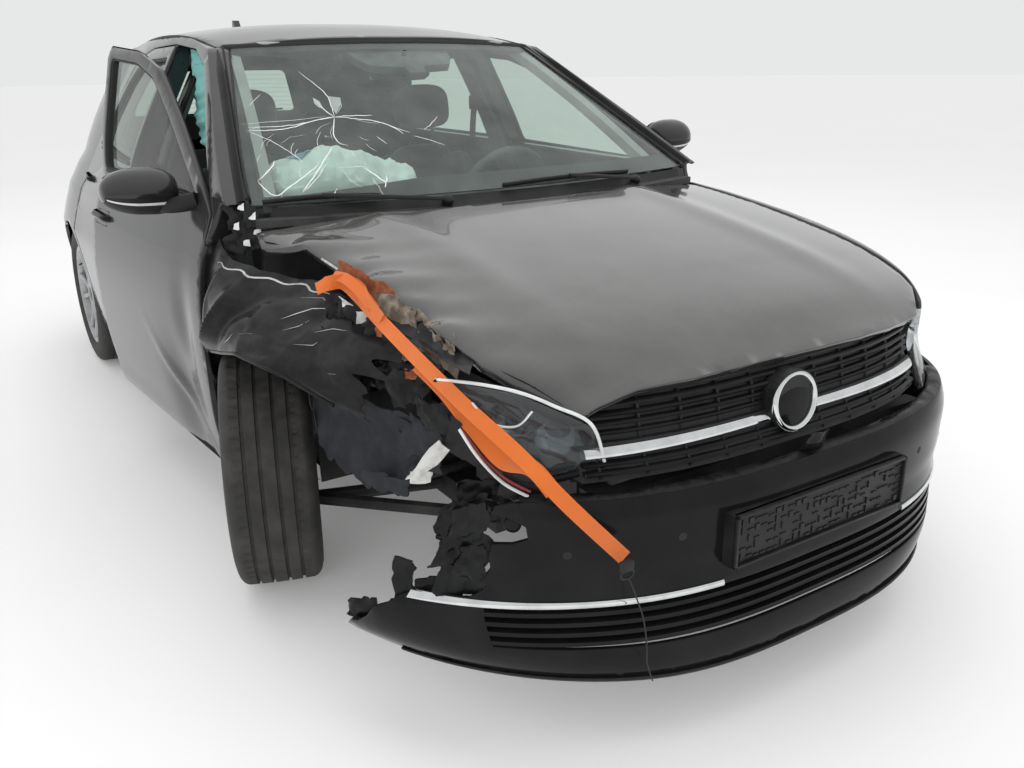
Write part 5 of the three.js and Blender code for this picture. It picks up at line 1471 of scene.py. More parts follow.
# Slam panel, and a near-black sheet behind the grille that is painted shade for the dark space in there
rows = [[mm(*nose_at(x, z, 60)) for z in (560, 640, 735)] for x in [lerp(-505, 505, j / 20)
        for j in range(21)]]
rows_grid("grille_shade", rows, seal, "body")
rows = [[mm(x, nose_skin(x, 728, 12) + dy, 731 + dz) for dy, dz in ((0, 0), (30, 5), (75, 6))]
        for x in [lerp(-495, 495, j / 40) for j in range(41)]]
rows_grid("slam_cover", rows, plastic, "body", thick=0.003)

# Left headlamp
def wrap_x(x, z):
    """The k of the front skin at a distance from the middle line."""
    low, high = 0.0, 0.9
    for _ in range(30):
        mid = (low + high) / 2
        if wrap(mid, z)[0] < x:
            low = mid
        else:
            high = mid
    return low


LAMP_L = [(wrap_k(y, z) * WRAP_SCALE, z) for y, z in ((-1990, 740), (-1850, 789), (-1700, 834),
                                                      (-1600, 852),
                                                (-1536, 858), (-1620, 784),
                                                (-1700, 716), (-1775, 668), (-1850, 629), (-1985, 577))]
LAMP_L += [(wrap_x(516, z) * WRAP_SCALE, z) for z in (566, 600, 650, 700, 740)]


def lamp_place(inset):
    """The nose's skin, rolled over to the bonnet's edge as the wing is."""
    def place(a, z):
        x, y, z = wrap(a / WRAP_SCALE, z, inset=inset)
        if y < -2000 or z <= shoulder(y):
            return x, y, z
        roll_x, _, roll_z = wing_place(y, z)
        return x + roll_x - skin_x(y, z), y, roll_z
    return place


lens = panel("headlamp_lens_left", LAMP_L, lamp_place(0.5), lens_clear, "body", (1, -1, 0), step=18,
             roll=2, hem=14)
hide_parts("headlamp_left")
panel("headlamp_bowl_left", grown(LAMP_L, -2), lamp_place(40), gloss_plastic, "body", (1, -1, 0), step=26,
      roll=2, hem=4)
for i, (k, z, r) in enumerate(((0.285, 655, 40), (0.345, 700, 36), (0.405, 752, 28))):
    x, y, _ = wrap(k, z, inset=36)
    base = Vector((x, y, z))
    lathe(f"headlamp_cup_left_{i + 1}", base, (0.4, -1, 0.05),
          [(r, 22), (r * 0.96, 16), (r * 0.8, 2), (r * 0.45, -8), (2, -12)], reflector, "body", 40)
    lathe(f"headlamp_bulb_left_{i + 1}", base, (0.4, -1, 0.05), [(r * 0.5, -4), (r * 0.46, 10),
            (r * 0.25, 16), (0.5, 18)],
          lens_clear, "body", 32)
tube("headlamp_strip_left", [mm(*lamp_place(9)(wrap_k(y, z) * WRAP_SCALE, z)) for y, z in
                             ((-1575, 838), (-1700, 818), (-1850, 772), (-1985, 724))], 0.005,
                             white_plastic, "body", 8, 6)
tube("headlamp_lower_strip_left", [mm(*lamp_place(10)(wrap_k(y, z) * WRAP_SCALE, z)) for y, z in
                                   ((-1640, 790), (-1740, 706), (-1860, 645), (-1980, 596))], 0.004,
                                   chrome, "body", 8, 6)

# Crushed right wing
WING_RIGHT = [
    (-848, 838, 905, 862, 300), (-900, 846, 890, 885, 320), (-960, 846, 868, 905, 640),
    (-1080, 790, 852, 915, 668),
    (-1200, 712, 838, 915, 700), (-1350, 676, 822, 880, 690), (-1500, 662, 800, 800, 640),
    (-1610, 655, 775, 722, 600)]


def crushed_wing(u, v):
    y = lerp(-848, -1610, u)
    rows = [[(-r[0], r[c]) for r in WING_RIGHT] for c in (1, 2, 3, 4)]
    top_x, top_z, foot_x, foot_z = (along(c, -y) for c in rows)
    belly = 4 * v * (1 - v) * 38
    fold = 6 * math.sin(13 * u + 5 * v) * math.sin(PI * v) * min(1, 4 * u)
    x = lerp(foot_x, top_x, v) + belly + fold
    ridge = 0.15 + 0.12 * clamp(v / 0.6)
    free = min(1, 5 * u) * min(1, 6 * v + 0.2)
    x += 30 * math.exp(-abs(u - ridge) / 0.05) * math.sin(PI * clamp(0.1 + 0.8 * v))
    x -= 14 * math.exp(-((u - ridge - 0.10) / 0.04) ** 2) * math.sin(PI * v)
    q = Vector((u * 5.2, v * 2.6, 2.3))
    torn = clamp((u - 0.35) / 0.4)
    x += free * (16 * (abs(noise.noise(q * 0.8)) - 0.2) + (3 + 8 * torn) * (abs(noise.noise(q * 2.1)) -
            0.2) + torn * noise.noise(q * 9))
    x -= 16 * clamp((v - 0.86) / 0.14) ** 1.5
    z = lerp(foot_z, top_z, v) + free * 8 * noise.noise(q * 2.3 + Vector((5, 0, 0)))
    return -x, y + 7 * math.sin(9 * v + 11 * u) * min(1, 6 * u), z


def torn_wing(u, v):
    """The wing's sheet with its front and lower edges torn."""
    tear = clamp((u - 0.8) / 0.2)
    v2 = v + 0.05 * noise.noise(Vector((u * 30, 1, 0))) * (1 - v) * clamp((u - 0.3) / 0.3)
    u2 = u * (1 - 0.10 * tear * (0.5 + noise.noise(Vector((v * 9, 7, 0)))))
    return mm(*crushed_wing(u2, clamp(v2)))


wing = grid("wing_right_skin", 110, 54, torn_wing, paint_dull, "body")
solidify(wing, 0.0016)
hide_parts("wing_right")
for i, (pts, width) in enumerate((
        ([(0.53, 0.60), (0.56, 0.70), (0.60, 0.79), (0.66, 0.90)], 3.2),
        ([(0.58, 0.50), (0.61, 0.60), (0.63, 0.70)], 2.2),
        ([(0.70, 0.62), (0.74, 0.74), (0.78, 0.80)], 2.0), ([(0.44, 0.30), (0.50, 0.36)], 1.6),
        ([(0.35, 0.16), (0.39, 0.22), (0.41, 0.30)], 2.2), ([(0.82, 0.35), (0.86, 0.42)], 2.6),
        ([(0.66, 0.44), (0.72, 0.50), (0.73, 0.55)], 1.5), ([(0.50, 0.86), (0.58, 0.90), (0.66, 0.88)],
                2.4))):
    ribbon(f"wing_scratch_{i + 1}", pts, width, bare, "body", crushed_wing, lift=1.2)
ribbon("wing_top_edge", [(lerp(0.08, 0.62, i / 30), 0.94 + 0.01 * math.sin(i)) for i in range(31)], 6,
       bare, "body", crushed_wing,
       lift=1.0)
tube("wing_arch_lip", [mm(*crushed_wing(lerp(0.2, 0.86, i / 40), 0.01)) for i in range(41)], 0.0045,
     paint_dull, "body", 8)

# Folded scraps of sheet and plastic between the wing and the bonnet
SCRAPS = [
    ((-735, -1330, 835), (-690, -1400, 850), (-672, -1440, 800), (-742, -1350, 780), 0, 14),
    ((-720, -1400, 830), (-668, -1480, 842), (-660, -1500, 780), (-716, -1430, 770), 1, 12),
    ((-700, -1470, 815), (-655, -1560, 822), (-650, -1580, 750), (-712, -1490, 745), 0, 16),
    ((-690, -1550, 790), (-650, -1640, 790), (-655, -1660, 720), (-700, -1580, 715), 0, 12),
    ((-760, -1380, 775), (-715, -1470, 760), (-712, -1480, 710), (-768, -1400, 712), 1, 10),
    ((-735, -1480, 745), (-690, -1570, 740), (-690, -1580, 680), (-740, -1500, 680), 0, 12),
    ((-712, -1600, 735), (-668, -1690, 735), (-668, -1690, 665), (-715, -1620, 660), 0, 14),
    ((-800, -1330, 740), (-760, -1420, 735), (-756, -1430, 700), (-800, -1350, 700), 2, 8),
    ((-660, -1640, 800), (-640, -1720, 800), (-645, -1730, 745), (-664, -1660, 735), 0, 9),
    ((-700, -1690, 700), (-664, -1770, 700), (-664, -1780, 640), (-702, -1700, 640), 0, 10)]
for i, (a, b, c, d, kind, rough) in enumerate(SCRAPS):
    shard(f"scrap_{i + 1}", (a, b, c, d), (torn_plastic, paint_dull, bare)[kind], 12, 9, rough, 14, i + 3,
          grain=0.035)
for i, (x, y, z) in enumerate(((-708, -1455, 822), (-700, -1520, 800), (-716, -1398, 842),
                               (-676, -1610, 775), (-731, -1490, 752),
                               (-690, -1640, 742), (-700, -1585, 700), (-742, -1440, 732))):
    a = i * 1.3
    shard(f"flake_{i + 1}", ((x, y, z), (x + 22 * math.cos(a), y - 24, z + 14 * math.sin(a)),
                             (x + 16, y - 30, z - 16),
                             (x - 6, y - 8, z - 20)), (bare, rust, white_plastic, debris)[i % 4], 5, 5, 4,
                             7, i + 40, 1.2)

# Bonnet's torn right edge: bare lip, rust below it, and the flap that is folded down
edge_pts = [(x, y) for x, y in BONNET_TORN if -1520 < y < -1150]
tube("bonnet_bare_edge", [mm(x - 1.5, y, bonnet_z(x, y) + bonnet_shape(x + 2, y) - 1) for x,
                          y in edge_pts], 0.0032, bare, "body",
     8, 6)
shard("bonnet_rust", [(-678, -1300, 910), (-652, -1525, 880), (-660, -1545, 826), (-694, -1325, 850)],
      rust, 16, 10, 5, 8, 61,
      grain=0.03)
shard("bonnet_rust_low", [(-668, -1470, 872), (-645, -1610, 858), (-652, -1620, 815), (-680, -1490, 828)],
      debris, 12, 8, 8, 10, 62)
shard("bonnet_flap", [(-618, -1500, bonnet_z(-618, -1500) - 20),
                      (-618, -1800, bonnet_z(-618, -1800) - 22), (-676, -1880, 792),
                      (-676, -1620, 796)], paint_dull, 24, 14, 2, 4,
      63, bow=12, grain=0.012)
shard("bonnet_flap_fold", [(-650, -1490, bonnet_z(-650, -1490) - 18),
                           (-634, -1690, bonnet_z(-634, -1690) - 20),
                           (-666, -1770, 784), (-676, -1550, 808)], paint_dull, 22, 12, 4,
      8, 64, bow=6, grain=0.014)
shard("bonnet_debris", [(-640, -1560, 850), (-620, -1740, 830), (-650, -1790, 762), (-668, -1600, 775)],
      debris, 16, 10, 14, 16,
      65, grain=0.045)

# Torn bracket at the foot of the right pillar
PILLAR = [
    ((-800, -846, 985), (-744, -868, 1008), (-738, -880, 940), (-800, -866, 930)),
    ((-792, -862, 940), (-736, -884, 948), (-728, -900, 880), (-786, -880, 872)),
    ((-770, -880, 1000), (-738, -900, 985), (-732, -910, 930), (-762, -890, 935)),
    ((-815, -860, 905), (-770, -880, 915), (-764, -892, 866), (-812, -874, 862))]
for i, (a, b, c, d) in enumerate(PILLAR):
    shard(f"pillar_bracket_{i + 1}", (a, b, c, d), plastic, 9, 8, 9, 9, i + 80, 4, grain=0.04)
for i, (x, y, z) in enumerate(((-778, -884, 992), (-752, -896, 968), (-790, -880, 944), (-748, -904, 926),
                               (-772, -896, 900))):
    shard(f"pillar_flake_{i + 1}", ((x, y, z), (x + 16, y - 6, z + 6), (x + 12, y - 10, z - 12),
                                    (x - 4, y - 4, z - 10)),
          white_plastic, 4, 4, 3, 5, i + 90, 1.5)

# Torn arch liner in front of the right wheel
LINER = [
    ((-800, -1215, 700), (-775, -1290, 610)), ((-790, -1330, 688), (-780, -1360, 480)),
    ((-765, -1450, 676), (-745, -1440, 425)),
    ((-715, -1580, 630), (-705, -1560, 455)), ((-680, -1690, 622), (-684, -1690, 520))]


def liner_at(u, v):
    at = clamp(u, 0, 0.9999) * (len(LINER) - 1)
    row = int(at)
    t = at - row
    top, foot = (Vector(LINER[row][s]).lerp(Vector(LINER[row + 1][s]), t) for s in (0, 1))
    edge = 34 * noise.noise(Vector((u * 9, 3, 0))) + 13 * noise.noise(Vector((u * 21, 3, 5)))
    p = foot.lerp(top, v)
    q = Vector((u * 7, v * 3, 1))
    p.x += 30 * math.sin(PI * v) + 10 * noise.noise(q) + 4 * noise.noise(q * 3)
    p.y += 4 * math.sin(9 * v)
    p.z += edge * (1 - v) ** 2 + 14 * noise.noise(Vector((u * 11, 8, 1))) * v ** 3
    p.y += 16 * noise.noise(Vector((v * 9, 5, 2))) * (clamp((u - 0.85) / 0.15) - clamp((0.12 - u) / 0.12))
    return p * 0.001


liner = grid("arch_liner_torn", 84, 40, liner_at, liner_felt, "body")
solidify(liner, 0.003)
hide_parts("arch_liner_right")
shard("liner_strip_1", [(-795, -1230, 690), (-770, -1400, 715), (-765, -1420, 660), (-790, -1250, 640)],
      liner_felt, 14, 8, 9, 10,
      101, 3)
shard("liner_strip_2", [(-700, -1600, 640), (-668, -1740, 640), (-672, -1750, 540), (-704, -1620, 560)],
      liner_felt, 14, 10, 12, 16,
      102, 3)
shard("liner_strip_3", [(-742, -1500, 470), (-700, -1640, 500), (-700, -1650, 455), (-738, -1520, 440)],
      liner_felt, 12, 6, 8, 12,
      103, 3)
shard("silver_bracket", [(-735, -1862, 672), (-722, -1885, 655), (-766, -1845, 596), (-786, -1820, 592)],
      bare, 10, 4, 5, 5, 104,
      3)
shard("silver_bracket_foot", [(-778, -1828, 606), (-748, -1850, 600), (-752, -1850, 578),
                              (-784, -1826, 584)], bare, 6, 4, 4, 6,
      105, 3)

# Broken right headlamp
BROKEN_LAMP = [
    (-688, -1770, 753), (-600, -1930, 752), (-492, -2012, 690), (-452, -2004, 602), (-550, -1962, 582),
    (-640, -1872, 642)]
lamp_rim = [Vector(p) for p in BROKEN_LAMP]
lamp_mid = sum(lamp_rim, Vector()) / len(lamp_rim)
LAMP_OUT = Vector((-0.6, -0.75, 0.28))


def lamp_dome(name, depth, rise, look, scale=1.0, rings=14, columns=72, rough=0):
    rows = []
    for r in range(1, rings + 1):
        v = r / rings * scale
        row = []
        for c in range(columns):
            at = c / columns * len(lamp_rim)
            i = int(at)
            edge = lamp_rim[i].lerp(lamp_rim[(i + 1) % len(lamp_rim)], at - i)
            p = lamp_mid.lerp(edge, v) + LAMP_OUT * (rise * (1 - v * v) - depth)
            p += LAMP_OUT * rough * noise.noise(p * 0.03)
            row.append(p * 0.001)
        rows.append(row)
    return rows_grid(name, rows, look, "body", close_v=True, caps=True, sharp=70)


lens = lamp_dome("headlamp_lens_right", -1, 27, lens_scratched, rough=2)
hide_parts("headlamp_right")
lamp_dome("headlamp_bowl_right", 30, 14, gloss_plastic, scale=0.98, rings=8)
for i, (u, w, r) in enumerate(((0.30, 0.18, 40), (-0.36, -0.10, 34))):
    base = lamp_mid + (lamp_rim[3] - lamp_rim[0]).normalized() * (u * 150) + Vector((0, 0,
            1)) * w * 60 - LAMP_OUT * 10
    axis = (-0.35, -1, 0.05)
    lathe(f"headlamp_cup_right_{i + 1}", base, axis, [(r, 16), (r * 0.95, 10), (r * 0.8, 0),
                                                      (r * 0.45, -10), (2, -14)], reflector,
          "body", 40)
    lathe(f"headlamp_bulb_right_{i + 1}", base, axis, [(r * 0.52, -4), (r * 0.48, 8), (r * 0.28, 14),
                                                       (0.5, 16)], lens_clear, "body",
          32)
lamp_edge = [lamp_rim[0], lamp_rim[0].lerp(lamp_rim[1], 0.5) + Vector((0, 0, 6)),
             lamp_rim[1] + Vector((0, 0, 4)),
             lamp_rim[1].lerp(lamp_rim[2], 0.5) + Vector((0, 0, 8)), lamp_rim[2] + Vector((0, 0, 4)),
             lamp_rim[3]]
tube("headlamp_top_strip", [(p + LAMP_OUT * 4) * 0.001 for p in lamp_edge], 0.0036, white_plastic, "body",
     8, 8)
low_edge = [lamp_rim[3], lamp_rim[4] + Vector((0, 0, -4)), lamp_rim[4].lerp(lamp_rim[5], 0.5) +
            Vector((-6, 0, -8)), lamp_rim[5],
            lamp_rim[0]]
tube("headlamp_frame_low", [(p + LAMP_OUT * 1) * 0.001 for p in low_edge], 0.008, gloss_plastic, "body",
     8, 8)
inner = [(-672, -1880, 735), (-650, -1912, 700), (-612, -1940, 694), (-585, -1952, 722)]
tube("headlamp_inner_strip", [mm(*p) for p in inner], 0.0028, reflector, "body", 8, 8)
tube("headlamp_low_trim", [mm(*p) for p in ((-708, -1892, 694), (-684, -1918, 640), (-648, -1948, 590),
                                            (-606, -1978, 560))],
     0.005, white_plastic, "body", 8, 8, flat=0.5)
tube("headlamp_red_trim", [mm(*p) for p in ((-702, -1888, 692), (-676, -1912, 642), (-641, -1942, 596),
                                            (-602, -1970, 568))],
     0.0035, lens_red, "body", 8, 8)
shard("lamp_bracket_1", [(-700, -1850, 700), (-655, -1900, 650), (-662, -1890, 600), (-720, -1850, 640)],
      plastic, 12, 8, 6, 9, 111,
      3)
shard("lamp_bracket_2", [(-640, -1930, 600), (-560, -1985, 575), (-565, -1975, 545), (-650, -1930, 560)],
      plastic, 12, 6, 6, 9, 112,
      3)

# Torn right end of the bumper
TORN_BLACK = [
    ((-766, -1880, 545), (-668, -1925, 556), (-672, -1930, 500), (-772, -1885, 492), 10),
    ((-772, -1880, 500), (-682, -1925, 505), (-686, -1928, 430), (-760, -1880, 420), 14),
    ((-752, -1880, 440), (-690, -1922, 440), (-690, -1925, 372), (-752, -1885, 368), 12),
    ((-745, -1905, 545), (-690, -1935, 540), (-694, -1938, 470), (-752, -1905, 480), 14),
    ((-730, -1905, 470), (-688, -1932, 470), (-690, -1935, 400), (-735, -1905, 395), 12),
    ((-700, -1850, 580), (-620, -1900, 580), (-625, -1910, 530), (-705, -1860, 525), 9)]
for i, (a, b, c, d, rough) in enumerate(TORN_BLACK):
    shard(f"bumper_torn_{i + 1}", (a, b, c, d), torn_plastic, 16, 14, rough, 22, i + 120, 3, grain=0.024)
shard("bumper_slab", [(-812, -1800, 420), (-782, -1822, 414), (-786, -1830, 330), (-820, -1800, 326)],
      torn_plastic, 8, 10, 5, 12,
      131, 5)
shard("bumper_slab_arm_1", [(-784, -1822, 372), (-690, -1895, 388), (-690, -1895, 372),
                            (-786, -1826, 352)], torn_plastic, 14, 4, 5,
      8, 132, 4)
shard("bumper_slab_arm_2", [(-800, -1815, 352), (-720, -1880, 358), (-718, -1882, 340),
                            (-800, -1818, 334)], torn_plastic, 12, 4, 5,
      6, 133, 4)
shard("bumper_tip_scrap", [(-846, -1640, 262), (-812, -1700, 270), (-820, -1700, 212),
                           (-862, -1632, 205)], torn_plastic, 10, 8, 9,
      14, 134, 3)
shard("bumper_shred", [(-790, -1760, 300), (-756, -1800, 330), (-744, -1800, 286), (-800, -1748, 262)],
      torn_plastic, 10, 8, 12, 16,
      135, 3)
FOG = on_bumper(-0.318, 505)
button("fog_mount", FOG[0] - FOG[1] * 22, FOG[1], 17, 6, gloss_plastic)

# Orange lashing strap
STRAP = [
    (-722, -1290, 862), (-706, -1375, 872), (-704, -1460, 856), (-700, -1560, 822), (-692, -1690, 780),
    (-680, -1868, 726),
    (-648, -1998, 668), (-600, -2090, 588), (-500, -2128, 470)]
STRAP_SIDE = Vector((0.78, -0.1, 0.62)).normalized()


def strap_band(name, route, width, thick, steps, ruck=0.0, twist=0.0, offset=(0, 0, 0)):
    """Flat webbing with stitched, slightly curled edges, along a route in millimetres."""
    pts = curve_through([Vector(p) + Vector(offset) for p in route], steps)
    n = len(pts)
    rows = []
    for i, p in enumerate(pts):
        u = i / (n - 1)
        t = (pts[min(n - 1, i + 1)] - pts[max(0, i - 1)]).normalized()
        side = (STRAP_SIDE - t * STRAP_SIDE.dot(t)).normalized()
        if twist:
            side = Matrix.Rotation(twist * u, 3, t) @ side
        out = side.cross(t).normalized()
        ring = []
        for j, (a, b) in enumerate(((-1, -0.5), (-1, 0.5), (-0.6, 0.6), (0, 0.55), (0.6, 0.6), (1, 0.5),
                                    (1, -0.5), (0.6, -0.4),
                                    (0, -0.45), (-0.6, -0.4))):
            curl = ruck * a * a * math.sin(u * 9 + 1)
            ring.append((p + side * a * width / 2 + out * (b * thick + curl)) * 0.001)
        rows.append(ring)
    return rows_grid(name, rows, webbing, "body", close_v=True, caps=True, sharp=60)


strap = strap_band("strap_webbing", STRAP, 29, 2.2, 12, ruck=1.4)
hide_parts("strap")
second = strap_band("strap_second_layer", [(-690, -1700, 768), (-684, -1800, 738), (-672, -1880, 690),
                                           (-650, -1950, 640),
                                           (-634, -2022, 648), (-616, -2064, 612)], 32, 2.2, 12, ruck=1.0,
                                           offset=(0, 0, -3))
loop_route = [(-775, -1395, 872), (-748, -1410, 884), (-716, -1420, 884), (-700, -1450, 872),
              (-706, -1500, 852), (-702, -1560, 826)]
loop = strap_band("strap_loop", loop_route, 32, 2.2, 10, ruck=1.2, twist=0.5)
strap_band("strap_ear", [(-735, -1395, 896), (-720, -1430, 893), (-704, -1475, 868), (-698, -1520, 842)],
           26, 2.2, 10,
           ruck=1.0, twist=-0.5)

# Buckle at the strap's foot and the thin wire that hangs from it
soft_box("strap_buckle", (-0.534, -2.163, 0.462), (-0.504, -2.150, 0.484), plastic, "body", radius=0.004)
tube("strap_buckle_ring", [mm(-519 + 15 * math.cos(a), -2159, 457 + 9 * math.sin(a))
                           for a in [2 * PI * j / 24 for j in range(25)]],
     0.0026, plastic, "body", 8)
WIRE = [(-516, -2160, 450), (-505, -2163, 420), (-490, -2164, 380), (-481, -2164, 355),
        (-471, -2163, 310), (-464, -2160, 270),
        (-459, -2155, 244), (-449, -2153, 215), (-439, -2152, 189)]
wire_line = curve_through([Vector(p) * 0.001 for p in WIRE], 4)
wire = tube("hanging_wire", wire_line, 0.0015, seal, "body", 8)

# Wheels
TREAD = []
for x, r in ((-96, 223), (-106, 236), (-110, 246), (-111.4, 250), (-111, 262), (-110, 276), (-107.5, 284),
             (-107, 288), (-103, 299),
             (-97, 307), (-90, 312.5), (-84, 314.6)):
    TREAD.append((x, r, 0))
for c in (-56, -20, 20, 56):
    for x in ([-74, -66] if c == -56 else [c - 16, c - 10]) + [c - 4.6]:
        TREAD.append((x, 317 - 2.4 * (x / 84) ** 2, 2 if abs(x) > 60 else 1))
    TREAD += [(c - 3.4, 309.5, 0), (c + 3.4, 309.5, 0)]
    TREAD.append((c + 4.6, 317 - 2.4 * ((c + 4.6) / 84) ** 2, 2 if abs(c) > 50 and c > 0 else 1))
TREAD += [(x, 317 - 2.4 * (x / 84) ** 2, 2) for x in (66, 74)]
for x, r in ((84, 314.6), (90, 312.5), (97, 307), (103, 299), (107, 288), (107.5, 284), (110, 276),
             (111, 262), (111.4, 250), (110, 246),
             (106, 236), (96, 223)):
    TREAD.append((x, r, 0))
SLICES = 288


def wheel_frame(centre, outward, steer=0.0):
    m = Matrix.Translation(Vector(centre) * 0.001) @ Matrix.Rotation(steer, 4, "Z")
    return m @ Matrix.Scale(outward, 4, (1, 0, 0))


def turned_mm(name, profile, frame_of, look, body, sides=96, sharp=35):
    """A solid of revolution about the wheel's X axis: profile is (x, radius)."""
    rows = [[frame_of @ mm(x, r * math.cos(a), r * math.sin(a)) for a in [2 * PI * j / sides
            for j in range(sides)]]
            for x, r in profile]
    return rows_grid(name, rows, look, body, close_v=True, sharp=sharp)


def wheel_pieces(tag, frame_of, body):
    rows = []
    for x, r, kind in TREAD:
        row = []
        for j in range(SLICES):
            a = 2 * PI * j / SLICES
            rr = r
            if kind == 2 and j % 4 == 0:
                rr -= 3.6
            elif kind == 1 and j % 8 == 5:
                rr -= 1.4
            row.append(frame_of @ mm(x, rr * math.cos(a), rr * math.sin(a)))
        rows.append(row)
    tyre = rows_grid(f"tyre_{tag}_tread", rows, rubber, body, close_v=True, sharp=28)
    tidy_normals(tyre)
    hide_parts(f"tyre_{tag}")
    barrel = [(-98, 222), (-98, 226), (-92, 227), (-88, 219), (-60, 208), (40, 203), (70, 206), (84, 214),
              (92, 217), (94, 227),
              (99, 226), (99, 219), (95, 211), (86, 206), (72, 200), (40, 197), (-60, 200), (-94, 214),
              (-98, 222)]
    rim = turned_mm(f"rim_{tag}_barrel", barrel, frame_of, alloy, body)
    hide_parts(f"rim_{tag}")
    turned_mm(f"rim_{tag}_hub", [(30, 64), (74, 66), (84, 62), (88, 54), (88, 40), (83, 33), (80, 31),
                                 (80, 1)], frame_of, alloy, body,
              72)
    turned_mm(f"rim_{tag}_cap", [(78, 30), (85, 30), (87, 27), (88.5, 18), (89, 1)], frame_of,
              gloss_plastic, body, 48)
    turned_mm(f"brake_disc_{tag}", [(8, 60), (8, 139), (10, 141), (16, 141), (16, 138), (22, 138),
                                    (22, 141), (28, 141), (30, 139),
                                    (30, 80), (44, 76), (46, 62)], frame_of, disc_iron, body, 96)
    for i in range(5):
        for d in (-13, 13):
            base = math.radians(i * 72 + d)
            lean = math.radians(d * 0.12)
            rows = []
            for s in range(15):
                f = s / 14
                r = lerp(46, 209, f)
                a = base + lean * f
                face = 87 + 7 * f - 5 * math.sin(PI * f)
                half = lerp(10.5, 14.5, f)
                deep = lerp(26, 20, f)
                ring = []
                for w, x in ((-half, face - 7), (-half + 4, face), (half - 4, face), (half, face - 7),
                             (half - 2, face - deep),
                             (-half + 2, face - deep)):
                    ring.append(frame_of @ mm(x, r * math.cos(a) - w * math.sin(a),
                                              r * math.sin(a) + w * math.cos(a)))
                rows.append(ring)
            piece = rows_grid(f"rim_{tag}_spoke_{i + 1}_{'a' if d < 0 else 'b'}", rows, alloy, body,
                              close_v=True, caps=True,
                              sharp=30)
            tidy_normals(piece)
        a = math.radians(i * 72)
        centre = frame_of @ mm(83, 47 * math.cos(a), 47 * math.sin(a))
        axis = (frame_of.to_3x3() @ Vector((1, 0, 0))).normalized()
        button(f"wheel_bolt_{tag}_{i + 1}", centre * 1000, axis, 9.5, 3.5, disc_iron, body, 6)
    a = math.radians(36)
    stem = [frame_of @ mm(x, r * math.cos(a), r * math.sin(a)) for x, r in ((70, 201), (84, 196),
            (94, 190))]
    tube(f"valve_{tag}", stem, 0.0032, seal, body, 10)


WHEELS = (
    ("front_left", (774.5, FRONT_AXLE, TYRE_R), 1, 0.0), ("rear_left", (760, REAR_AXLE, TYRE_R), 1, 0.0),
    ("rear_right", (-760, REAR_AXLE, TYRE_R), -1, 0.0), ("front_right", tuple(RIGHT_HUB), -1, RIGHT_STEER))
for tag, centre, outward, steer in WHEELS:
    wheel_pieces(tag, wheel_frame(centre, outward, steer), f"wheel_{tag}")

# Door mirrors
def mirror_frame(side):
    if side > 0:
        return lambda x, y, z: Vector((x, y, z))
    return lambda x, y, z: Vector(HUNG @ Vector((-x, y, z)))


def mirror(tag, side, reach, z0, body):
    """Housing, lower shell, indicator, glass and foot; the outside is at x = reach."""
    place = mirror_frame(side)
    mid = Vector((938, -600, z0))
    size = Vector((reach - 938, 72, 62))

    def shell_point(a, b, grow=0.0):
        # a runs round the car-wide axis, b from the inner to the outer end
        cx = math.sin(b)
        ring = math.cos(b)
        x = mid.x + size.x * math.copysign(abs(cx) ** 0.8, cx)
        taper = 1 - 0.16 * clamp(cx) ** 2
        y = mid.y + (size.y + grow) * ring ** 0.65 * math.cos(a) * taper
        z = mid.z + (size.z + grow) * ring ** 0.65 * math.sin(a) * (taper if math.sin(a) > 0
                else 1 - 0.28 * cx)
        y = min(y, mid.y + 40 + 0.12 * (y - mid.y))
        return place(x, y, z) * 0.001

    rows = [[shell_point(2 * PI * j / 48, lerp(-PI / 2 + 0.02, PI / 2 - 0.02, i / 36))
             for j in range(48)] for i in range(37)]
    shell = rows_grid(f"mirror_{tag}_housing", rows, paint, body, close_v=True, caps=True, sharp=60)
    tidy_normals(shell)
    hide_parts(f"mirror_{tag}")
    # black band, indicator strip and matt lower shell
    for part, look, a0, a1, b0, b1, grow in (
            ("lower", plastic, -2.95, -1.15, -1.2, 1.25, 0.9), ("indicator", white_plastic, -2.72, -2.60,
                    -0.9, 1.15, 1.6),
            ("band", seal, -2.56, -2.48, -1.2, 1.25, 1.1)):
        rows = [[shell_point(lerp(a0, a1, j / 12), lerp(b0, b1, i / 30), grow) for j in range(13)]
                for i in range(31)]
        rows_grid(f"mirror_{tag}_{part}", rows, look, body, sharp=60, thick=0.0006)
    rows = []
    for i in range(13):
        b = lerp(-1.1, 1.0, i / 12)
        cx, ring = math.sin(b), math.cos(b)
        x = mid.x + size.x * 0.9 * math.copysign(abs(cx) ** 0.8, cx)
        half = (size.z - 9) * ring ** 0.55
        rows.append([place(x, mid.y + 45 + 0.002 * half, mid.z + lerp(-half, half, j / 6)) * 0.001
                     for j in range(7)])
    rows_grid(f"mirror_{tag}_glass", rows, mirror_glass, body, thick=0.002)
    foot = [(812, -686, 985), (850, -664, z0 - 36), (888, -636, z0 - 40), (926, -612, z0 - 30)]
    tube(f"mirror_{tag}_foot", [place(*p) * 0.001 for p in foot], 0.019, plastic, body, 14, 6, flat=1.3,
         taper=lambda t: 1.15 - 0.25 * t)


mirror("left", 1, 1022, 1055, "door_front_left")
mirror("right", -1, 1038, 1012, "door_front_right")

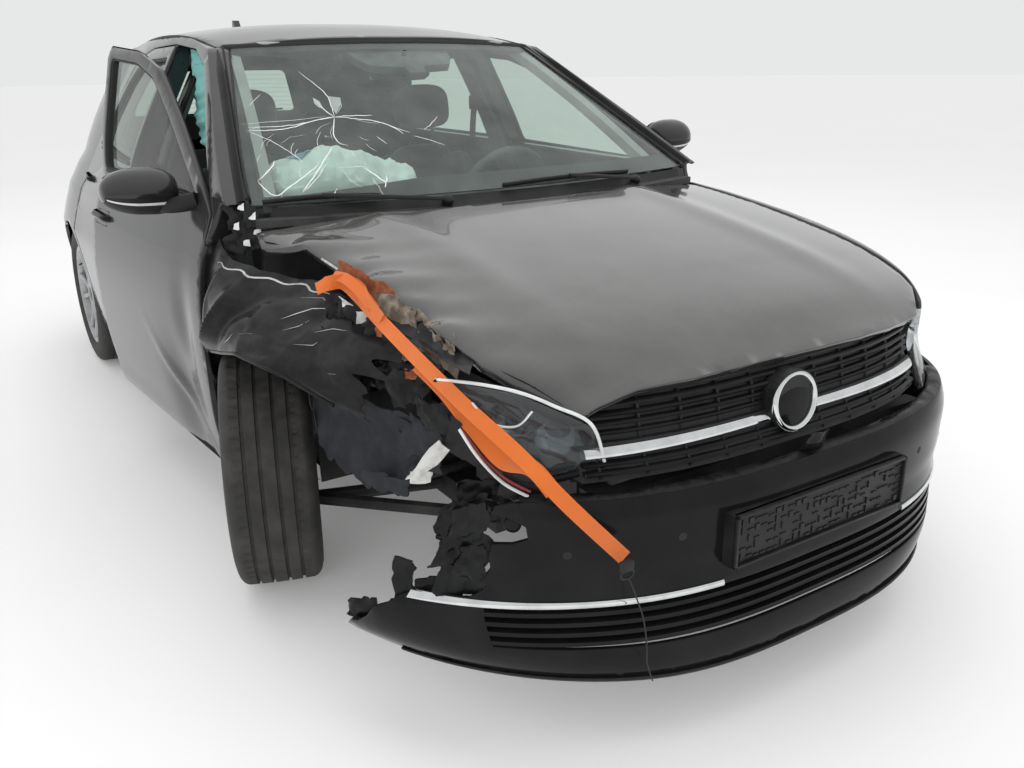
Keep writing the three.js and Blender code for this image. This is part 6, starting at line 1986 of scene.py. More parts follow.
# Door handles and rubbing lines
def handle(name, body, place, y0, z0, sign):
    """A pull bar over a shallow cup."""
    out = Vector((sign, 0, 0))
    cup = []
    for i in range(17):
        row = []
        for j in range(9):
            a, b = lerp(-1, 1, i / 16), lerp(-1, 1, j / 8)
            p = Vector(place(0)(y0 + a * 62, z0 + b * 24 - 2))
            deep = 1 - 3.2 * clamp(1 - a * a) ** 0.8 * clamp(1 - b * b) ** 0.8
            row.append((p + out * deep) * 0.001)
        cup.append(row)
    rows_grid(f"{name}_cup", cup, seal, body)
    rows = []
    for i in range(25):
        a = lerp(-1, 1, i / 24)
        p = Vector(place(0)(y0 + a * 92, z0 + 4 + 3 * a))
        stand = 24 * (1 - abs(a) ** 6) + 2
        half = 13 - 3.5 * a * a
        ring = [(p + out * (stand - 9 + 9 * math.cos(t) ** 3 if math.cos(t) > 0 else stand - 9 -
                            3 * -math.cos(t)) +
                 Vector((0, 0, half * math.sin(t)))) * 0.001 for t in [2 * PI * j / 14 for j in range(14)]]
        rows.append(ring)
    rows_grid(f"{name}_bar", rows, gloss_plastic, body, close_v=True, caps=True, sharp=60)


handle("handle_fl", "door_front_left", plain_place(1), 104, 850, 1)
handle("handle_rl", "door_rear_left", plain_place(1), 1040, 880, 1)
handle("handle_rr", "door_rear_right", plain_place(-1), 1040, 880, -1)
handle("handle_fr", "door_front_right", bent_place, 104, 850, -1)
for name, body, place, y0, y1, sign in (
        ("fl", "door_front_left", plain_place(1), -790, 150, 1), ("rl", "door_rear_left", plain_place(1),
                262, 1060, 1),
        ("rr", "door_rear_right", plain_place(-1), 262, 1060, -1), ("fr", "door_front_right", bent_place,
                -700, 150, -1)):
    rows = []
    for i in range(41):
        y = lerp(y0, y1, i / 40)
        z = (982 if y > -700 else 975) + 14 * clamp((y + 700) / 900) + (6 if name in ("rl", "rr") else 0)
        ring = []
        for dz, dx in ((-6, 0.5), (-4, 3.4), (0, 4.2), (4, 3.4), (6, 0.5)):
            p = Vector(place(0)(y, z + dz))
            ring.append((p + Vector((sign * dx, 0, 0))) * 0.001)
        rows.append(ring)
    rows_grid(f"waist_seal_{name}", rows, seal, body, thick=0.001)

# Tail lamps, tail trim
def rear_y_k(y, z):
    low, high = 0.0, 1.0
    for _ in range(30):
        mid = (low + high) / 2
        if wrap(mid, z, rear=True)[1] > y:
            low = mid
        else:
            high = mid
    return low * WRAP_SCALE


for sign in (1, -1):
    tag = mirrored_name(sign)
    loop = [(rear_k(569, z), z) for z in (724, 760, 820, 880, 922)]
    loop += [(rear_y_k(y, z), z) for y, z in ((1880, 927), (1766, 904), (1774, 748), (1900, 719))]

    def lamp_at(a, z, sign=sign):
        x, y, z = wrap(a / WRAP_SCALE, z, rear=True, inset=-0.8)
        return sign * x, y, z

    lens = panel(f"tail_lamp_{tag}_lens", loop, lamp_at, lens_red, "body", (sign, 1, 0), step=16, roll=3,
                 hem=16)
    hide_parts(f"tail_lamp_{tag}")
    for i, z in enumerate((752, 800, 850, 894)):
        route = []
        for j in range(13):
            k = lerp(rear_k(585, z), rear_y_k(1800, z), j / 12) / WRAP_SCALE
            x, y, zz = wrap(k, z, rear=True, inset=-2.2)
            route.append(mm(sign * x, y, zz))
        tube(f"tail_lamp_{tag}_rib_{i + 1}", route, 0.0028, lens_red if i % 3 else lens_smoke, "body", 8)

soft_box("rear_plate_tray", (-0.262, 2.072, 0.702), (0.262, 2.082, 0.828), plastic, "tailgate",
         radius=0.004)
soft_box("rear_plate_blank", (-0.256, 2.082, 0.71), (0.256, 2.0835, 0.82), white_plastic, "tailgate",
         radius=0.0007)
REAR_BADGE = Vector((0, tail_skin(0, 905) + 2, 905))
lathe("rear_badge_ring", REAR_BADGE, (0, 1, 0.18), [(52, -8), (52, 3), (49, 6), (45, 6), (43, 3),
                                                    (43, -2), (52, -8)], chrome,
      "tailgate", 64, 60)
lathe("rear_badge_face", REAR_BADGE, (0, 1, 0.18), [(44, 0), (30, 2), (0.5, 3)], gloss_plastic,
      "tailgate", 64, 60)
ring = rounded(grown(REAR_GLASS, 26), 34)
panel("rear_glass_frame", ring, tail_place(6), seal, "tailgate", (0, 1, 0.3),
      holes=[rounded(grown(REAR_GLASS, -22), 26)], step=30,
      roll=2, hem=10)
for i in range(9):
    z = 1080 + i * 23
    half = 425 - (z - 1052) * 0.32
    tube(f"rear_heater_{i + 1}", [mm(x, tail_skin(x, z, 17.5), z) for x in [lerp(-half, half, j / 16)
            for j in range(17)]], 0.0006,
         rust, "tailgate", 4)
soft_box("rear_stop_lamp", (-0.15, 1.802, 1.345), (0.15, 1.816, 1.358), lens_red, "tailgate", radius=0.003)
pivot = Vector((0, tail_skin(0, 1030) + 6, 1030))
button("rear_wiper_pivot", pivot - Vector((0, 6, 0)), (0, 1, 0.3), 17, 9, plastic, "tailgate")
tube("rear_wiper_arm", [mm(0, pivot.y + 8, 1030), mm(90, tail_skin(90, 1052) + 12, 1052),
                        mm(210, tail_skin(210, 1072) + 4, 1072)],
     0.006, plastic, "tailgate", 8, 6, flat=0.6)
tube("rear_wiper_blade", [mm(x, tail_skin(x, 1064 + 0.05 * x) - 8, 1064 + 0.05 * x) for x in (60, 140,
        220, 300, 370)], 0.0055,
     seal, "tailgate", 8, 5)
for sign in (1, -1):
    tag = mirrored_name(sign)
    route = [mm(*wrap(sign * k, 300, rear=True, inset=-1.0)) for k in [lerp(0.26, 0.40, j / 12)
            for j in range(13)]]
    tube(f"rear_reflector_{tag}", route, 0.007, lens_red, "body", 10, flat=1.5)
rows = []
for i in range(61):
    k = lerp(-0.62, 0.62, i / 60)
    rows.append([mm(*wrap(k, z, rear=True, inset=inset)) for z, inset in ((186, 26), (190, -1.5),
            (236, -1.8), (276, -1.6), (282, 2))])
rows_grid("rear_valance", rows, plastic, "body", sharp=40)

# Windscreen
def screen_point(k, t, lift=0.6):
    bulge = 16 * math.sin(PI * t) * (1 - k * k)
    x = k * lerp(752, 566, t)
    y = lerp(-992 + 108 * k * k, -268 + 80 * k * k, t)
    z = lerp(985, 1393 - 14 * k * k, t)
    return x, y - (bulge + lift) * 0.49, z + (bulge + lift) * 0.87


screen = grid("screen_pane", 48, 32, lambda u,
              v: mm(*screen_point(lerp(-0.995, 0.995, u), lerp(0.004, 0.996, v), 0)), glass_screen,
              "body")
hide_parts("windscreen")


def screen_strip(name, loop_low, loop_high, look, lift, n=60):
    rows = []
    for i in range(n + 1):
        u = i / n
        (k0, t0), (k1, t1) = loop_low(u), loop_high(u)
        rows.append([mm(*screen_point(lerp(k0, k1, j / 5), lerp(t0, t1, j / 5), lift)) for j in range(6)])
    return rows_grid(name, rows, look, "body")


screen_strip("screen_band_low", lambda u: (lerp(-0.99, 0.99, u), 0.006),
             lambda u: (lerp(-0.95, 0.95, u), 0.052 + 0.05 * clamp(u * 4 - 0.3)), frit, -5.2)
screen_strip("screen_band_top", lambda u: (lerp(-0.99, 0.99, u), 0.994), lambda u: (lerp(-0.95, 0.95, u),
        0.955), frit, -5.2)
for sign in (-1, 1):
    screen_strip(f"screen_band_{mirrored_name(sign)}", lambda u, s=sign: (s * 0.992, lerp(0.006, 0.994, u)),
                 lambda u, s=sign: (s * 0.955, lerp(0.03, 0.97, u)), frit, -5.3)
    edge = [mm(*screen_point(sign * 1.0, t, 1.5)) for t in [lerp(-0.01, 1.0, j / 20) for j in range(21)]]
    tube(f"screen_trim_{mirrored_name(sign)}", edge, 0.008, seal, "body", 8, flat=0.5)
    cover = [mm(sign * (abs(x) + 17), y + 6, z + 1) for x, y,
             z in [screen_point(1.0, t, 2) for t in [lerp(0.0, 0.965, j / 24) for j in range(25)]]]
    tube(f"pillar_cover_{mirrored_name(sign)}", cover, 0.02, gloss_plastic, "body", 16, flat=0.55,
         taper=lambda t: min(1, 0.35 + 4 * (1 - t)))
tube("screen_trim_top", [mm(*screen_point(k, 1.0, 0.5)) for k in [lerp(-1, 1, j / 30)
        for j in range(31)]], 0.011, seal, "body", 8,
     flat=0.5)
patch = [(-0.34, 0.97), (-0.30, 0.90), (-0.262, 0.858), (-0.225, 0.838), (-0.06, 0.824), (-0.052, 0.778),
         (0.045, 0.778),
         (0.07, 0.832), (0.25, 0.848), (0.30, 0.90), (0.33, 0.97)]
panel("screen_sensor_cover", [(k * 600, t * 800) for k, t in patch], lambda a, b: screen_point(a / 600,
        b / 800, -16), trim, "body",
      (0, -0.5, 0.9), step=16, roll=3, hem=26)

# Cracks: strips along the glass, from a star and along its lower right edge
CRACKS = [
    ([(-0.957, 0.44), (-0.809, 0.432), (-0.711, 0.441), (-0.613, 0.463), (-0.584, 0.463)], 3.4),
    ([(-0.959, 0.422), (-0.865, 0.413), (-0.778, 0.418), (-0.682, 0.448), (-0.584, 0.463)], 3.6),
    ([(-0.584, 0.463), (-0.505, 0.461), (-0.416, 0.457)], 3.6),
    ([(-0.584, 0.463), (-0.496, 0.444), (-0.403, 0.414), (-0.347, 0.368), (-0.328, 0.333)], 3.6),
    ([(-0.403, 0.414), (-0.345, 0.373), (-0.292, 0.338)], 2.2),
    ([(-0.287, 0.317), (-0.237, 0.293), (-0.173, 0.253)], 2.2),
    ([(-0.584, 0.463), (-0.609, 0.503), (-0.629, 0.56), (-0.642, 0.595)], 3.2),
    ([(-0.584, 0.463), (-0.577, 0.533), (-0.575, 0.611), (-0.611, 0.697), (-0.658, 0.787)], 2.6),
    ([(-0.584, 0.463), (-0.605, 0.408), (-0.62, 0.354), (-0.61, 0.309), (-0.582, 0.287)], 3.0),
    ([(-0.959, 0.422), (-0.875, 0.354), (-0.803, 0.263), (-0.775, 0.213)], 2.0),
    ([(-0.95, 0.131), (-0.936, 0.094), (-0.898, 0.046), (-0.84, 0.093), (-0.755, 0.165), (-0.715, 0.207)],
     3.6),
    ([(-0.95, 0.131), (-0.9, 0.19), (-0.876, 0.234)], 3.4),
    ([(-0.807, 0.055), (-0.756, 0.129), (-0.683, 0.231), (-0.641, 0.293)], 3.4),
    ([(-0.804, 0.055), (-0.747, 0.119), (-0.678, 0.212)], 2.0),
    ([(-0.555, 0.163), (-0.529, 0.124), (-0.498, 0.081), (-0.485, 0.111)], 4.4),
    ([(-0.498, 0.081), (-0.511, 0.052)], 3.2), ([(-0.66, 0.173), (-0.566, 0.168), (-0.555, 0.163),
                                                 (-0.503, 0.086)], 1.8),
    ([(-0.449, 0.332), (-0.418, 0.282)], 2.0), ([(-0.119, 0.428), (-0.178, 0.379), (-0.224, 0.352)], 2.0),
    ([(-0.977, 0.464), (-0.857, 0.464), (-0.733, 0.464), (-0.619, 0.47)], 1.6),
    ([(-0.929, 0.574), (-0.864, 0.649)], 1.6)]
picks = random.Random(5)
for i in range(26):
    k, t = picks.uniform(-0.93, -0.5), picks.uniform(0.06, 0.5)
    a = math.atan2(t - 0.463, (k + 0.584)) + picks.uniform(-0.5, 0.5)
    r = picks.uniform(0.02, 0.07)
    CRACKS.append(([(k, t), (k + r * math.cos(a), t + r * math.sin(a)), (k + 1.8 * r * math.cos(a + 0.2),
            t + 1.8 * r * math.sin(a + 0.2))],
                   picks.uniform(0.7, 1.3)))
for i, (line, width) in enumerate(CRACKS):
    fine = curve_through([Vector((a, b, 0)) for a, b in line], 5)
    wob = [(clamp(p.x + 0.003 * noise.noise(p * 40), -0.985, 0.985),
            clamp(p.y + 0.004 * noise.noise(p * 40 + Vector((0, 0, 5))), 0.01, 1))
           for p in fine]
    ribbon(f"crack_{i + 1}", wob, width, crack_white, "body", lambda a, b: screen_point(a, b, 0.9),
           lift=0.3)
for i, loop in enumerate((
        [(-0.568, 0.599), (-0.519, 0.583), (-0.528, 0.544), (-0.572, 0.478), (-0.577, 0.511)],
        [(-0.642, 0.595), (-0.619, 0.57), (-0.616, 0.515), (-0.637, 0.533), (-0.646, 0.556)])):
    verts = [mm(*screen_point(a, b, 1.6)) for a, b in loop]
    make(f"glass_flake_{i + 1}", verts, [tuple(range(len(verts)))], crushed_glass, "body")

# Wipers at the foot of the screen
for tag, k0, k1, pivot_k in (("right", -0.95, -0.55, -0.30), ("left", -0.05, 0.60, 0.62)):
    blade = [mm(*screen_point(lerp(k0, k1, j / 16), 0.004 + 0.012 * math.sin(PI * j / 16), 9))
             for j in range(17)]
    tube(f"wiper_{tag}_blade", blade, 0.006, seal, "body", 8, flat=1.3)
    mid = lerp(k0, k1, 0.5)
    arm = [mm(*screen_point(pivot_k, -0.035, 6)), mm(*screen_point(lerp(pivot_k, mid, 0.6), -0.015, 18)),
           mm(*screen_point(mid, 0.012, 16))]
    tube(f"wiper_{tag}_arm", arm, 0.007, plastic, "body", 8, 8, flat=0.6)
    button(f"wiper_{tag}_pivot", Vector(screen_point(pivot_k, -0.035, 2)), (0, -0.49, 0.87), 16, 8, plastic)
rows = []
for i in range(49):
    k = lerp(-0.93, 0.97, i / 48)
    y = -1062 + 130 * k * k + 14
    x = k * (smooth(BONNET_EDGE, y) - 12)
    foot = Vector(screen_point(k * 0.99, 0.0, -7))
    back = Vector((x, y, bonnet_z(x, y) - 18))
    rows.append([(back.lerp(foot, j / 5) + Vector((0, 0, -6 * math.sin(PI * j / 5)))) * 0.001
                 for j in range(6)])
rows_grid("scuttle_cover", rows, plastic, "body")

# Aerial fin, roof gutters
fin = []
for i in range(15):
    y = lerp(1378, 1480, i / 14)
    base = roof_z(0, y) - 2
    top = along([(1378, 1412), (1395, 1450), (1445, 1514), (1462, 1518), (1472, 1484), (1482, 1400)], y)
    half = 13 * (1 - abs(2 * i / 14 - 1) ** 3) + 1.5
    fin.append([mm(half * math.cos(a) * (1 if math.sin(a) < 0.2 else 0.55), y,
                   lerp(base, max(base + 2, top), clamp(math.sin(a))))
                for a in [lerp(0, PI, j / 10) for j in range(11)]])
rows_grid("aerial_fin", fin, gloss_plastic, "body", caps=True, sharp=60)
for sign in (1, -1):
    edge = [mm(sign * (roof_half(y) + 1), y, roof_z(roof_half(y), y) - 1)
            for y in [lerp(-180, 1760, j / 40) for j in range(41)]]
    tube(f"roof_gutter_{mirrored_name(sign)}", edge, 0.0045, seal, "body", 8)

# Cabin: soft pieces
def pad(name, centre, size, look, body="body", power=5.0, cells=22, shape=None, turn=None):
    """A stuffed block with crowned faces, in millimetres; shape(a, b, c) moves points, a..c -1..1."""
    found, verts, faces = {}, [], []

    def spot(p):
        key = tuple(round(c, 5) for c in p)
        if key not in found:
            n = (abs(p[0]) ** power + abs(p[1]) ** power + abs(p[2]) ** power) ** (1 / power)
            q = Vector(p) / n
            found[key] = len(verts)
            v = Vector((q.x * size[0] / 2, q.y * size[1] / 2, q.z * size[2] / 2))
            if shape:
                v += Vector(shape(*q))
            if turn:
                v = turn @ v
            verts.append((v + Vector(centre)) * 0.001)
        return found[key]

    for axis in range(3):
        for side in (-1, 1):
            for i in range(cells):
                for j in range(cells):
                    quad = []
                    for di, dj in ((0, 0), (1, 0), (1, 1), (0, 1)):
                        u, v = -1 + 2 * (i + di) / cells, -1 + 2 * (j + dj) / cells
                        p = [0, 0, 0]
                        p[axis], p[(axis + 1) % 3], p[(axis + 2) % 3] = side, u, v
                        quad.append(spot(p))
                    faces.append(tuple(quad if side > 0 else quad[::-1]))
    return make(name, verts, faces, look, body)


def groove(x, lines, width, deep):
    return -sum(deep * math.exp(-((x - c) / width) ** 2) for c in lines)


def front_seat(tag, x0):
    """Base cushion, side bolsters, backrest and headrest of one front seat."""
    def base_shape(a, b, c):
        top = clamp(c)
        crown = 16 * top * (1 - a * a) * (1 - b * b)
        front = 22 * clamp(-b) ** 2 * top
        return 0, 0, crown + front + groove(b, (-0.42, 0.0, 0.42), 0.045, 7) * top + groove(abs(a),
                (0.62,), 0.05, 10) * top

    base = pad(f"seat_{tag}_base", (x0, -75, 402), (330, 500, 100), cloth, shape=base_shape, cells=26,
               turn=Matrix.Rotation(math.radians(-4), 3, "X"))
    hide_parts(f"seat_front_{tag}")
    for side in (-1, 1):
        word = "inner" if side * x0 < 0 else "outer"
        roll_ = pad(f"seat_{tag}_bolster_{word}", (x0 + side * 196, -70, 415), (88, 490, 118), cloth_side,
                    power=3.4, cells=14,
                    shape=lambda a, b, c, s=side: (-s * 8 * clamp(c), 0, 10 * clamp(c) * (1 - b * b)),
                    turn=Matrix.Rotation(math.radians(-4), 3, "X"))
    lean = Matrix.Rotation(math.radians(-13.5), 3, "X")

    def back_shape(a, b, c):
        front = clamp(-b)
        lumbar = 14 * math.exp(-((c + 0.35) / 0.4) ** 2) * front
        return (-18 * a * clamp(c) ** 2, -(lumbar + 12 * (1 - a * a) * (1 - c * c) * front)
                - groove(c, (-0.55, -0.1, 0.35, 0.75), 0.035, 7) * front - groove(abs(a), (0.62,), 0.05,
                        10) * front, 0)

    back = pad(f"seat_{tag}_back", (x0, 243, 712), (320, 118, 585), cloth, shape=back_shape, cells=28,
               turn=lean)
    for side in (-1, 1):
        word = "inner" if side * x0 < 0 else "outer"
        wing_ = pad(f"seat_{tag}_wing_{word}", (x0 + side * 192, 222, 700), (92, 150, 540), cloth_side,
                    power=3.6, cells=16,
                    shape=lambda a, b, c, s=side: (-s * (10 * clamp(-b) + 26 * clamp(c) ** 2),
                                                   -16 * clamp(-b) * (1 - c * c), 0), turn=lean)
    head = pad(f"seat_{tag}_headrest", (x0, 282, 1152), (238, 92, 172), cloth_side, power=3.6, cells=18,
               shape=lambda a, b, c: (0, -9 * clamp(-b) * (1 - a * a), -10 * a * a * clamp(c)),
               turn=Matrix.Rotation(math.radians(-8), 3, "X"))
    for side in (-1, 1):
        tube(f"seat_{tag}_post_{'a' if side < 0 else 'b'}", [mm(x0 + side * 55, 300, 975),
                mm(x0 + side * 55, 292, 1080)], 0.007,
             chrome, "body", 12)
    soft_box(f"seat_{tag}_frame", ((x0 - 205) / 1000, -0.30, 0.205), ((x0 + 205) / 1000, 0.17, 0.345),
             plastic, "body", radius=0.02)
    for side in (-1, 1):
        soft_box(f"seat_{tag}_rail_{'a' if side < 0 else 'b'}", ((x0 + side * 170 - 18) / 1000, -0.34,
                0.191),
                 ((x0 + side * 170 + 18) / 1000, 0.24, 0.212), steel, "body", radius=0.004)
        soft_box(f"seat_{tag}_cover_{'a' if side < 0 else 'b'}", ((x0 + side * 238 - 8) / 1000, -0.28,
                0.29),
                 ((x0 + side * 238 + 8) / 1000, 0.28, 0.40), plastic, "body", radius=0.007)
    panel(f"seat_{tag}_back_board", rounded([(x0 - 190, 470), (x0 + 190, 470), (x0 + 165, 970),
                                             (x0 - 165, 970)], 60),
          lambda a, z: (a, 280 + (z - 470) * 0.125 + 18 - 14 * ((a - x0) / 190) ** 2, z), trim, "body",
          (0, 1, -0.2), step=40,
          roll=5, hem=16)


front_seat("left", 370)
front_seat("right", -370)


def bench_shape(a, b, c):
    top = clamp(c)
    return 0, 0, 14 * top * (1 - b * b) * (0.6 + 0.4 * math.cos(3 * PI * a)) + groove(abs(a), (0.33,),
            0.02, 12) * top \
        + groove(b, (-0.3, 0.3), 0.05, 6) * top


base = pad("bench_base", (0, 975, 378), (1190, 350, 96), cloth, shape=bench_shape, cells=34)
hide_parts("rear_bench")
lean = Matrix.Rotation(math.radians(-16.5), 3, "X")


def bench_back_shape(a, b, c):
    front = clamp(-b)
    return 0, -(12 * front * (1 - c * c) * (0.6 + 0.4 * math.cos(3 * PI * a))) - groove(abs(a), (0.33,),
            0.02, 12) * front \
        - groove(c, (-0.35, 0.3), 0.04, 6) * front, 0


back = pad("bench_back", (0, 1252, 672), (1170, 112, 560), cloth, shape=bench_back_shape, cells=34,
           turn=lean)
for i, x in enumerate((-370, 0, 370)):
    head = pad(f"bench_headrest_{i + 1}", (x, 1338, 1046), (232 if x else 190, 74, 122), cloth_side,
               power=3.6, cells=14,
               shape=lambda a, b, c: (0, -8 * clamp(-b) * (1 - a * a), -8 * a * a * clamp(c)))
    for s in (-1, 1):
        tube(f"bench_post_{i + 1}_{'a' if s < 0 else 'b'}", [mm(x + s * 45, 1336, 925),
                mm(x + s * 45, 1336, 1000)], 0.006, chrome,
             "body", 10)

# Belts: webbing on the pillars, with their upper anchors and buckles
for sign in (-1, 1):
    tag = mirrored_name(sign)
    belt = [(sign * 612, 262, 1150), (sign * 600, 262, 1000), (sign * 610, 262, 700),
            (sign * 625, 250, 330)]
    pts = curve_through([Vector(p) for p in belt], 8)
    rows = [[(p + Vector((0, dy, 0)) + Vector((dx * sign, 0, 0))) * 0.001 for dy,
             dx in ((-23, 0), (23, 0), (23, 1.4), (-23, 1.4))]
            for p in pts]
    rows_grid(f"belt_{tag}", rows, seal, "body", close_v=True, caps=True, sharp=50)
    soft_box(f"belt_anchor_{tag}", (min(sign * 0.600, sign * 0.622), 0.235, 1.13),
             (max(sign * 0.600, sign * 0.622), 0.29, 1.19), plastic,
             "body", radius=0.008)
    soft_box(f"belt_buckle_{tag}", ((sign * 130 - 12) / 1000, 0.09, 0.36), ((sign * 130 + 12) / 1000,
            0.125, 0.47), plastic, "body",
             radius=0.005)
    tube(f"belt_stalk_{tag}", [mm(sign * 130, 108, 370), mm(sign * 132, 120, 300),
                               mm(sign * 150, 150, 250)], 0.006, plastic, "body", 8, 4)

# Dashboard, column and steering wheel
def dash_profile(u, x):
    pts = [(-856, 905), (-820, 944), (-720, 955), (-620, 954), (-560, 930), (-524, 890), (-520, 830),
           (-535, 770), (-560, 700), (-602, 622)]
    t = u * (len(pts) - 1)
    i = min(len(pts) - 2, int(t))
    y, z = lerp(pts[i][0], pts[i + 1][0], t - i), lerp(pts[i][1], pts[i + 1][1], t - i)
    hump = 26 * math.exp(-((x - 370) / 150) ** 4) * clamp(1 - abs(y + 600) / 130)
    centre = 10 * math.exp(-(x / 150) ** 4)
    return y - centre * clamp((u - 0.4) * 4), z + hump + 2


rows = [[mm(x, *dash_profile(j / 40, x)) for j in range(41)] for x in [lerp(-632, 632, i / 90)
        for i in range(91)]]
rows_grid("dash_top", rows, trim, "body", sharp=50)
soft_box("dash_screen", (-0.105, -0.5395, 0.775), (0.105, -0.512, 0.892), gloss_plastic, "body",
         radius=0.006)
soft_box("dash_heater", (-0.105, -0.547, 0.69), (0.105, -0.53, 0.76), plastic, "body", radius=0.005)
for i, x in enumerate((-75, 0, 75)):
    button(f"dash_knob_{i + 1}", (x, -530, 724), (0, 1, -0.15), 17, 14, plastic)
for i, x in enumerate((-560, -150, 150, 560)):
    soft_box(f"dash_vent_{i + 1}", ((x - 50) / 1000, -0.532, 0.832), ((x + 50) / 1000, -0.512, 0.884),
             gloss_plastic, "body", radius=0.006)
    for j in range(4):
        soft_box(f"dash_vent_blade_{i + 1}_{j + 1}", ((x - 42) / 1000, -0.518, 0.8395 + 0.0115 * j),
                 ((x + 42) / 1000, -0.5085, 0.8425 + 0.0115 * j), plastic, "body", radius=0.001, segments=1)
soft_box("dash_glovebox", (-0.56, -0.552, 0.655), (-0.17, -0.53, 0.80), trim, "body", radius=0.012)
soft_box("console", (-0.118, -0.56, 0.30), (0.118, 0.10, 0.415), trim, "body", radius=0.02)
soft_box("console_armrest", (-0.085, -0.02, 0.415), (0.085, 0.27, 0.56), trim, "body", radius=0.03)
tube("gear_lever", [mm(0, -390, 412), mm(0, -382, 470), mm(0, -375, 505)], 0.009, chrome, "body", 12)
pad("gear_gaiter", (0, -388, 430), (95, 110, 60), trim, power=2.4, cells=12)
pad("gear_knob", (0, -373, 520), (46, 52, 56), gloss_plastic, power=2.6, cells=10)
tube("park_lever", [mm(48, -160, 425), mm(48, -100, 436), mm(48, -30, 446)], 0.013, plastic, "body", 12, 4)
column = Vector((0, -345 + 640, 862 - 740)).normalized()
ring_mid = Vector((370, -345, 862))
wheel_up = Vector((1, 0, 0)).cross(column).normalized()


def ring_at(a, r, lift=0.0):
    return ring_mid + (Vector((1, 0, 0)) * math.cos(a) + wheel_up * math.sin(a)) * r + column * lift


rows = []
for i in range(97):
    a = 2 * PI * i / 96
    out = (ring_at(a, 1) - ring_mid).normalized()
    flat = 0.94 if -2.3 < math.atan2(math.sin(a), math.cos(a)) < -0.85 else 1.0
    rows.append([(ring_at(a, 178 * flat) + out * 14.5 * math.cos(b) + column * 16 * math.sin(b)) * 0.001
                 for b in [2 * PI * j / 18 for j in range(18)]])
ring = rows_grid("wheel_ring", rows, trim, "steering_wheel", close_v=True, sharp=60)
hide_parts("steering_wheel")
for i, a in enumerate((0, PI, -PI / 2)):
    side = Vector((0, 0, 0)) + (ring_at(a + PI / 2, 1) - ring_mid)
    rows = []
    for j in range(9):
        r = lerp(40, 168, j / 8)
        p = ring_at(a, r, lerp(-4, -2, j / 8))
        half = lerp(24, 15, j / 8)
        rows.append([(p + side * w * half + column * h) * 0.001 for w, h in ((-1, -6), (-1, 4), (-0.7, 7),
                (0.7, 7), (1, 4), (1, -6))])
    rows_grid(f"wheel_spoke_{i + 1}", rows, plastic, "steering_wheel", close_v=True, caps=True, sharp=50)
lathe("wheel_hub", ring_mid, column, [(58, -30), (64, -12), (64, 8), (58, 20), (40, 27), (1, 30)], trim,
      "steering_wheel", 56, 60)
lathe("wheel_badge", ring_mid + column * 28, column, [(26, -2), (26, 2), (22, 3.4), (20, 1), (1, 2)],
      gloss_plastic, "steering_wheel", 40,
      60)
lathe("wheel_shaft", ring_mid, column, [(24, -74), (24, -28)], plastic, "steering_wheel", 28, 60)
for i, side in enumerate((-1, 1)):
    p = ring_mid - column * 92
    tube(f"column_stalk_{i + 1}", [(p + Vector((side * 30, 0, 0))) * 0.001,
                                   (p + Vector((side * 120, 8, 22))) * 0.001,
                                   (p + Vector((side * 170, 14, 30))) * 0.001], 0.007, plastic, "body",
                                   10, 4)
binnacle = [[mm(370 + 165 * math.cos(a) * (1 - 0.12 * v), lerp(-640, -520, v),
                905 + (78 - 10 * v) * max(0, math.sin(a)))
             for a in [lerp(0, PI, j / 24) for j in range(25)]] for v in [i / 8 for i in range(9)]]
rows_grid("dash_binnacle", binnacle, trim, "body", thick=0.004)
for i, x in enumerate((300, 440)):
    lathe(f"dash_dial_{i + 1}", (x, -560, 925), (0, 1, 0.25), [(54, -4), (54, 2), (49, 3), (48, 0),
            (1, 0)], gloss_plastic, "body", 40, 60)
for i, (x, w) in enumerate(((300, 90), (400, 55), (455, 55))):
    soft_box(f"pedal_{i + 1}", ((x - w / 2) / 1000, -0.792, 0.30 if i == 0 else 0.34),
             ((x + w / 2) / 1000, -0.776, 0.37 if i else 0.45),
             plastic, "body", radius=0.005)

# Burst passenger airbag and curtain airbag
def bag_point(u, v):
    """The collapsed bag over the dashboard: a crumpled pouch, u round it and v from left to right."""
    a, b = 2 * PI * u, lerp(-PI / 2, PI / 2, v)
    ring = math.cos(b) ** 0.55
    p = Vector((-392 + 232 * math.sin(b), -640 + 135 * ring * math.cos(a), 1000 + 88 * ring * math.sin(a)))
    q = p * 0.0095
    low = clamp((1000 - p.z) / 60)
    fold = 30 * noise.noise(q) + 17 * abs(noise.noise(q * 2.3 + Vector((4, 0, 0)))) + 7 * noise.noise(q * 5)
    ridge = 10 * abs(math.sin(p.x * 0.035 + p.y * 0.02 + 3 * noise.noise(q * 1.5)))
    lump = 30 * math.exp(-((p.x + 420) / 110) ** 2) - 24 * math.exp(-((p.x + 240) / 80) ** 2)
    p += Vector((0.25 * fold, -0.3 * fold, (fold + ridge + lump - 22) * (1 - low)))
    p.z = max(p.z, 957.5 + 2 * math.sin(p.x * 0.05))
    return p * 0.001


rows = [[bag_point(j / 96, lerp(0.012, 0.988, i / 110)) for j in range(96)] for i in range(111)]
bag = rows_grid("airbag_cloth", rows, nylon_pale, "body", close_v=True, caps=True)
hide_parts("airbag_passenger")
label = [(-560, -690), (-500, -710), (-488, -640), (-548, -628)]


def bag_top(x, y):
    best = max((p for row in rows for p in row if abs(p.x * 1000 - x) < 9 and abs(p.y * 1000 - y) < 9),
               key=lambda p: p.z, default=None)
    return x, y, (best.z * 1000 if best else 1000) + 1.2


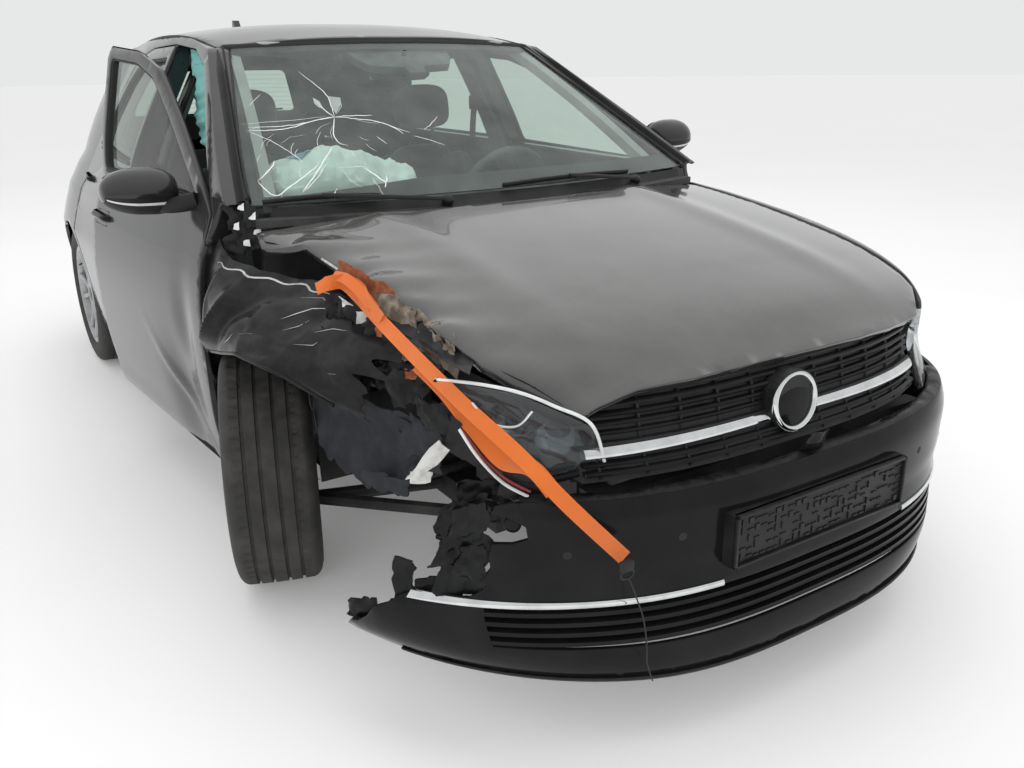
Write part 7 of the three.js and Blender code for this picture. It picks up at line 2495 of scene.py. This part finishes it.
verts = [mm(*bag_top(lerp(lerp(label[0][0], label[1][0], u), lerp(label[3][0], label[2][0], u), v),
                     lerp(lerp(label[0][1], label[1][1], u), lerp(label[3][1], label[2][1], u), v)))
         for u in [i / 9 for i in range(10)] for v in [j / 9 for j in range(10)]]
faces = [(i * 10 + j, (i + 1) * 10 + j, (i + 1) * 10 + j + 1, i * 10 + j + 1) for i in range(9)
         for j in range(9)]
make("airbag_patch", verts, faces, cloth_blue, "body")

CURTAIN = [(-60, 1385), (-100, 1290), (-112, 1180), (-88, 1100), (-20, 1052), (50, 1030), (120, 1050),
           (190, 1090), (198, 1200), (198, 1385)]


def curtain_place(y, z):
    free = clamp((1385 - z) / 220)
    pleat = 7 * math.sin(z * 0.075 + 1.4 * noise.noise(Vector((y * 0.02, z * 0.01,
            0)))) + 5 * math.sin(z * 0.19 + y * 0.02)
    sag = 6 * noise.noise(Vector((y * 0.015, z * 0.015, 4)))
    return -561 - 9 * free + free * (0.8 * pleat + sag), y, z


curtain = panel("curtain_cloth", CURTAIN, curtain_place, nylon_green, "body", (-1, 0, 0), step=9,
                roll=0.6, hem=1.5, jag=2)
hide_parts("curtain_airbag_right")
abs(area2(CURTAIN)) / 2e6 * 1.04
shard("curtain_tuck", [(-548, -40, 1385), (-548, 140, 1388), (-566, 140, 1330), (-566, -60, 1340)],
      nylon_green, 20, 8, 9, 4, 151, 2,
      grain=0.03)

# Headlining, pillars, interior mirror and carpets
rows = []
for i in range(41):
    y = lerp(-215, 1680, i / 40)
    reach = min(545, roof_half(y) - 26) - 60 * clamp((y - 1400) / 280)
    rows.append([mm(x, y, roof_z(x * 0.98, y) - 24 - 10 * (abs(x) / 560) ** 4)
                 for x in [lerp(-reach, reach, j / 24) for j in range(25)]])
rows_grid("headlining", rows, trim_light, "body")
for sign in (-1, 1):
    tag = mirrored_name(sign)
    low, top = Vector((sign * 690, -845, 975)), Vector((sign * 548, -190, 1365))
    rows = []
    for i in range(21):
        t = i / 20
        p = low.lerp(top, t) + Vector((0, -10 * math.sin(PI * t), 10 * math.sin(PI * t)))
        rows.append([(p + Vector((-sign * dx, dy, dz))) * 0.001 for dx, dy,
                     dz in ((0, 0, 10), (32, -6, 4), (38, 20, -16), (6, 36, -22))])
    rows_grid(f"pillar_trim_{tag}", rows, trim_light, "body", sharp=40)
tube("inner_mirror_stem", [mm(0, -330, 1362), mm(0, -300, 1335), mm(0, -292, 1318)], 0.008, plastic,
     "body", 12)
pad("inner_mirror", (0, -286, 1300), (225, 26, 62), plastic, power=3.5, cells=14)
soft_box("inner_mirror_glass", (-0.105, -0.2735, 1.275), (0.105, -0.2715, 1.325), mirror_glass, "body",
         radius=0.001)
for sign in (-1, 1):
    pad(f"sun_visor_{mirrored_name(sign)}", (sign * 300, -165, 1388), (330, 130, 18), trim_light, power=6,
        cells=12)
    rows = [[mm(sign * lerp(128, 600, j / 12), y, 192 + 3 + 2.5 * noise.noise(Vector((y * 0.02, j, 0))))
             for j in range(13)]
            for y in [lerp(-840, 780, i / 30) for i in range(31)]]
    rows_grid(f"carpet_{mirrored_name(sign)}", rows, trim, "body")
rows = [[mm(x, y, 342) for x in [lerp(-478, 478, j / 8) for j in range(9)]]
        for y in [lerp(1425, 1876, i / 10) for i in range(11)]]
rows_grid("boot_carpet", rows, trim, "body")

# Door cards: armrests, pulls and speaker rings
for tag, body, place, y0, y1, sign in (
        ("fl", "door_front_left", plain_place(1), -640, 90, 1), ("rl", "door_rear_left", plain_place(1),
                330, 930, 1),
        ("rr", "door_rear_right", plain_place(-1), 330, 930, -1), ("fr", "door_front_right", bent_place,
                -640, 90, -1)):
    rows = []
    for i in range(31):
        y = lerp(y0, y1, i / 30)
        end = 1 - abs(2 * i / 30 - 1) ** 6
        p = Vector(place(79)(y, 700))
        rows.append([(p + Vector((-sign * dx * (0.25 + 0.75 * end), 0, dz))) * 0.001
                     for dx, dz in ((0, -60), (22, -48), (30, -10), (30, 14), (22, 22), (0, 24))])
    rows_grid(f"card_{tag}_armrest", rows, trim, body, caps=True, sharp=50)
    p = Vector(place(80)(lerp(y0, y1, 0.12), 470 if tag[0] == "f" else 520))
    lathe(f"card_{tag}_speaker", p, (-sign, 0, 0), [(72, -2), (72, 4), (66, 7), (62, 3), (1, 4)], plastic,
          body, 40, 50)
    p = Vector(place(80)(lerp(y0, y1, 0.25), 800))
    lathe(f"card_{tag}_pull", p, (-sign, 0, 0), [(30, -2), (30, 3), (24, 6), (1, 2)], gloss_plastic, body,
          32, 50)

# Finishes of the CAD's own nodes
FINISH = {
    "roof_panel": paint, "body_side": paint, "door_": paint, "mirror": gloss_plastic, "tailgate": paint,
    "headlamp": lens_smoke, "tail_lamp": lens_red, "floor_pan": steel, "upper_grille": plastic,
    "tyre": rubber,
    "rim": alloy, "knuckle": cast, "front_subframe": steel, "front_frame": steel, "steering_rack": cast,
    "engine_block": cast, "bulkhead": steel, "rear_axle": steel, "exhaust": cast, "seat": cloth,
    "rear_bench": cloth,
    "dashboard": trim, "steering_wheel": trim, "airbag": nylon_pale, "curtain": nylon_green,
    "strap": webbing,
    "front_bumper": plastic, "plate_carrier": plastic, "wing_right": paint_dull, "arch_liner": liner_felt,
    "windscreen": glass_screen, "bonnet": paint, "glass_": glass_side, "wing_left": paint,
    "rear_bumper": paint}
for name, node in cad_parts.items():
    look = next((m for key, m in FINISH.items() if name.startswith(key)), plastic)
    for slot in node.material_slots:
        slot.material = look
    node.data.shade_smooth()
    node.data.set_sharp_from_angle(angle=math.radians(32))

# The slot that each finish falls under
SLOTS = {
    "paint": (paint, bonnet_paint_dust_and_sheen, paint_dull), "plastic": (plastic, gloss_plastic, torn_plastic, liner_felt,
            seal, frit, white_plastic),
    "rubber": (rubber,), "alloy": (chrome, alloy, bare, mirror_glass), "steel": (disc_iron, steel, rust,
            cast, debris),
    "trim": (trim, trim_light), "cloth": (cloth, cloth_side), "webbing": (webbing,),
    "airbag": (nylon_pale, cloth_blue),
    "curtain": (nylon_green,), "glass": (glass_screen, glass_side, crushed_glass, crack_white),
    "lamp": (lens_clear, lens_scratched, reflector), "tail": (lens_red, lens_smoke)}
slot_of = {look.name: slot for slot, looks in SLOTS.items() for look in looks}

low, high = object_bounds()
